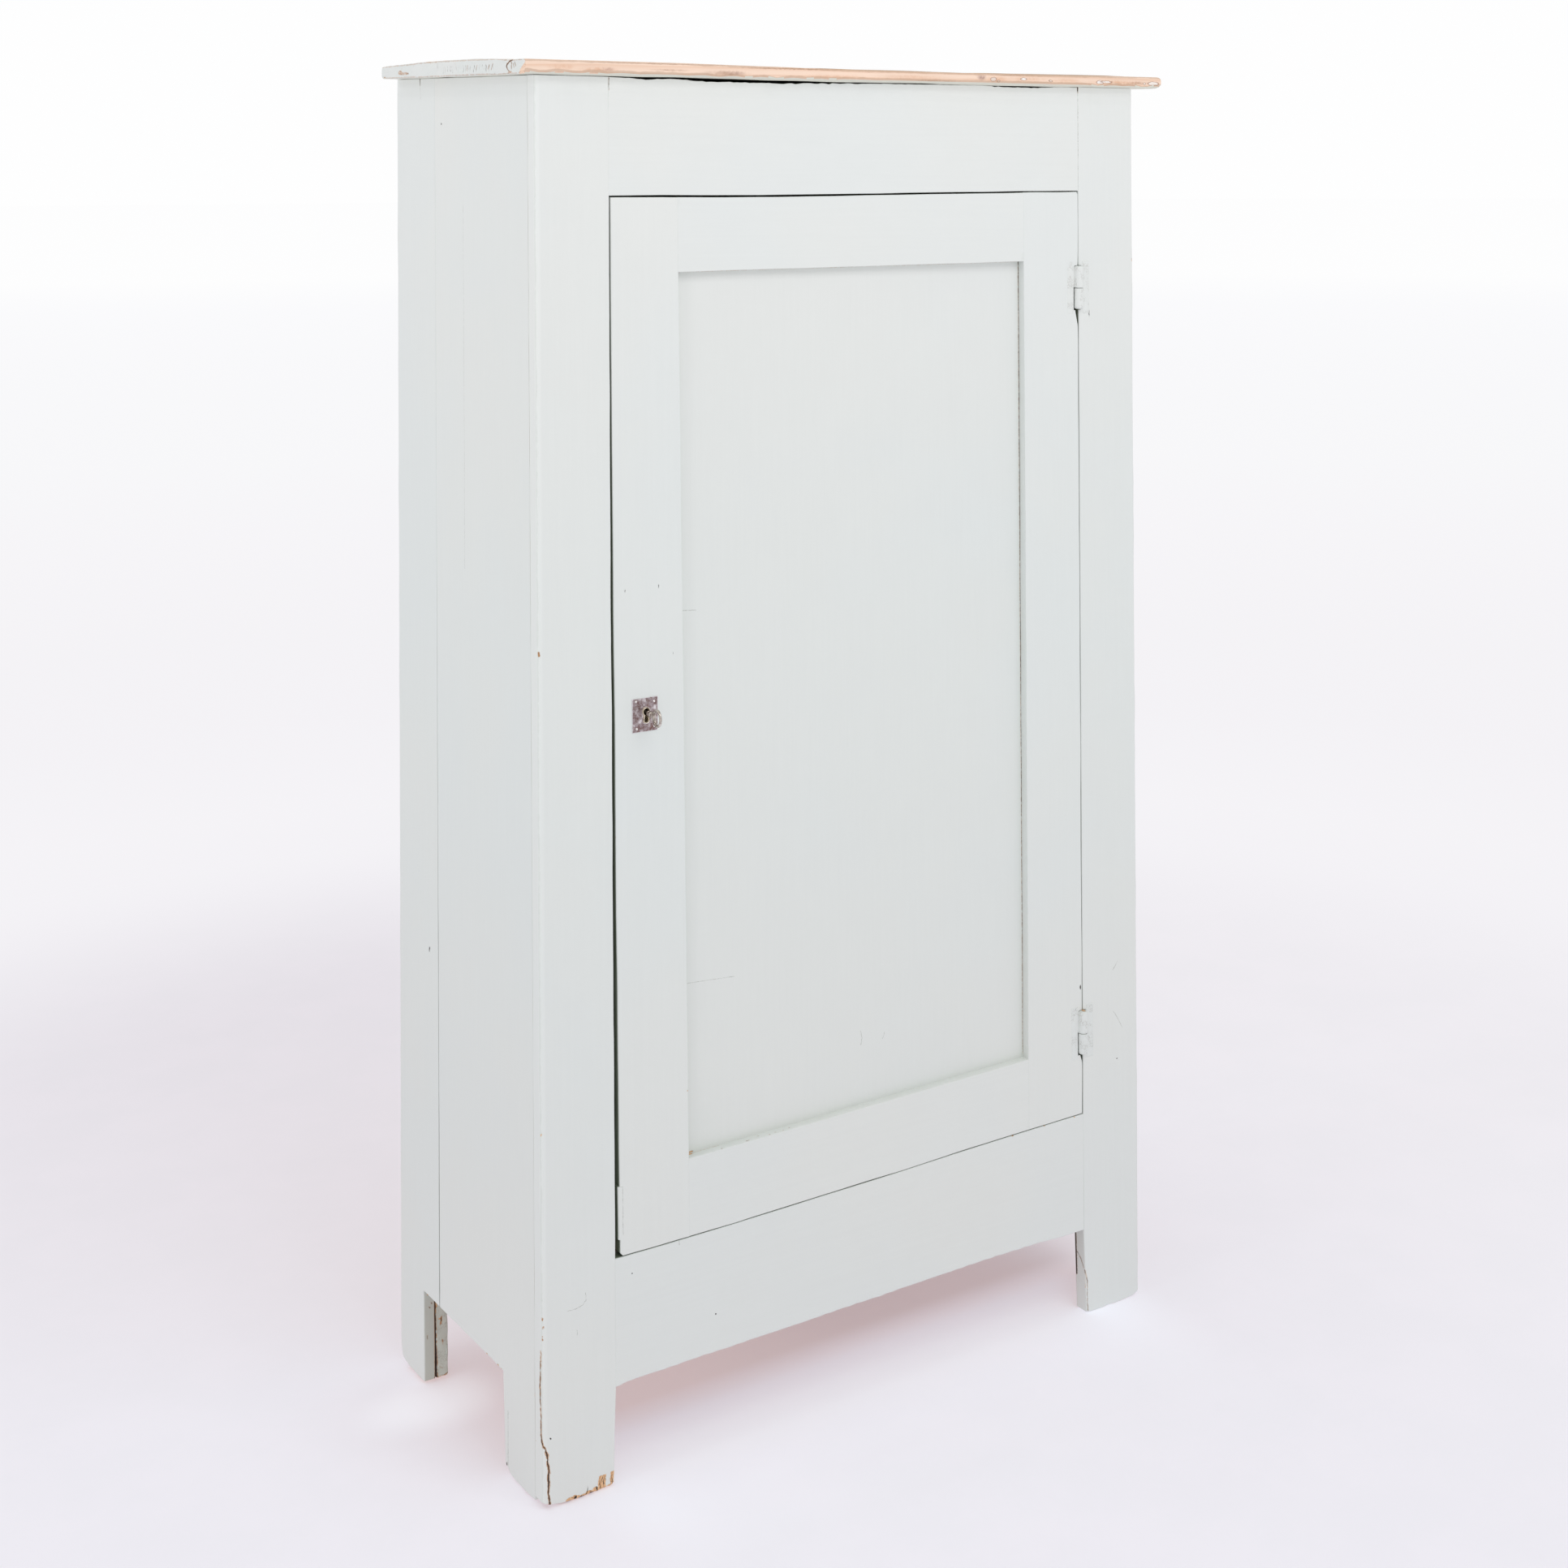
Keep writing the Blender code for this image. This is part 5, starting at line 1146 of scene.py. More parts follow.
def stile_l_slide(u, v, t):
    du = leg_in(u, v)
    dv = worn_foot(u, v, [(0, .0085), (.004, .0068), (.0097, .0045), (.019, .0022),
                          (.03, .0010), (.045, .0), (.062, .0010), (.075, .0003),
                          (.09, .0012), (.099, .0018), (.103, .0042)], 31)
    dt = np.zeros_like(u)
    rim = np.clip(1 - (STILE_IN_L - u) / 0.010, 0, 1) * (v > RAIL_Z1) * (v < FRIEZE_Z0)
    du = du - rim * table(v, [(.28, 0), (.6, .0004), (.93, .0006), (1.0, .0010),
                              (1.3, .0006), (1.55, 0)])
    return du, dv, dt


def stile_l_dent(u, v):
    d = near_line(u, v, FOOT_CRACK)
    cut = 0.0005 * np.exp(-np.clip(d, 0, 1) / 0.0009)
    chip = 0.0016 * np.clip(1 - np.hypot((u - 0.082) / 0.0062, (v - 0.006) / 0.0125), 0, 1)
    chip += 0.0012 * np.clip(1 - np.hypot((u - 0.0965) / 0.004, (v - 0.009) / 0.011), 0, 1)
    nick = 0.0016 * np.exp(-((u - 0.0004) / 0.0012) ** 2 - ((v - 1.0464) / 0.0026) ** 2)
    return cut * (v < 0.08) + chip + nick


def corner_grime(L):
    """Returns zero everywhere: no older coat is shown where the joint of rail and stile was scraped.
    """
    return 0.0 * L[:, 0]


BARREL = {}
for _n in ("upper", "lower"):
    _l = lo(f"hinge_{_n}_frame_leaf")
    _d = hi(f"hinge_{_n}_door_leaf")
    co = np.array([v.co for v in frame["nodes"][f"hinge_{_n}_frame_leaf"].data.vertices],
                  float) - O
    own = co[co[:, 1] < AX_Y - 0.004]
    top = np.array([v.co for v in frame["nodes"][f"hinge_{_n}_door_leaf"].data.vertices],
                   float) - O
    own2 = top[top[:, 1] < AX_Y - 0.004]
    BARREL[_n] = (own[:, 2].min(), own2[:, 2].max())
    BARREL[_n + "_split"] = (own[:, 2].max() + own2[:, 2].min()) / 2
_k = np.array([v.co for v in frame["nodes"]["hinge_upper_frame_leaf"].data.vertices],
              float) - O
_k = _k[_k[:, 1] < AX_Y - 0.004]
AX_X = (_k[:, 0].min() + _k[:, 0].max()) / 2
LEAF_Z = {n: (lo(f"hinge_{n}_frame_leaf")[2], hi(f"hinge_{n}_frame_leaf")[2])
          for n in ("upper", "lower")}
LEAF_OUT_R = hi("hinge_upper_frame_leaf")[0]
LEAF_OUT_L = lo("hinge_upper_door_leaf")[0]


def gap_shade(L):
    """Painted shade on the walls of the gap round the door, the hollows beside the hinge barrels,
    the gap under the top and the inner face of the right foot: how far the colour is darkened at
    each point.
    """
    x, y, z = L[:, 0], L[:, 1], L[:, 2]
    xf = FREE_B + (FREE_T - FREE_B) * (z - DZ0) / (DZ1 - DZ0)
    d = np.minimum.reduce([np.abs(x - xf), np.abs(x - DOOR_X1), np.abs(z - DZ1),
                           np.abs(z - DZ0)])
    box = (x > STILE_IN_L - 0.004) & (x < STILE_IN_R + 0.004) & (
        z > RAIL_Z1 - 0.012) & (z < FRIEZE_Z0 + 0.003)
    under_top = ((z > TOP_Z - 0.0046) & (y > 0.0006) & (y < 0.0205)
                 & (x > 0.0040) & (x < W - 0.0040))
    out = (smooth01(y, 0.0007, 0.0026) * np.clip(1 - (y - 0.016) / 0.003, 0, 1)
           * (d < 0.0105) * box)
    # paint bridges the narrow upper ends of the side gaps, so they get less painted shade
    left = np.abs(x - xf) < 0.006
    right = np.abs(x - DOOR_X1) < 0.010
    out = np.where(left, out * table(z, [(1.2, 1.0), (1.4, .85), (1.5, .65), (1.6, .5)]),
                   out)
    out = np.where(right, out * table(z, [(.44, 1), (.47, 1), (.50, .55), (.60, 1),
                                          (.66, .8), (.72, .9), (.80, .45), (.90, .5),
                                          (1.3, .7), (1.42, .55), (1.50, .3), (1.6, .15)]),
                   out)
    for n in ("upper", "lower"):
        z0, z1, sp = BARREL[n][0], BARREL[n][1], BARREL[n + "_split"]
        at_knuckle = (np.abs(x - AX_X) < 0.0088) & (y < 0.012)
        own = np.where(x < AX_X, z > sp, z < sp)
        inside = at_knuckle & (z > z0 - 0.002) & (z < z1 + 0.002)
        full = smooth01(y, 0.0005, 0.0018)
        out = np.where(inside, np.where(own, out * 0.25, full), out)
        below = right & (z < z0) & (z > z0 - 0.03)
        out = np.where(below, smooth01(y, 0.0007, 0.0026), out)
    foot = ((np.abs(x - STILE_IN_R) < 0.0045) & (y > 0.0012) & (y < 0.0225)
            & (z < RAIL_Z0 + 0.004))
    out = np.where(foot, np.maximum(out, table(z, [(.02, .0), (.06, .07), (.10, .17),
                                                   (.13, .24)])), out)
    return np.where(under_top, smooth01(y, 0.0004, 0.0016), out)


sl = rect(0.0, STILE_IN_L, 0.0, TOP_Z)
board("front_stile_left", "Y", sl, (0.0, FRAME_T),
      [0.0016, 0.0013, 0.0004, R_CORNER], [M_STILE_L, M_STILE_L, M_INNER],
      rad_back=0.0004, step=(0.013, 0.018),
      zones=([(0.0, 0.0135, 0.00075), (0.074, 0.1025, 0.0022)],
             [(0.0, 0.030, 0.0022), (0.030, 0.088, 0.0035), (0.088, 0.195, 0.009),
              (1.040, 1.053, 0.0022)]),
      dent=stile_l_dent, slide=stile_l_slide, seed=101,
      shade=gap_shade)


def knuckle_room(u, v, s):
    """Hollow beside a hinge barrel, so that it clears the stile."""
    out = np.zeros_like(u)
    for n in ("upper", "lower"):
        z0, z1 = BARREL[n]
        dx = np.abs(u - AX_X)
        low = (v < BARREL[n + "_split"])
        R = np.where(low & (s < 0), 0.0086, 0.0080)
        k = np.clip((v - (z1 - 0.0034)) / 0.0036, 0, 1)
        R = R - 0.0036 * (1 - np.sqrt(1 - np.clip(k, 0, 0.999) ** 2))
        if s > 0:
            k = np.clip(((z0 + 0.0034) - v) / 0.0036, 0, 1)
            R = R - 0.0036 * (1 - np.sqrt(1 - np.clip(k, 0, 0.999) ** 2))
        room = np.where(dx < R, AX_Y + np.sqrt(np.clip(R * R - dx * dx, 0, None)), 0)
        on = (v > z0 - 0.0017) & (v < z1 + 0.0006)
        out = np.maximum(out, np.clip(room, 0, None) * on)
    return out


def hinge_zones():
    z = []
    for n in ("upper", "lower"):
        a, b = BARREL[n]
        for c in (a - 0.0017, b + 0.0006):
            z.append((c - 0.0002, c + 0.0002, 0.0002))
        z.append((b - 0.0040, b + 0.0004, 0.0009))
        z.append((a - 0.0004, a + 0.0040, 0.0009))
    return z


def stile_r_slide(u, v, t):
    w = STILE_IN_L
    m = W - u
    du = -leg_in(m, v)
    dv = worn_foot(m, v, [(0, .0075), (.004, .0045), (.012, .0018), (.03, .0004),
                          (.07, .0), (.095, .0010), (.103, .0030)], 33)
    return du, dv, np.zeros_like(u)


board("front_stile_right", "Y", rect(STILE_IN_R, W, 0.0, TOP_Z), (0.0, FRAME_T),
      [0.0016, 0.0022, 0.0004, 0.0011], [M_STILE_R, M_STILE_R, M_INNER],
      rad_back=0.0004, step=(0.013, 0.020),
      zones=([(STILE_IN_R, STILE_IN_R + 0.0078, 0.0008), (W - 0.012, W, 0.003)],
             [(0.0, 0.030, 0.0024), (0.03, 0.13, 0.012), (1.504, 1.517, 0.0025)]
             + hinge_zones()),
      dent=lambda u, v: knuckle_room(u, v, 1)
      + 0.0014 * np.exp(-((u - W) / 0.0016) ** 2 - ((v - 1.5104) / 0.0028) ** 2),
      slide=stile_r_slide, seed=102,
      shade=gap_shade)

# rails run a little into the stiles, where the paint bridges the joints
IN = 0.0007


def frieze_slide(u, v, t):
    """The top edge falls short of the top board over part of its length."""
    near = np.clip((v - (TOP_Z - 0.02)) / 0.02, 0, 1) ** 2
    low = table(u, [(.10, .0002), (.135, .0008), (.15, .0018), (.20, .0008), (.225, .0020),
                    (.25, .0032), (.30, .0030), (.36, .0034), (.41, .0022), (.47, .0014),
                    (.55, .0006), (.70, .0004), (.745, .0016), (.79, .0014),
                    (.83, .0004), (.87, .0002)])
    rag = (np.abs(wander(np.stack([u, u * 0], 1), 41, 0.010, 0.0007))
           + np.abs(wander(np.stack([u, u * 0], 1), 42, 0.0045, 0.0004)))
    low = low + rag * np.clip(low / 0.0015, 0, 1)
    bottom = np.clip(1 - (v - FRIEZE_Z0) / 0.02, 0, 1)
    dip = table(u, [(.10, .0002), (.25, -.0008), (.35, -.0014), (.48, -.0008), (.65, .0),
                    (.74, .0003), (.87, .0003)])
    return np.zeros_like(u), -low * near + dip * bottom, np.zeros_like(u)


board("frieze_rail", "Y", rect(STILE_IN_L - IN, STILE_IN_R + 0.0001, FRIEZE_Z0, TOP_Z),
      (0.00008, FRAME_T), [0.0011, 0.0005, 0.0004, 0.0001],
      [M_FRIEZE, M_FRIEZE, M_INNER_X], rad_back=0.0004, step=(0.006, 0.016),
      zones=((), [(TOP_Z - 0.02, TOP_Z, 0.004)]), slide=frieze_slide, seed=103,
      shade=gap_shade)


def rail_slide(u, v, t):
    """Underside bows up slightly; the top edge follows the door's foot."""
    k = np.clip(1 - (v - RAIL_Z0) / 0.05, 0, 1)
    bow = table(u, [(.103, -.0002), (.13, .0010), (.19, .0022), (.26, .0020), (.37, .0022),
                    (.45, .0030), (.53, .0030), (.61, .0040), (.66, .0040), (.74, .0038),
                    (.79, .0026), (.83, .0005), (.869, .0)])
    rag = wander(np.stack([u, u * 0], 1), 51, 0.016, 0.00035)
    top = np.clip((v - (RAIL_Z1 - 0.06)) / 0.06, 0, 1)
    return np.zeros_like(u), (bow + rag) * k - foot_line(u) * top, np.zeros_like(u)


def foot_line(x):
    """How much lower than its right end the door's foot runs."""
    return table(x, [(.10, .0070), (.17, .0078), (.27, .0078), (.36, .0070), (.42, .0060),
                     (.55, .0048), (.64, .0026), (.75, .0012), (.869, .0)])


board("bottom_rail", "Y", rect(STILE_IN_L - IN, STILE_IN_R + 0.0001, RAIL_Z0, RAIL_Z1),
      (0.00010, FRAME_T), [0.0018, 0.0003, 0.0014, 0.0001],
      [M_RAIL, M_RAIL, M_INNER_X], rad_back=0.0006, step=(0.010, 0.014),
      zones=([(STILE_IN_L, STILE_IN_L + 0.02, 0.003)], ()), slide=rail_slide, seed=104,
      shade=gap_shade)

# sides
F0 = FRAME_T + 0.00012
LEG_F0 = edge_y = None
_co = np.array([v.co for v in frame["nodes"]["side_board_front_left"].data.vertices],
               float) - O
LEG_F0 = _co[_co[:, 2] < 0.004][:, 1].max()
_c2 = _co[(np.abs(_co[:, 2] - ARCH_Z) < 0.006)]
LEG_F1 = 0.1093 if len(_c2) == 0 else _c2[_c2[:, 1] < 0.2][:, 1].max()
SEAM = hi("side_board_front_left")[1]
SEAM2 = lo("side_board_rear_left")[1]
_co = np.array([v.co for v in frame["nodes"]["side_board_rear_left"].data.vertices],
               float) - O
LEG_R0 = _co[_co[:, 2] < 0.004][:, 1].min()
_c2 = _co[(np.abs(_co[:, 2] - ARCH_Z) < 0.006) & (_co[:, 1] > SEAM + 0.02)]
LEG_R1 = LEG_R0 + 0.003 if len(_c2) == 0 else _c2[:, 1].min()


def side_front_slide(seed):
    def f(u, v, t):
        k = np.clip(1 - v / ARCH_Z, 0, 1)
        du = -(LEG_F1 - LEG_F0) * k * np.clip((u - 0.05) / 0.05, 0, 1) * (u < 0.2)
        dv = worn_foot(u, v, [(.021, .0034), (.030, .0010), (.036, .0), (.08, .0002),
                              (.09, .0010), (.097, .0030), (.106, .0075)], seed)
        edge = wander(np.stack([u, u * 0], 1), seed + 5, 0.02, 0.0004)
        arch = bell(v, ARCH_Z, 0.006) * (u > LEG_F1 + 0.002)
        dv = dv + edge * arch
        return du, dv, np.zeros_like(u)
    return f


def side_rear_slide(seed):
    def f(u, v, t):
        k = np.clip(1 - v / ARCH_Z, 0, 1)
        du = -(LEG_R1 - LEG_R0) * k * bell(u, LEG_R1, 0.02)
        # rear lower corner worn round
        du = du - 0.0045 * np.clip(1 - v / 0.030, 0, 1) ** 1.5 * smooth01(u, D - 0.03, D)
        dv = worn_foot(u, v, [(.349, .0015), (.356, .0004), (.40, .0), (.415, .0012),
                              (.424, .0035), (D, .0065)], seed)
        return du, dv, np.zeros_like(u)
    return f


front_poly = [(F0, 0.0), (LEG_F1, 0.0), (LEG_F1, ARCH_Z), (SEAM + 0.00005, ARCH_Z),
              (SEAM + 0.00005, TOP_Z), (F0, TOP_Z)]
rear_poly = [(SEAM2 - 0.00005, ARCH_Z), (LEG_R1, ARCH_Z), (LEG_R1, 0.0), (D, 0.0),
             (D, TOP_Z), (SEAM2 - 0.00005, TOP_Z)]


def seam_slide(base, seed, sign):
    """The seam between the side boards opens a little towards the floor."""
    def f(u, v, t):
        du, dv, dt = base(u, v, t)
        near = bell(u, SEAM, 0.012)
        gap = table(v, [(0.12, .00130), (0.3, .00085), (0.6, .00050), (1.0, .00022),
                        (1.15, -0.00004), (1.76, -0.00004)])
        return du + sign * gap * near, dv, dt
    return f


def side_shade(L):
    """Painted shade on the walls of the seam between the side boards, and under the top."""
    x, y, z = L[:, 0], L[:, 1], L[:, 2]
    deep = smooth01(np.minimum(x, W - x), 0.0006, 0.0020)
    seam = (np.abs(y - SEAM) < 0.0016) & (z > ARCH_Z + 0.004)
    top = (z > TOP_Z - 0.0011)
    return deep * (seam | top)


for side, outer, inner, mf, mr in (("left", 0.0, SIDE_T, M_SIDE_FL, M_SIDE_RL),
                                   ("right", W, W - SIDE_T, M_SIDE_R, M_SIDE_R)):
    s = 0 if side == "left" else 40
    board(f"side_board_front_{side}", "X", front_poly, (outer, inner),
          [0.0014, 0.0014, 0.0012, 0.0005, 0.0004, 0.0003], [mf, mf, M_INNER],
          rad_back=0.0008, step=(0.016, 0.020),
          zones=([(F0, 0.03, 0.003), (0.092, 0.112, 0.003)],
                 [(0.0, 0.02, 0.003), (0.02, 0.12, 0.012)]),
          slide=seam_slide(side_front_slide(61 + s), 0, -1), seed=110 + s,
          shade=side_shade)
    board(f"side_board_rear_{side}", "X", rear_poly, (outer, inner),
          [0.0010, 0.0014, 0.0016, 0.0028, 0.0004, 0.0005], [mr, mr, M_INNER],
          rad_back=0.0008, step=(0.014, 0.020),
          zones=([(LEG_R0 - 0.006, LEG_R1 + 0.01, 0.003), (D - 0.03, D, 0.0035)],
                 [(0.0, 0.03, 0.0035), (0.03, 0.12, 0.012)]),
          slide=seam_slide(side_rear_slide(71 + s), 0, 1), seed=112 + s,
          shade=side_shade)

# rear foot blocks: rough offcuts behind the rear legs
for side in ("left", "right"):
    n = f"rear_foot_block_{side}"
    a, b = lo(n), hi(n)
    s = 0 if side == "left" else 9
    t = (a[0], b[0]) if side == "left" else (b[0], a[0])

    def block_slide(u, v, t_, s=s, a=a, t=t):
        k = np.clip(1 - v / ARCH_Z, 0, 1)
        rag = wander(np.stack([v, t_ * 3], 1), 81 + s, 0.012, 0.0008)
        du = (rag - 0.0030 * k) * bell(u, a[1], 0.01)
        wide = 0.0028 * np.clip((t_ - t[0]) / (t[1] - t[0]), 0, 1) * (1 if s == 0 else -1)
        dv = worn_foot(u, v, [(.345, .0022), (.36, .0006), (.41, .0008)], 83 + s)
        return du, dv, wide

    board(n, "X", rect(LEG_R1, b[1], 0.0, b[2]), t, 0.0018, M_FOOT,
          step=(0.008, 0.010), zones=([(LEG_R1, LEG_R1 + 0.01, 0.0025)],
                                      [(0, 0.02, 0.0025)]),
          slide=block_slide, seed=120 + s, swell=0.0006)

# inside: bearers, cleats, floor, shelves
k = 0
for n in sorted(frame["nodes"]):
    if n.startswith(("floor_bearer", "top_cleat", "shelf_cleat")):
        a, b = lo(n), hi(n)
        k += 1
        board(n, "X", rect(a[1], b[1], a[2], b[2]), (a[0], b[0]), 0.0013,
              PINE_IN[2], "bare_pine", step=(0.030, 0.012), seed=130 + k,
              swell=0.0003, wobble=0.0002, arc=2)
for i, n in enumerate(("floor_board", "shelf_1", "shelf_2", "shelf_3")):
    a, b = lo(n), hi(n)
    board(n, "Z", rect(a[0], b[0], a[1], b[1]), (b[2], a[2]), 0.0014,
          PINE_IN[0] if i % 2 else PINE_IN[3], "bare_pine", step=(0.030, 0.024),
          seed=150 + i, swell=0.0004, arc=2)
for i in range(1, 6):
    n = f"back_plank_{i}"
    a, b = lo(n), hi(n)
    m = pine(f"back_pine_{i}", "Z", 20 + 3 * i, early=(0.560, 0.345, 0.175),
             late=(0.340, 0.165, 0.070), grey=0.50, saw=1.0, knots=1.0, pitch=0.008,
             rubbed=0.55,
             stains=[(a[0] + 0.03, b[2] - 0.05, 0.0024, 0.0024, (0.07, 0.05, 0.04), 1.0),
                     (b[0] - 0.03, b[2] - 0.05, 0.0024, 0.0024, (0.07, 0.05, 0.04), 1.0),
                     (a[0] + 0.03, a[2] + 0.06, 0.0024, 0.0024, (0.07, 0.05, 0.04), 1.0),
                     (b[0] - 0.03, a[2] + 0.06, 0.0024, 0.0024, (0.07, 0.05, 0.04), 1.0)])

    def plank_slide(u, v, t_, i=i, z0=a[2]):
        bot = np.clip(1 - (v - z0) / 0.03, 0, 1)
        return (np.zeros_like(u), wander(np.stack([u, u * 0], 1), 160 + i, 0.05, 0.0012)
                * bot, np.zeros_like(u))

    board(n, "Y", rect(a[0], b[0], a[2], b[2]), (b[1], a[1]), 0.0016, m, "bare_pine",
          step=(0.020, 0.030), seed=160 + i, swell=0.0006, wobble=0.00018, arc=2,
          slide=plank_slide)

# the stop behind the door gap gets a dark tone (0.30): painted shade, so that the gap reads dark
n = "door_stop"
a, b = lo(n), hi(n)
board(n, "X", rect(a[1], b[1], a[2], b[2]), (b[0], a[0]), 0.0010,
      paint("painted_stop", "Z", "y", 16, tone=0.30, worn=0.6), "bare_pine",
      step=(0.006, 0.030), seed=170, arc=2, swell=0.0, wobble=0.00004,
      holes=[((lo("lock_bolt")[1] - 0.0008, lo("strike_plate")[2] + 0.0108),
              (hi("lock_bolt")[1] + 0.0008, hi("strike_plate")[2] - 0.0108))])

# ---------------------------------------------------------------------------
# Top: two boards.  The front one carries the bare, stripped front edge.
# ---------------------------------------------------------------------------
TA, TB = lo("top_board_front"), hi("top_board_front")
RA, RB = lo("top_board_rear"), hi("top_board_rear")
PEACH = (0.930, 0.715, 0.575)
PEACH_DEEP = (0.740, 0.430, 0.270)
BROWN = (0.330, 0.150, 0.080)
MAUVE = (0.430, 0.270, 0.230)
Z_MID = (TA[2] + TB[2]) / 2
M_TOP_EDGE = pine("top_front_edge", "X", 31, early=PEACH, late=PEACH_DEEP,
                  pitch=0.0090, drift=0.020, depth=0.34, knots=0.0, rubbed=0.35,
                  rough=0.66, plane="y",
                  stains=[(0.026, 1.7715, 0.020, 0.0035, PEACH_DEEP, 0.75),
                          (0.076, 1.7700, 0.028, 0.0032, PEACH_DEEP, 0.80),
                          (0.090, 1.7700, 0.010, 0.0030, MAUVE, 0.55),
                          (0.264, 1.7690, 0.032, 0.0034, BROWN, 0.60),
                          (0.280, 1.7690, 0.012, 0.0030, MAUVE, 0.45),
                          (0.180, 1.7710, 0.030, 0.0012, BROWN, 0.50),
                          (0.360, 1.7766, 0.090, 0.0011, BROWN, 0.70),
                          (0.170, 1.7786, 0.110, 0.0007, BROWN, 0.50),
                          (0.430, 1.7680, 0.050, 0.0024, PEACH_DEEP, 0.55),
                          (0.560, 1.7700, 0.060, 0.0030, PEACH_DEEP, 0.50),
                          (0.600, 1.7650, 0.050, 0.0018, BROWN, 0.40),
                          (0.6795, 1.7717, 0.0085, 0.0042, MAUVE, 0.95),
                          (0.7050, 1.7700, 0.020, 0.0040, PEACH_DEEP, 0.75),
                          (0.7600, 1.7710, 0.040, 0.0030, PEACH_DEEP, 0.55),
                          (0.8300, 1.7700, 0.030, 0.0030, PEACH_DEEP, 0.55),
                          (0.9300, 1.7690, 0.050, 0.0034, PEACH_DEEP, 0.80),
                          (0.9650, 1.7690, 0.020, 0.0026, BROWN, 0.50),
                          (0.7400, 1.7758, 0.050, 0.0008, BROWN, 0.65)],
                  fillers=[(0.6994, 1.7697, 0.0048, 0.0026, (0.78, 0.66, 0.58)),
                           (0.7085, 1.7672, 0.0022, 0.0014, (0.74, 0.58, 0.48)),
                           (0.7529, 1.7708, 0.0045, 0.0016, (0.93, 0.89, 0.86)),
                           (0.8021, 1.7692, 0.0024, 0.0009, (0.86, 0.74, 0.64)),
                           (0.8930, 1.7690, 0.0062, 0.0024, (0.93, 0.88, 0.84)),
                           (0.9050, 1.7696, 0.0085, 0.0012, (0.93, 0.88, 0.84)),
                           (0.9790, 1.7683, 0.0020, 0.0016, (0.86, 0.76, 0.68)),
                           (0.9960, 1.7688, 0.0095, 0.0024, (0.92, 0.84, 0.78))])
M_TOP_FACE = pine("top_face_pine", "X", 33, early=(0.720, 0.470, 0.270),
                  late=(0.430, 0.205, 0.085), pitch=0.0095, drift=0.05, depth=0.60,
                  knots=1.0, rough=0.52, grey=0.22, plane="z", rubbed=0.45,
                  stains=[(0.62, 0.11, 0.050, 0.046, (0.30, 0.16, 0.08), 0.35)])
M_TOP_FACE_R = pine("top_face_pine_rear", "X", 37, early=(0.690, 0.445, 0.250),
                    late=(0.410, 0.195, 0.080), pitch=0.0085, drift=0.045, depth=0.62,
                    knots=1.0, rough=0.55, grey=0.28, plane="z", rubbed=0.45)
M_TOP_UNDER = paint("top_underside", "X", "y", 18, tone=0.80, worn=0.35,
                    tint=(0.99, 0.955, 0.855))
M_TOP_END = end_paint("top_end_grain", 3, "x",
                      cracks=[[(0.0120, 1.7798, 0.0005), (0.0200, 1.7782, 0.0006),
                               (0.0270, 1.7748, 0.0007), (0.0287, 1.7718, 0.0008),
                               (0.0262, 1.7682, 0.0005), (0.0215, 1.7655, 0.0002)],
                              [(0.0150, 1.7772, 0.0004), (0.0176, 1.7722, 0.0005),
                               (0.0155, 1.7690, 0.0002)],
                              [(0.0060, 1.7770, 0.0003), (0.0042, 1.7726, 0.0003)],
                              [(0.0112, 1.7750, 0.0003), (0.0090, 1.7704, 0.0002)],
                              [(0.0700, 1.7760, 0.0003), (0.0730, 1.7690, 0.0003)],
                              [(0.0800, 1.7750, 0.0004), (0.0840, 1.7700, 0.0002)],
                              [(0.1150, 1.7750, 0.0002), (0.1170, 1.7700, 0.0003)],
                              [(0.1450, 1.7750, 0.0003), (0.1460, 1.7690, 0.0002)]],
                      chips=[(0.3480, 1.7680, 0.0160, 0.0018), (0.3600, 1.7700, 0.0060, 0.0024),
                             (0.0200, 1.7650, 0.0060, 0.0014)])
M_TOP_END_R = end_paint("top_end_grain_right", 5, "x",
                        cracks=[[(0.05, 1.777, 0.0004), (0.055, 1.767, 0.0004)]],
                        chips=[(0.13, 1.776, 0.010, 0.002)])


def top_height(x, y):
    """Cupping of the boards and the wave of the front edge."""
    cup = table(y, [(-.022, 0), (.02, .0002), (.07, .0022), (.12, .0034), (.20, .0036),
                    (.28, .0026), (.40, -.0004), (.424, -.0012)])
    wave = table(x, [(-.026, .0010), (.20, .0007), (.26, 0), (.36, -.0010), (.415, -.0020),
                     (.47, -.0029), (.80, -.0027), (.86, -.0026), (.92, -.0014),
                     (1.01, -.0014)])
    return cup, wave * np.clip(1 - (y + 0.022) / 0.20, 0, 1)


def top_slide(u, v, t):
    k = np.clip((t - TA[2]) / (TB[2] - TA[2]), 0, 1)
    cup, wave = top_height(u, v)
    dt = cup * k + wave * (0.45 + 0.55 * k)
    dt = np.maximum(dt, -0.0005 * (1 - k) + dt * k)
    # ends: rough, slightly out of square, rounded in plan at the front right
    le = np.clip(1 - (u - TA[0]) / 0.02, 0, 1)
    re = np.clip(1 - (TB[0] - u) / 0.03, 0, 1)
    du = le * 0.0016 + le * (wander(np.stack([v, t * 2], 1), 91, 0.02, 0.0006)
               + np.abs(wander(np.stack([v, t], 1), 92, 0.005, 0.0003)))
    du = du + re * (0.0042 - 0.0020 * bell(v, TA[1], 0.006)
                    - np.abs(wander(np.stack([v, t], 1), 93, 0.02, 0.0005)))
    fe = np.clip(1 - (v - TA[1]) / 0.02, 0, 1)
    dv = fe * (wander(np.stack([u, t * 3], 1), 94, 0.06, 0.0003) + 0.0012 * re * re)
    return du, dv, dt


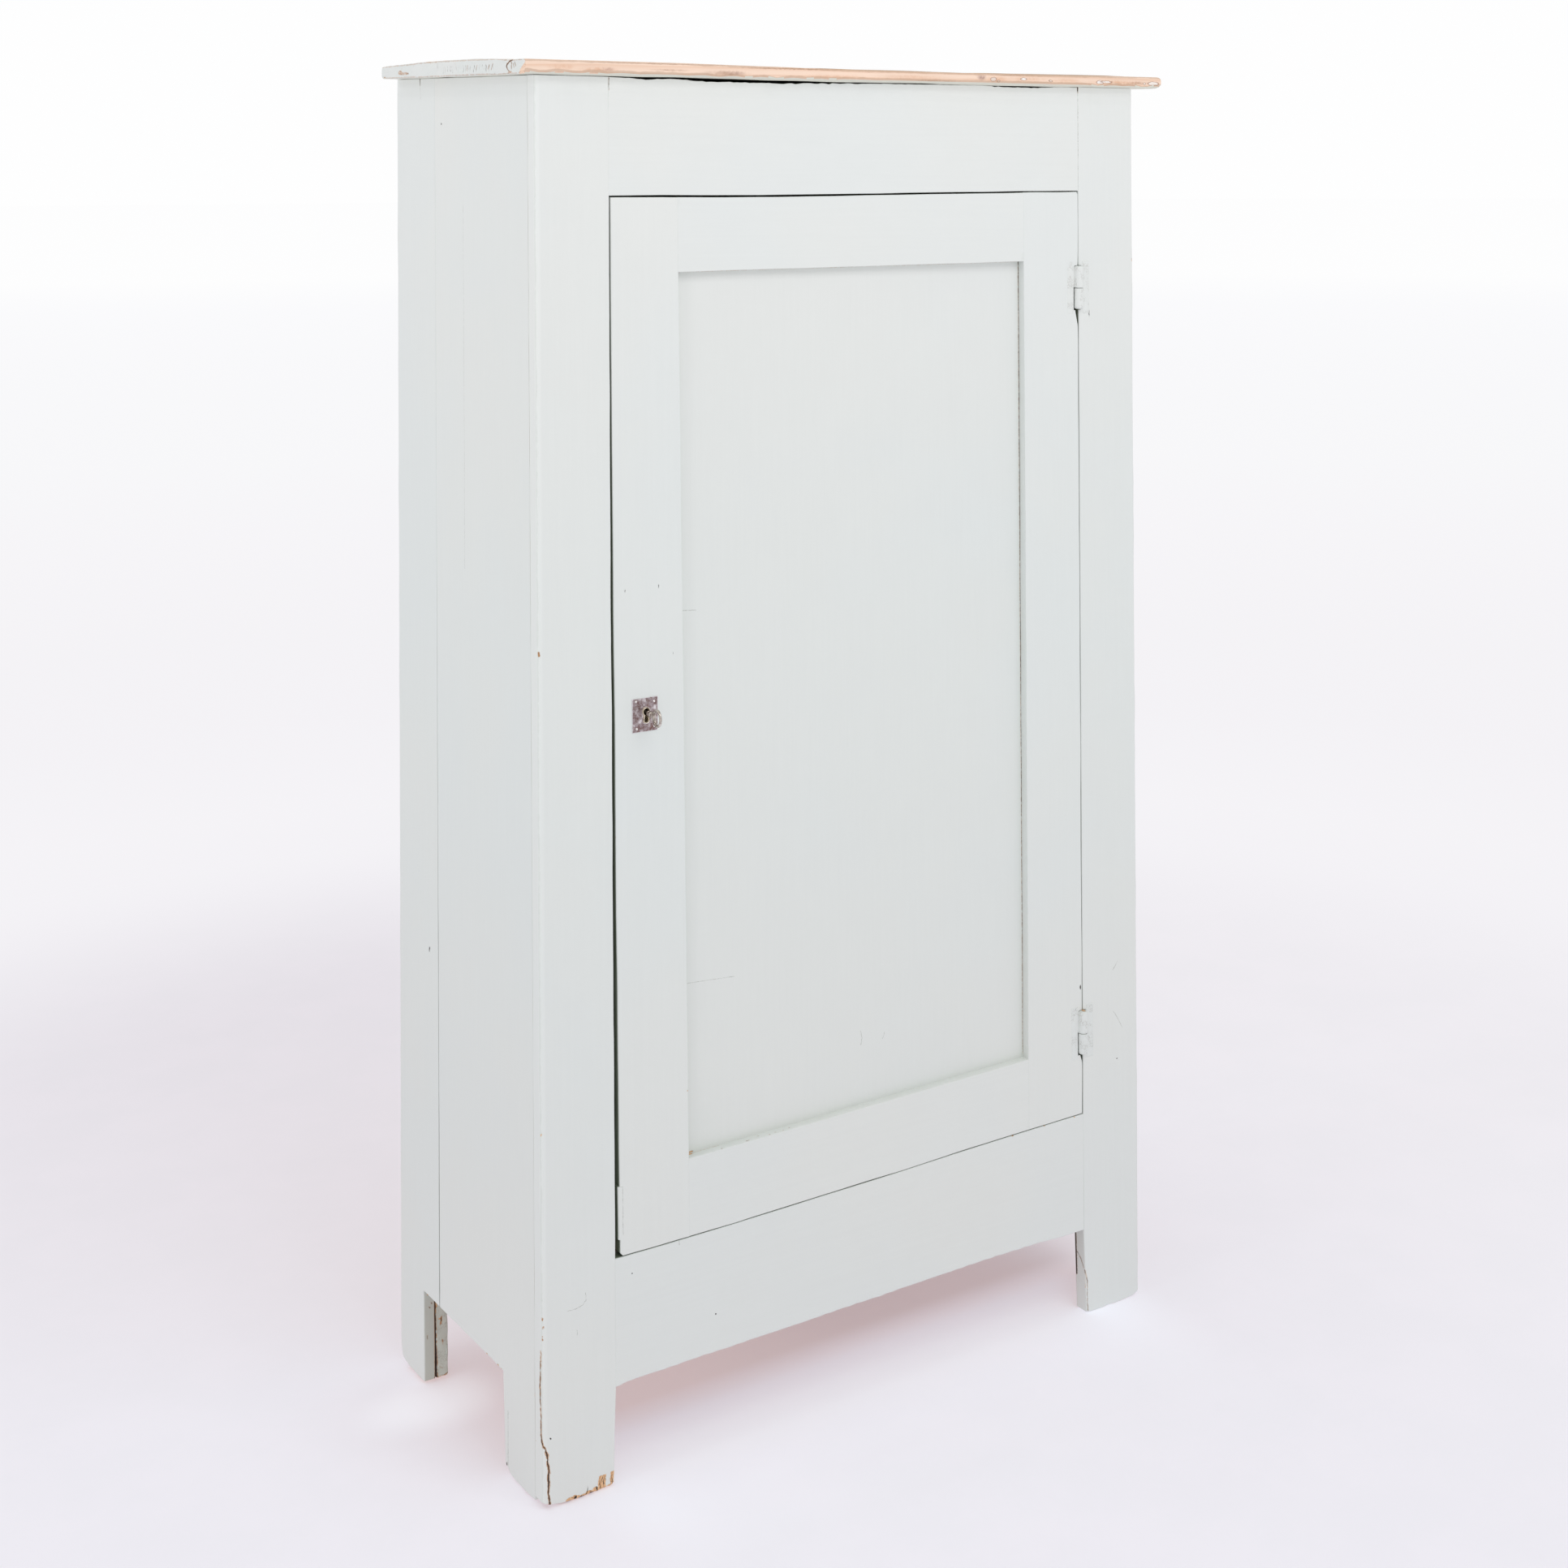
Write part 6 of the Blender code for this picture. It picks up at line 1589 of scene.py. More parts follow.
def top_pick(ends):
    def f(c, R):
        out = np.where(R == 0, 3, np.where(R == 2, 2, 0))
        # rim: the front edge takes index 0, the left end 1, and the right end 4 when ends is set,
        # else 0
        left = (c[:, 0] < TA[0] + 0.006) & (R == 1)
        right = (c[:, 0] > TB[0] - 0.006) & (R == 1)
        front = (R == 1) & ~left & ~right
        out = np.where(front, 0, out)
        out = np.where(left, 1, out)
        out = np.where(right, 4 if ends else 0, out)
        return out
    return f


def top_board(node, y0, y1, front):
    a, b = lo(node), hi(node)
    poly = rect(a[0], b[0], y0, y1)
    if front:
        under = [(0.0085, 0.0056), (0.0110, 0.0080), 0.0002, (0.0014, 0.0014)]
        over = [(0.0022, 0.0016), (0.0070, 0.0062), 0.0002, (0.0018, 0.0014)]
    else:
        under = [0.0002, 0.0040, 0.0030, (0.0014, 0.0014)]
        over = [0.0002, 0.0030, (0.0080, 0.0040), (0.0018, 0.0016)]
    P, F, E, R = slab(poly, (a[2], b[2]), under, rad_back=over, step=(0.012, 0.014),
                      zones=([(a[0], a[0] + 0.008, 0.002)], [(y0, y0 + 0.012, 0.002)]),
                      slide=top_slide, seed=180 if front else 181, swell=0.0004,
                      rows=(0.0, 0.10, 0.3, 0.5, 0.7, 0.90, 1.0), arc=4)
    L = P.copy()
    cen = np.array([L[f].mean(0) for f in F])
    mats = [M_TOP_UNDER, M_TOP_EDGE if front else M_TOP_FACE_R,
            M_TOP_FACE if front else M_TOP_FACE_R, M_TOP_END, M_TOP_END_R]
    idx = np.zeros(len(F), int)
    idx[R == 2] = 2
    if front:
        # the bare front: rim, and the top arris
        idx[(R == 1)] = 1
        idx[(R == 2) & (cen[:, 1] < TA[1] + 0.0032)] = 1
        idx[(R == 0) & (cen[:, 1] < TA[1] + 0.0016) & (cen[:, 2] > TA[2] + 0.0030)] = 1
        idx[(R == 1) & (cen[:, 1] > TA[1] + 0.02)] = 2
        idx[(R != 0) & (cen[:, 0] > TB[0] - 0.004) & (cen[:, 1] > TA[1] + 0.03)] = 4
    else:
        idx[(R == 1)] = 2
        idx[(R != 0) & (cen[:, 0] > TB[0] - 0.004)] = 4
    left = (cen[:, 0] < TA[0] + 0.0030) & (cen[:, 1] > TA[1] + 0.0012)
    idx[left] = 3
    return make(node + "_detail", "carcass", "top_pine", [node], L, F, mats, E, idx,
                None, 50)


top_board("top_board_front", TA[1], (TB[1] + RA[1]) / 2 - 0.0002, True)
top_board("top_board_rear", (TB[1] + RA[1]) / 2 + 0.0002, RB[1], False)

# ---------------------------------------------------------------------------
# Door
# ---------------------------------------------------------------------------
def lean_x(xt, xb, z):
    return xb + (xt - xb) * (z - DZ0) / (DZ1 - DZ0)


UF, UI = 0.0, 1.0        # left stile is built in a unit width and then leaned
STW = INNER_B - FREE_B
PROUD = -0.0004          # the door stands a touch proud of the frame


def open_grime(L):
    """Greenish older coat inside the recess, strongest low down."""
    x, y, z = L[:, 0], L[:, 1], L[:, 2]
    xl = lean_x(INNER_T, INNER_B, z)
    inn = smooth01(y, 0.0010, 0.0040)
    near = np.maximum.reduce([bell(x, xl, 0.003), bell(x, OPEN_X1, 0.003),
                              bell(z, OPEN_Z1, 0.003),
                              bell(z, SILL_L + (SILL_R - SILL_L) * (x - INNER_B)
                                   / (OPEN_X1 - INNER_B), 0.0035)])
    return inn * near * 0.45


def door_foot(x, z):
    """Lowers the door's lower edge to the line of its foot."""
    return -foot_line(x) * np.clip(1 - (z - DZ0) / 0.05, 0, 1)


def door_head(x, z):
    k = np.clip((z - (DZ1 - 0.04)) / 0.04, 0, 1)
    return k * table(x, [(.10, -.0002), (.18, -.0006), (.25, -.0012), (.36, -.0017),
                         (.48, -.0008), (.65, .0), (.74, .0004), (.78, .0010),
                         (.87, .0012)])


def stile_dl_slide(u, v, t):
    """Leans the left door stile and its inner arris; a slip of wood was let
    into the lower free edge."""
    s = u / STW
    x = lean_x(FREE_T, FREE_B, v) * (1 - s) + lean_x(INNER_T, INNER_B, v) * s
    slip = ((v > 0.3052) & (v < 0.3668)) * np.clip(1 - u / 0.004, 0, 1) * -0.0026
    corner = 0.0024 * np.clip(1 - (v - DZ0) / 0.0045, 0, 1) ** 2 * np.clip(1 - u / 0.004, 0, 1)
    dv = door_foot(x, v) + door_head(x, v)
    dv = dv + 0.0022 * np.clip(1 - u / 0.005, 0, 1) ** 2 * np.clip(1 - (v - DZ0) / 0.004, 0, 1)
    coat = np.clip(1 - u / 0.012, 0, 1) * table(v, [(.30, 0), (.45, .0004), (.75, .0010),
                                                    (1.00, .0012), (1.25, .0009),
                                                    (1.50, .0004), (1.60, 0)])
    return x + slip + corner - coat - u, dv, np.full_like(u, PROUD)


PL_LO, PL_HI = lo("escutcheon_plate"), hi("escutcheon_plate")
KH_LO, KH_HI = lo("keyhole_liner"), hi("keyhole_liner")
hx0 = (KH_LO[0] - 0.0006 - lean_x(FREE_T, FREE_B, KEYC[2]))
hx1 = (KH_HI[0] + 0.0006 - lean_x(FREE_T, FREE_B, KEYC[2]))
_w = (lean_x(INNER_T, INNER_B, KEYC[2]) - lean_x(FREE_T, FREE_B, KEYC[2])) / STW
hx0, hx1 = hx0 / _w, hx1 / _w


def stile_dl_dent(u, v):
    s = u / STW
    x = lean_x(FREE_T, FREE_B, v) * (1 - s) + lean_x(INNER_T, INNER_B, v) * s
    tick = 0.0004 * np.exp(-((x - 0.2091) / 0.0014) ** 2 - ((v - 0.4653) / 0.0016) ** 2)
    return tick


board("door_stile_left", "Y", rect(0.0, STW, DZ0, DZ1), (0.0, DOOR_T),
      [0.0014, 0.0008, 0.0010, 0.0012], [M_DSTILE_L, M_DSTILE_L, M_INNER],
      rad_back=0.0009, step=(0.012, 0.018), body="door", grime=open_grime,
      zones=([(0.0, 0.006, 0.0012)],
             [(0.3046, 0.3058, 0.0003), (0.3662, 0.3674, 0.0003), (DZ0, DZ0 + 0.006, 0.0012),
              (KH_LO[2] - 0.01, KH_HI[2] + 0.01, 0.006)]),
      holes=[((hx0, KH_LO[2] - 0.0006), (hx1, KH_HI[2] + 0.0006))],
      dent=stile_dl_dent, slide=stile_dl_slide, seed=201,
      shade=gap_shade)

def stile_dr_slide(u, v, t):
    """Rounded upper corner, and the edge cut back under each hinge."""
    rim = np.clip(1 - (DOOR_X1 - u) / 0.0062, 0, 1)
    du = -0.0026 * np.clip((v - DZ1 + 0.005) / 0.005, 0, 1) ** 2 * rim
    for n, length, deep in (("upper", 0.024, 0.0054), ("lower", 0.012, 0.0040)):
        z0 = BARREL[n][0]
        k = np.clip((v - (z0 - length)) / length, 0, 1) * (v < z0 + 0.004)
        du = du - deep * k * rim
    edge = np.clip(1 - (DOOR_X1 - u) / 0.004, 0, 1)
    du = du + edge * table(v, [(.28, 0), (.36, .0002), (.50, .0007), (.66, .0002),
                               (.80, .0007), (1.30, .0003), (1.42, .0002), (1.44, .0),
                               (1.515, .0), (1.52, .0009), (1.61, .0012)])
    return du, door_foot(u, v) + door_head(u, v), np.full_like(u, PROUD)


board("door_stile_right", "Y", rect(OPEN_X1, DOOR_X1, DZ0, DZ1), (0.0, DOOR_T),
      [0.0014, 0.0010, 0.0010, 0.0008], [M_DSTILE_R, M_DSTILE_R, M_INNER],
      rad_back=0.0009, step=(0.013, 0.020), body="door", grime=open_grime,
      zones=([(DOOR_X1 - 0.0078, DOOR_X1, 0.0008)],
             hinge_zones() + [(DZ1 - 0.006, DZ1, 0.0012)]
             + [(BARREL[n][0] - 0.026, BARREL[n][0] - 0.002, 0.004)
                for n in ("upper", "lower")]),
      dent=lambda u, v: knuckle_room(u, v, -1),
      slide=stile_dr_slide, seed=202, shade=gap_shade)


def drail_slide(lower):
    def f(u, v, t):
        s = (u - INNER_B) / (OPEN_X1 - INNER_B)
        xl = lean_x(INNER_T, INNER_B, v)
        x = xl - IN + (OPEN_X1 + IN - xl + IN) * np.clip(s, 0, 1)
        dv = door_foot(x, v) + door_head(x, v)
        if lower:
            top = np.clip((v - DZ0) / (SILL_R - DZ0), 0, 1)
            line = SILL_L + (SILL_R - SILL_L) * np.clip(s, 0, 1) - SILL_R
            dv = dv + line * top
        return x - u, dv, np.full_like(u, PROUD + 0.00010)
    return f


board("door_top_rail", "Y", rect(INNER_B, OPEN_X1, OPEN_Z1, DZ1), (0.0, DOOR_T),
      [0.0009, 0.0001, 0.0010, 0.0001], [M_DRAIL_T, M_DRAIL_T, M_INNER_X],
      rad_back=[0.0009, 0.0001, 0.0009, 0.0001], step=(0.018, 0.012), body="door",
      grime=open_grime, slide=drail_slide(False), seed=203,
      shade=gap_shade)


def sill_dent(u, v):
    out = np.zeros_like(u)
    for x, r, d in ((0.256, .0018, .0009), (0.264, .0014, .0008), (0.2995, .0020, .0009),
                    (0.3345, .0024, .0008), (0.487, .0020, .0008), (0.221, .006, .0012)):
        out += d * np.exp(-((u - x) / r) ** 2 - ((v - SILL_R) / 0.0022) ** 2)
    return out


board("door_bottom_rail", "Y", rect(INNER_B, OPEN_X1, DZ0, SILL_R), (0.0, DOOR_T),
      [0.0014, 0.0001, 0.0013, 0.0001], [M_DRAIL_B, M_DRAIL_B, M_INNER_X],
      rad_back=[0.0009, 0.0001, 0.0009, 0.0001], step=(0.014, 0.012), body="door",
      zones=([(0.215, 0.36, 0.0022)], ()), dent=sill_dent,
      grime=open_grime, slide=drail_slide(True), seed=204,
      shade=gap_shade)

# panel: slides in its groove; the field is flat with a raised back
PAN_LO, PAN_HI = lo("door_panel"), hi("door_panel")


def panel_slide(u, v, t):
    xl = lean_x(INNER_T, INNER_B, v) - 0.004
    s = (u - PAN_LO[0]) / (PAN_HI[0] - PAN_LO[0])
    x = xl + (OPEN_X1 + 0.005 - xl) * s
    return x - u, np.zeros_like(u), np.zeros_like(u)


def panel_grime(L):
    x, z = L[:, 0], L[:, 2]
    xl = lean_x(INNER_T, INNER_B, z)
    sill = SILL_L + (SILL_R - SILL_L) * (x - INNER_B) / (OPEN_X1 - INNER_B)
    g = 0.25 * bell(x, xl, 0.010) + 0.5 * bell(x, OPEN_X1, 0.005)
    g += 0.25 * bell(z, OPEN_Z1, 0.004) + 0.30 * bell(z, sill, 0.008)
    g += 0.30 * bell(x, xl, 0.05) * bell(z, sill, 0.09)
    return g


board("door_panel", "Y", rect(PAN_LO[0], PAN_HI[0], PAN_LO[2] + 0.001, PAN_HI[2] - 0.001),
      (PANEL_Y, PAN_HI[1]), 0.0006, [M_PANEL, M_PANEL, M_INNER],
      rad_back=(0.040, 0.0034), step=(0.016, 0.020), body="door", grime=panel_grime,
      zones=([(PAN_LO[0], PAN_LO[0] + 0.03, 0.003), (PAN_HI[0] - 0.014, PAN_HI[0], 0.002)],
             [(PAN_LO[2], PAN_LO[2] + 0.03, 0.003)]),
      dent=lambda u, v: 0.0004 * np.clip(1 - np.hypot((u - 0.221) / 0.006,
                                                      (v - 0.380) / 0.004), 0, 1),
      slide=panel_slide, seed=205, swell=0.00035)


# ---------------------------------------------------------------------------
# Hinges
# ---------------------------------------------------------------------------
KR = 0.0070


def knuckle(z0, z1, round0, round1):
    prof = [(0.0, z0)]
    for k in range(6):
        a = math.pi / 2 * k / 5
        prof.append((KR - round0 + round0 * math.sin(a),
                     z0 + round0 * 0.8 - round0 * 0.8 * math.cos(a)))
    n = 8
    for k in range(1, n):
        z = z0 + round0 * 0.8 + (z1 - z0 - (round0 + round1) * 0.8) * k / n
        prof.append((KR + 0.00012 * math.sin(k * 2.1 + z0 * 90), z))
    for k in range(6):
        a = math.pi / 2 * (1 - k / 5)
        prof.append((KR - round1 + round1 * math.sin(a),
                     z1 - round1 * 0.8 + round1 * 0.8 * math.cos(a)))
    prof.append((0.0, z1))
    return lathe(prof, (AX_X, AX_Y, 0.0), "Z", 44)


def leaf(side, name):
    z0, z1 = LEAF_Z[name]
    split = BARREL[name + "_split"]
    s = -1 if side == "door" else 1
    outer = LEAF_OUT_L if side == "door" else LEAF_OUT_R
    clear = AX_X + s * (KR + 0.0010)
    near = AX_X + s * 0.002
    if side == "frame":
        zb, zc = BARREL[name][0] + 0.001, split - 0.0006
    else:
        zb, zc = split + 0.0006, BARREL[name][1] - 0.001
    pts = [(outer, z0), (clear, z0), (clear, zb), (near, zb), (near, zc), (clear, zc),
           (clear, z1), (outer, z1)]
    area = sum(p[0] * q[1] - q[0] * p[1] for p, q in zip(pts, pts[1:] + pts[:1]))
    if area < 0:
        pts = pts[::-1]
    P, F, E, R = slab(pts, (-0.00042, 0.0020), 0.0009, step=(0.003, 0.004),
                      seed=210 + (side == "door") + 2 * (name == "upper"),
                      swell=0.00008, wobble=0.00010)
    return to_local("Y", P), F, E


for name in ("upper", "lower"):
    z0, z1 = BARREL[name]
    sp = BARREL[name + "_split"]
    for side, body in (("frame", "carcass"), ("door", "door")):
        LP, LF, LE = leaf(side, name)
        if side == "frame":
            kp, kf = knuckle(z0, sp - 0.0004, 0.0038, 0.0008)
            pin = lathe([(0, sp - 0.008), (0.0029, sp - 0.008), (0.0029, z1 - 0.0085),
                         (0.0022, z1 - 0.0080), (0, z1 - 0.0080)], (AX_X, AX_Y, 0), "Z", 24)
            PP, FF = merge((LP, LF), (kp, kf), pin)
        else:
            kp, kf = knuckle(sp + 0.0004, z1, 0.0008, 0.0038)
            PP, FF = merge((LP, LF), (kp, kf))
        EE = np.concatenate([LE, np.full(len(PP) - len(LE), 0.006)])
        # knuckle ends count as edges, where the paint is rubbed
        kz = PP[len(LE):, 2]
        ends = np.minimum(np.abs(kz - z0), np.minimum(np.abs(kz - z1), np.abs(kz - sp)))
        EE[len(LE):] = np.clip(ends, 0.0006, 0.006)
        make(f"hinge_{name}_{side}_leaf_detail", body, "painted_iron",
             [f"hinge_{name}_{side}_leaf"], PP, FF, M_HINGE, EE, None,
             np.clip(1 - EE / 0.004, 0, 1) * 0.2, 35)

# ---------------------------------------------------------------------------
# Lock furniture
# ---------------------------------------------------------------------------
M_PLATE = metal("escutcheon_iron", (0.200, 0.120, 0.110), (0.420, 0.345, 0.360),
                (0.840, 0.800, 0.820), seed=2, rough=(0.34, 0.60), rust=0.75, scale=2.4,
                wear=1.3)
M_NAIL = metal("nail_heads", (0.40, 0.34, 0.33), (0.66, 0.60, 0.59),
               (0.95, 0.92, 0.90), seed=4, rough=(0.22, 0.40), wear=1.0)
M_BRASS = metal("liner_brass", (0.44, 0.33, 0.20), (0.74, 0.62, 0.44),
                (0.96, 0.88, 0.74), seed=6, rough=(0.18, 0.38), wear=0.8)
M_KEY = metal("key_nickel", (0.25, 0.20, 0.17), (0.56, 0.50, 0.45),
              (0.97, 0.93, 0.88), seed=8, rough=(0.08, 0.22), scratch=0.6, wear=1.0)
M_LOCKCASE = metal("lock_case_iron", (0.105, 0.088, 0.078), (0.200, 0.175, 0.160),
                   (0.420, 0.390, 0.370), seed=12, source="object", rust=0.5)
M_LOCKSTEEL = metal("lock_steel", (0.24, 0.22, 0.20), (0.40, 0.38, 0.36),
                    (0.70, 0.68, 0.66), seed=14, source="object", rough=(0.25, 0.45))


def keyhole_points(grow, n=36):
    """Round head over a slot that flares to a rounded foot, from the CAD liner."""
    co = np.array([v.co for v in frame["nodes"]["keyhole_liner"].data.vertices],
                  float) - O
    front = co[co[:, 1] < co[:, 1].min() + 0.0002]
    cx = (front[:, 0].min() + front[:, 0].max()) / 2
    zt, zb = front[:, 2].max(), front[:, 2].min()
    rim = 0.0015
    r = 0.0041 + grow
    zc = zt - rim - 0.0041
    low = zb + rim - grow
    hw, fw = 0.0017 + grow, 0.0031 + grow
    pts = []
    a0 = math.asin(min(0.98, hw / r))
    for i in range(n + 1):
        a = -math.pi / 2 + a0 + (2 * math.pi - 2 * a0) * i / n
        pts.append((cx + r * math.cos(a), zc + r * math.sin(a)))
    k = 0.0026
    for i in range(7):
        a = math.pi + math.pi * i / 6
        pts.append((cx + fw * math.cos(a), low + k + k * math.sin(a)))
    return pts


def ring_solid(outer, inner, y0, y1, lip=0.0):
    """A wall between two outlines with the same number of points."""
    n = len(outer)
    P, F = [], []
    rows = [(inner, y1), (inner, y0 + lip)]
    mid = [((a + c) / 2, (b + d) / 2) for (a, b), (c, d) in zip(inner, outer)]
    q = [((a * 3 + c) / 4, (b * 3 + d) / 4) for (a, b), (c, d) in zip(inner, outer)]
    q2 = [((a + c * 3) / 4, (b + d * 3) / 4) for (a, b), (c, d) in zip(inner, outer)]
    rows += [(q, y0 + lip * 0.22), (mid, y0), (q2, y0 + lip * 0.22), (outer, y0 + lip),
             (outer, y1)]
    for pts, y in rows:
        P += [(a, y, b) for a, b in pts]
    m = len(rows)
    for r in range(m):
        r2 = (r + 1) % m
        for k in range(n):
            k2 = (k + 1) % n
            F.append([r * n + k, r * n + k2, r2 * n + k2, r2 * n + k])
    return np.array(P, float), F


kin = keyhole_points(0.0)
kout = keyhole_points(0.0014)
P, F = ring_solid(kout, kin, KH_LO[1], KH_HI[1], 0.0009)
make("keyhole_liner_detail", "door", "brass_liner", ["keyhole_liner"], P, F, M_BRASS,
     np.full(len(P), 0.0004), None, None, 50)

# plate: a hand-cut square with the keyhole through it
kh = keyhole_points(0.0017)
pw0, pw1, pz0, pz1 = PL_LO[0], PL_HI[0], PL_LO[2], PL_HI[2]
bmp = bmesh.new()
outline = []
corners = [(pw0 + .0003, pz0 + .0002), (pw1, pz0 + .0005), (pw1 - .0002, pz1), (pw0, pz1 - .0003)]
for i in range(4):
    a, b = np.array(corners[i]), np.array(corners[(i + 1) % 4])
    for k in range(18):
        p = a + (b - a) * k / 18
        outline.append(tuple(p))
outline = np.array(outline)
outline += np.stack([wander(outline, 301, 0.02, 0.00012),
                     wander(outline, 302, 0.02, 0.00012)], 1)


def loop(pts):
    vs = [bmp.verts.new((p[0], 0.0, p[1])) for p in pts]
    return [bmp.edges.new((vs[i], vs[(i + 1) % len(vs)])) for i in range(len(vs))]


e_out, e_in = loop(outline), loop(kh)
bmesh.ops.triangle_fill(bmp, use_beauty=True, edges=e_out + e_in, normal=(0, -1, 0))
bmesh.ops.subdivide_edges(bmp, edges=[e for e in bmp.edges if not e.is_boundary], cuts=2,
                          use_grid_fill=True)
ext = bmesh.ops.extrude_face_region(bmp, geom=bmp.faces[:])
for g in ext["geom"]:
    if isinstance(g, bmesh.types.BMVert):
        g.co.y -= 1.0
bmesh.ops.recalc_face_normals(bmp, faces=bmp.faces[:])
bmp.verts.ensure_lookup_table()
P = np.array([v.co for v in bmp.verts], float)
F = [[v.index for v in f.verts] for f in bmp.faces]
bmp.free()
is_front = P[:, 1] < -0.5
do = np.minimum.reduce([P[:, 0] - pw0, pw1 - P[:, 0], P[:, 2] - pz0, pz1 - P[:, 2]])
dk = np.min(np.hypot(P[:, 0][:, None] - np.array(kh)[:, 0][None],
                     P[:, 2][:, None] - np.array(kh)[:, 1][None]), axis=1)
edge_d = np.clip(np.minimum(do, dk), 0, 1)
q2 = P[:, [0, 2]]
front_y = PL_LO[1] + 0.00022 * np.exp(-edge_d / 0.0005) + wander(q2, 305, 0.012, 0.00012)
back_y = np.full(len(P), PL_HI[1] + PROUD + 0.0002)
P[:, 1] = np.where(is_front, front_y, back_y)
make("escutcheon_plate_detail", "door", IRON_SLOT, ["escutcheon_plate"], P, F, M_PLATE,
     edge_d, None, None, 40)

for i in range(1, 5):
    n = f"escutcheon_nail_{i}"
    a, b = lo(n), hi(n)
    c = (a + b) / 2
    r0 = (b[0] - a[0]) / 2
    prof = [(0.0, a[1])]
    for k in range(1, 6):
        t_ = k / 5
        prof.append((r0 * math.sin(t_ * math.pi / 2),
                     a[1] + 0.0009 * (1 - math.cos(t_ * math.pi / 2)) * 0.9))
    prof += [(r0 * 0.92, a[1] + 0.0011), (0.0006, a[1] + 0.0012), (0.0005, b[1] - 0.001),
             (0.0, b[1])]
    P, F = lathe(prof, (c[0], 0.0, c[2]), "Y", 24)
    head = P[:, 1] < a[1] + 0.0012
    ang = np.arctan2(P[:, 2] - c[2], P[:, 0] - c[0])
    P[:, 0] = c[0] + (P[:, 0] - c[0]) * (1 + 0.07 * np.sin(2 * ang + i))
    P[:, 1] += head * wander(P[:, [0, 2]], 310 + i, 0.0022, 0.00012)
    make(n + "_detail", "door", IRON_SLOT, [n], P, F, M_NAIL,
         np.where(head, 0.0003, 0.004), None, None, 50)

# key: oval bow, turned collar, shank, and the bit inside the lock
ka, kb = lo("key"), hi("key")
kc = np.array([v.co for v in frame["nodes"]["key"].data.vertices], float) - O
shank = kc[(kc[:, 1] > -0.006) & (kc[:, 1] < 0.015)]
KX = (shank[:, 0].min() + shank[:, 0].max()) / 2
KZ = (shank[:, 2].min() + shank[:, 2].max()) / 2
SR = (shank[:, 0].max() - shank[:, 0].min()) / 2
bow = kc[kc[:, 1] < -0.0205]
BOW_Z = (bow[:, 2].min() + bow[:, 2].max()) / 2
BOW_H = (bow[:, 2].max() - bow[:, 2].min()) / 2
tip = ka[1]
BOW_D = 0.0105
BOW_Y = tip + BOW_D


def ring_tube(cy, cz, ay, az, th, tw, n=72, m=16):
    """An oval ring in the YZ plane with a rounded, slightly flat section."""
    P, F = [], []
    for i in range(n):
        a = 2 * math.pi * i / n
        y, z = cy + ay * math.cos(a), cz + az * math.sin(a)
        ny, nz = math.cos(a) / ay, math.sin(a) / az
        ln = math.hypot(ny, nz)
        ny, nz = ny / ln, nz / ln
        fat = 1.0 + 0.16 * math.cos(a)
        for j in range(m):
            b = 2 * math.pi * j / m
            cb, sb = math.cos(b), math.sin(b)
            cb = math.copysign(abs(cb) ** 0.8, cb)
            sb = math.copysign(abs(sb) ** 0.8, sb)
            P.append((KX + tw * fat * sb, y + th * fat * cb * ny, z + th * fat * cb * nz))
    for i in range(n):
        i2 = (i + 1) % n
        for j in range(m):
            j2 = (j + 1) % m
            F.append([i * m + j, i * m + j2, i2 * m + j2, i2 * m + j])
    return np.array(P), F


ring = ring_tube(BOW_Y, BOW_Z, BOW_D - 0.0018, BOW_H - 0.0019, 0.0018, 0.0021)
neck0 = BOW_Y + BOW_D - 0.0032
stem_prof = [(0.0, neck0), (0.0020, neck0 + 0.0002), (0.0026, neck0 + 0.0016),
             (0.0024, neck0 + 0.0030), (0.0030, neck0 + 0.0036)]
ball = -0.0112
for k in range(9):
    a = math.pi * k / 8
    stem_prof.append((0.0027 + 0.0015 * math.sin(a), ball - 0.0030 * math.cos(a)))
stem_prof += [(0.0030, ball + 0.0034), (0.0034, ball + 0.0038), (0.0034, ball + 0.0046),
              (SR, ball + 0.0050)]
end = kb[1]
stem_prof += [(SR, ball + 0.0050 + (end - ball - 0.0062) * k / 10) for k in range(1, 11)]
stem_prof += [(SR * 0.8, end - 0.0004), (0.0014, end), (0.0, end)]
stem_prof = [p for i, p in enumerate(stem_prof)
             if i == 0 or p[1] >= stem_prof[i - 1][1] - 1e-9 or True]
stem = lathe(stem_prof, (KX, 0.0, KZ), "Y", 32)
bit = kc[(kc[:, 2] < KZ - SR - 0.001) & (kc[:, 1] > 0.0)]
parts = [ring, stem]
if len(bit):
    b0, b1 = bit.min(0), bit.max(0)
    bp, bf, be, br = slab([(b0[1], b0[2]), (b1[1], b0[2]), (b1[1], b0[2] + 0.003),
                           (b1[1], KZ - SR * 0.3), (b0[1], KZ - SR * 0.3)],
                          (b0[0], b1[0]), 0.0003, step=(0.001, 0.001), wobble=0.0,
                          swell=0.0, seed=320)
    parts.append((to_local("X", bp), bf))
P, F = merge(*parts)
P[:, 2] -= 0.0020 * np.clip((-P[:, 1] - 0.003) / 0.018, 0, 1.3)
make("key_detail", "key", "bright_key", ["key"], P, F, M_KEY, None, None, None, 40)
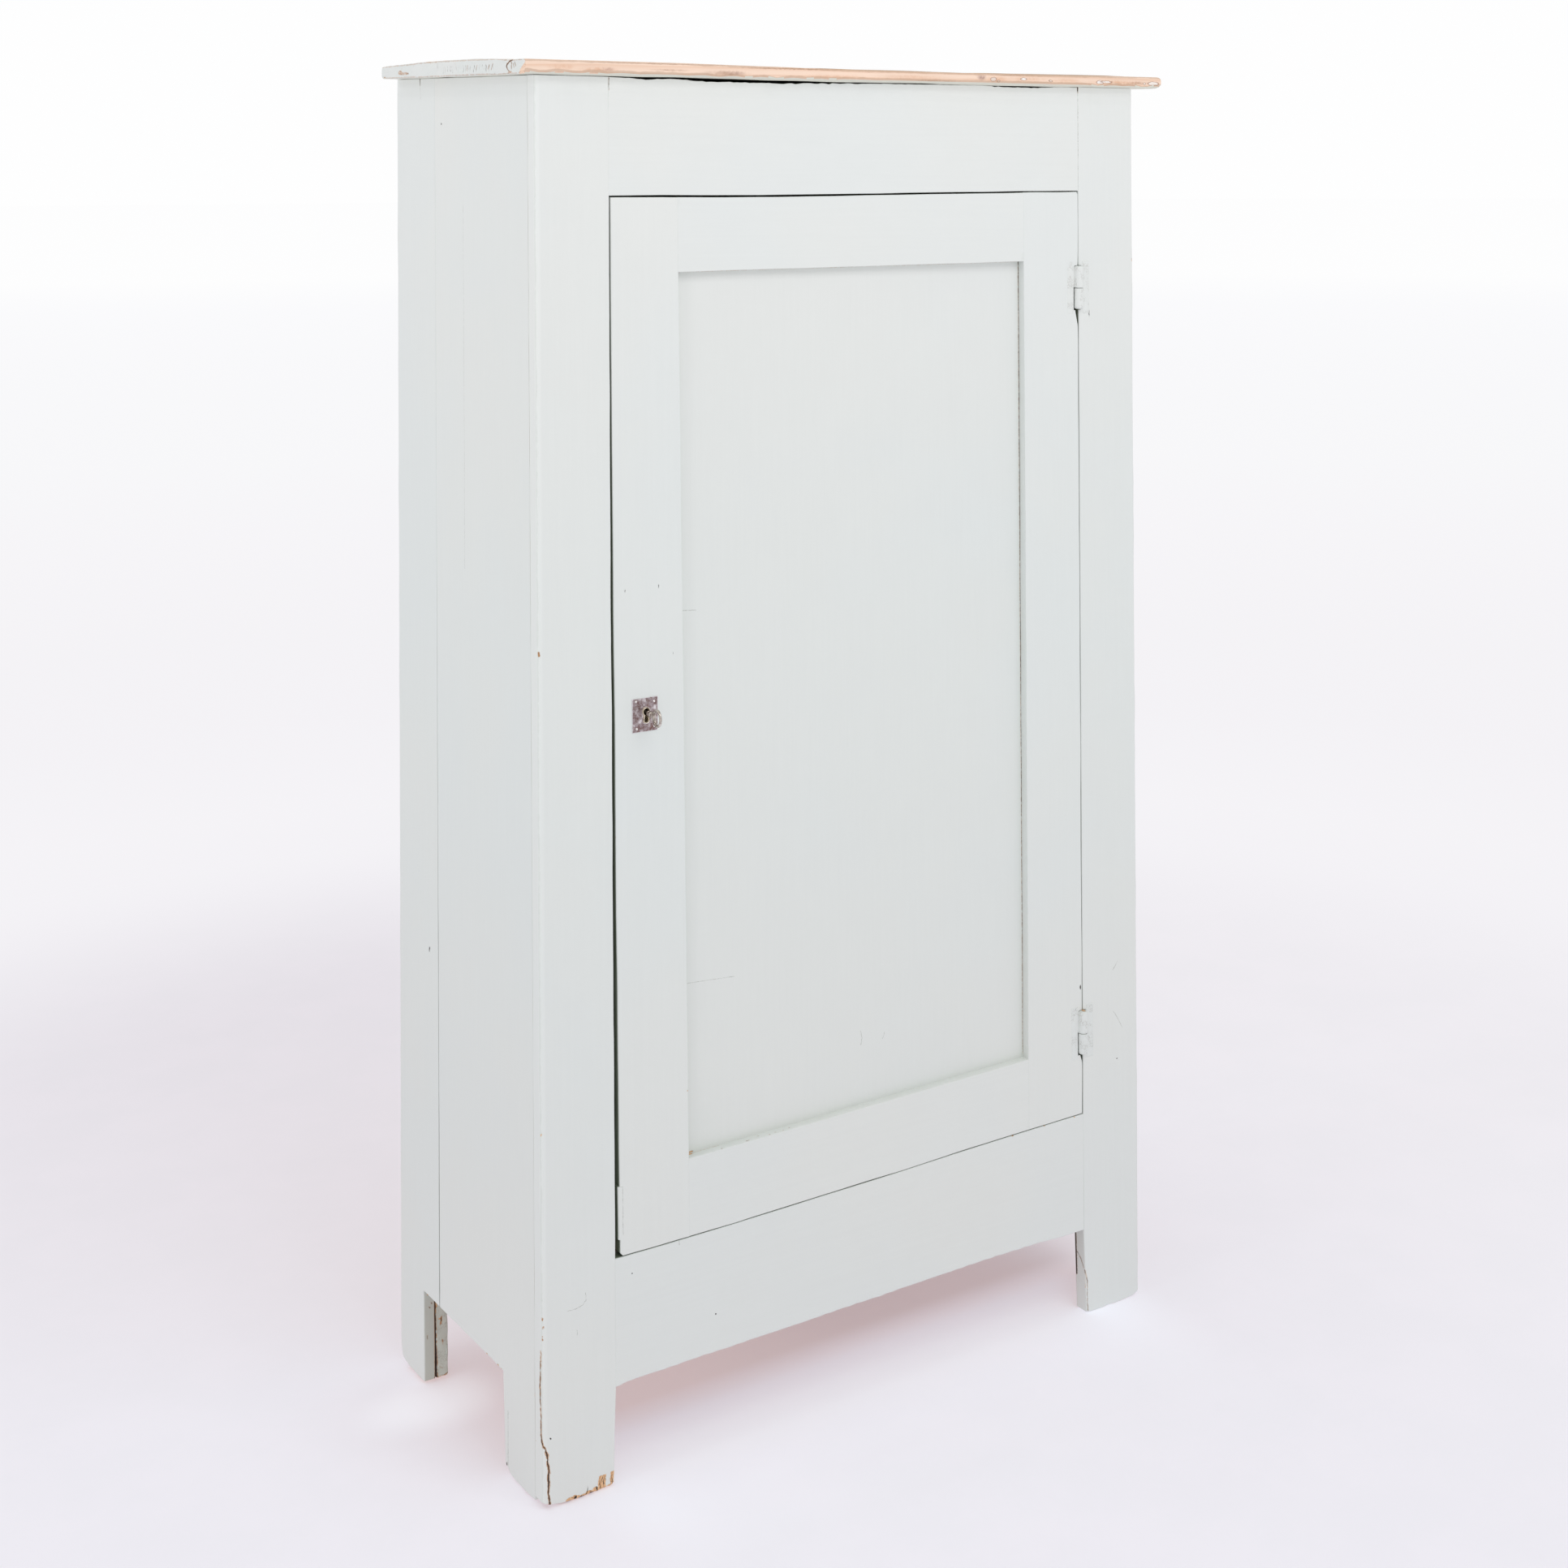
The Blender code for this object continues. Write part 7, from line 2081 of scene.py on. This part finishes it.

# lock parts keep their CAD shape, with worn metal
for n, m in (("lock_plate", M_LOCKCASE), ("lock_case", M_LOCKCASE),
             ("lock_spring", M_LOCKSTEEL), ("lock_screw_1", M_LOCKSTEEL),
             ("lock_screw_2", M_LOCKSTEEL), ("lock_screw_3", M_LOCKSTEEL),
             ("lock_screw_4", M_LOCKSTEEL), ("lock_bolt", M_LOCKSTEEL),
             ("strike_plate", M_LOCKCASE)):
    o = frame["nodes"][n]
    if not o.material_slots:
        o.data.materials.append(m)
    for s in o.material_slots:
        s.material = m
    IRON_SLOT if m is M_LOCKCASE else "lock_steel"

# ---------------------------------------------------------------------------
# Studio: a pale floor that fades into white, soft light from front left
# ---------------------------------------------------------------------------
def floor_material():
    T = Tree("studio_floor")
    P = T.where()
    flat = T.v("MULTIPLY", P, (1.0, 1.0, 0.0))
    d = T.v("LENGTH", flat)
    # the floor glows near the cupboard, a painted light that lifts the shade under it and tints it
    # pink
    near = (0.452, 0.345, 0.364)
    diff = T.t.nodes.new("ShaderNodeBsdfDiffuse")
    speck = T.noise(P, 6.0, 4, 0.6)
    T.put(diff.inputs["Color"], T.mix(T.map(speck, 0.35, 0.65), (0.455, 0.558, 0.600),
                                      (0.470, 0.568, 0.612)))
    em = T.t.nodes.new("ShaderNodeEmission")
    fx, fy, _ = T.split(P)
    # painted light and shade on the floor: a glow for the light that comes back under the front
    # edge, and painted shade behind it
    painted_bounce = T.t.nodes.new("ShaderNodeValToRGB")
    y0, y1 = -0.60, 0.02
    marks = [(-0.60, (0.0, 0.0, 0.0)), (-0.41, (0.004, 0.012, 0.010)),
             (-0.32, (0.028, 0.042, 0.046)), (-0.24, (0.060, 0.090, 0.105)),
             (-0.20, (0.074, 0.118, 0.133)), (-0.15, (0.064, 0.115, 0.142)),
             (-0.10, (0.044, 0.095, 0.135)), (-0.04, (0.0, 0.0, 0.0)),
             (0.02, (0.0, 0.0, 0.0))]
    el = painted_bounce.color_ramp.elements
    el[0].position, el[0].color = 0.0, (0, 0, 0, 1)
    el[1].position, el[1].color = 1.0, (0, 0, 0, 1)
    for p, c in marks[1:-1]:
        e = el.new((p - y0) / (y1 - y0))
        e.color = (*c, 1)
    T.put(painted_bounce.inputs[0], T.map(fy, y0, y1, 0.0, 1.0, soft=False))
    across = T.m("MULTIPLY", T.map(fx, -0.46, -0.36), T.map(fx, 0.38, 0.52, 1.0, 0.0))
    glow = T.v("ADD", near, T.v("SCALE", painted_bounce.outputs[0], None, across))
    deep = T.m("MULTIPLY", T.m("MULTIPLY", T.map(fy, -0.09, -0.03),
                               T.map(fy, 0.10, 0.24, 1.0, 0.0)),
               T.m("MULTIPLY", T.map(fx, -0.30, 0.15), T.map(fx, 0.42, 0.55, 1.0, 0.0)))
    glow = T.v("SUBTRACT", glow, T.v("SCALE", (0.080, 0.062, 0.056), None, deep))
    # painted light: the floor glows more under the arch of the left side
    arch = T.v("LENGTH", T.v("MULTIPLY", T.v("SUBTRACT", flat, (-0.500, 0.105, 0.0)),
                             (1.0, 1.5, 0.0)))
    glow = T.v("ADD", glow, T.v("SCALE", (0.085, 0.110, 0.115), None,
                                T.map(arch, 0.02, 0.13, 1.0, 0.0)))
    # painted light: the floor grows lighter towards the right
    aside = T.map(fx, 0.25, 1.60)
    glow = T.v("ADD", glow, T.v("SCALE", (0.052, 0.056, 0.044), None, aside))
    T.put(em.inputs["Color"], glow)
    add = T.t.nodes.new("ShaderNodeAddShader")
    T.t.links.new(diff.outputs[0], add.inputs[0])
    T.t.links.new(em.outputs[0], add.inputs[1])
    ramp = T.t.nodes.new("ShaderNodeValToRGB")
    el = ramp.color_ramp.elements
    stops = [(0.000, (0.898, 0.882, 0.915)), (0.025, (0.912, 0.898, 0.926)),
             (0.060, (0.905, 0.890, 0.918)), (0.104, (0.908, 0.895, 0.920)),
             (0.173, (0.922, 0.911, 0.934)), (0.280, (0.934, 0.932, 0.948)),
             (0.760, (0.958, 0.958, 0.974)), (1.000, (0.985, 0.985, 0.988))]
    el[0].position, el[0].color = stops[0][0], (*stops[0][1], 1)
    el[1].position, el[1].color = stops[-1][0], (*stops[-1][1], 1)
    for p, c in stops[1:-1]:
        e = el.new(p)
        e.color = (*c, 1)
    T.put(ramp.inputs[0], T.map(d, 2.2, 30.0, 0.0, 1.0, soft=False))
    far = T.t.nodes.new("ShaderNodeEmission")
    T.t.links.new(ramp.outputs[0], far.inputs["Color"])
    mixs = T.t.nodes.new("ShaderNodeMixShader")
    T.put(mixs.inputs[0], T.map(d, 1.55, 2.55))
    T.t.links.new(add.outputs[0], mixs.inputs[1])
    T.t.links.new(far.outputs[0], mixs.inputs[2])
    T.t.links.new(mixs.outputs[0], T.out.inputs["Surface"])
    return T.mat


bmf = bmesh.new()
bmesh.ops.create_circle(bmf, cap_ends=True, radius=90.0, segments=96)
fm = bpy.data.meshes.new("studio_floor")
bmf.to_mesh(fm)
bmf.free()
fm.materials.append(floor_material())
floor = bpy.data.objects.new("studio_floor", fm)
floor.location = (0.0, 0.0, -0.0046)
bpy.context.scene.collection.objects.link(floor)

world = bpy.data.worlds.new("studio")
bpy.context.scene.world = world
world.use_nodes = True
wn = world.node_tree
wn.nodes.clear()
wo = wn.nodes.new("ShaderNodeOutputWorld")
lp = wn.nodes.new("ShaderNodeLightPath")
b1 = wn.nodes.new("ShaderNodeBackground")
b1.inputs[0].default_value = (0.985, 1.0, 1.0, 1)
b1.inputs[1].default_value = 0.705
b2 = wn.nodes.new("ShaderNodeBackground")
b2.inputs[0].default_value = (0.992, 0.992, 0.994, 1)
b2.inputs[1].default_value = 1.0
mx = wn.nodes.new("ShaderNodeMixShader")
wn.links.new(lp.outputs["Is Camera Ray"], mx.inputs[0])
wn.links.new(b1.outputs[0], mx.inputs[1])
wn.links.new(b2.outputs[0], mx.inputs[2])
wn.links.new(mx.outputs[0], wo.inputs[0])


def softbox(name, where, target, size, power, colour):
    d = bpy.data.lights.new(name, "AREA")
    d.shape = "RECTANGLE"
    d.size, d.size_y = size
    d.energy = power
    d.color = colour
    o = bpy.data.objects.new(name, d)
    o.location = where
    o.rotation_euler = (Vector(target) - Vector(where)).to_track_quat("-Z", "Y").to_euler()
    o.visible_camera = False
    bpy.context.scene.collection.objects.link(o)
    return o


softbox("front_softbox", (0.05, -1.95, 2.95), (0.0, -0.2, 1.1), (1.6, 1.2), 14.3,
        (1.0, 0.992, 0.985))
softbox("left_softbox", (-2.25, 0.10, 2.95), (-0.5, 0.0, 1.1), (1.4, 1.2), 11.5,
        (1.0, 0.992, 0.985))

# ---------------------------------------------------------------------------
# Camera: the lens is shifted down, as a view camera keeps uprights upright.
# The shift holds only at this stand; elsewhere the lens is centred.
# ---------------------------------------------------------------------------
SHIFT = -0.40645
cd = bpy.data.cameras.new("photo_camera")
cd.sensor_width = 36.0
cd.lens = 52.754
cd.clip_start, cd.clip_end = 0.05, 300.0
cam = bpy.data.objects.new("photo_camera", cd)
bpy.context.scene.collection.objects.link(cam)
eye = np.array([-1.296, -2.5371, 1.6562]) + O
yaw, pitch, roll = (math.radians(a) for a in (33.1872, 0.3119, -0.284))
fwd = Vector((math.sin(yaw) * math.cos(pitch), math.cos(yaw) * math.cos(pitch),
              math.sin(pitch)))
right = Vector((math.cos(yaw), -math.sin(yaw), 0.0))
up = right.cross(fwd)
r2 = right * math.cos(roll) + up * math.sin(roll)
u2 = -right * math.sin(roll) + up * math.cos(roll)
m = [[r2[i], u2[i], -fwd[i], eye[i]] for i in range(3)] + [[0, 0, 0, 1]]
from mathutils import Matrix
cam.matrix_world = Matrix(m)
bpy.context.scene.camera = cam
stand = bpy.data.objects.new("camera_stand", None)
bpy.context.scene.collection.objects.link(stand)
stand.location = Vector(eye)
cd.shift_y = SHIFT
fc = cd.driver_add("shift_y")
fc.driver.type = "AVERAGE"
var = fc.driver.variables.new()
var.name = "away"
var.type = "LOC_DIFF"
var.targets[0].id = cam
var.targets[1].id = stand
for mod in list(fc.modifiers):
    fc.modifiers.remove(mod)
for x, y in ((0.0, SHIFT), (0.05, SHIFT), (0.10, 0.0), (1.0, 0.0)):
    kp = fc.keyframe_points.insert(x, y)
    kp.interpolation = "LINEAR"
fc.extrapolation = "CONSTANT"

vs = bpy.context.scene.view_settings
vs.view_transform = "Standard"
vs.look = "None"
vs.exposure = 0.0
vs.gamma = 1.0
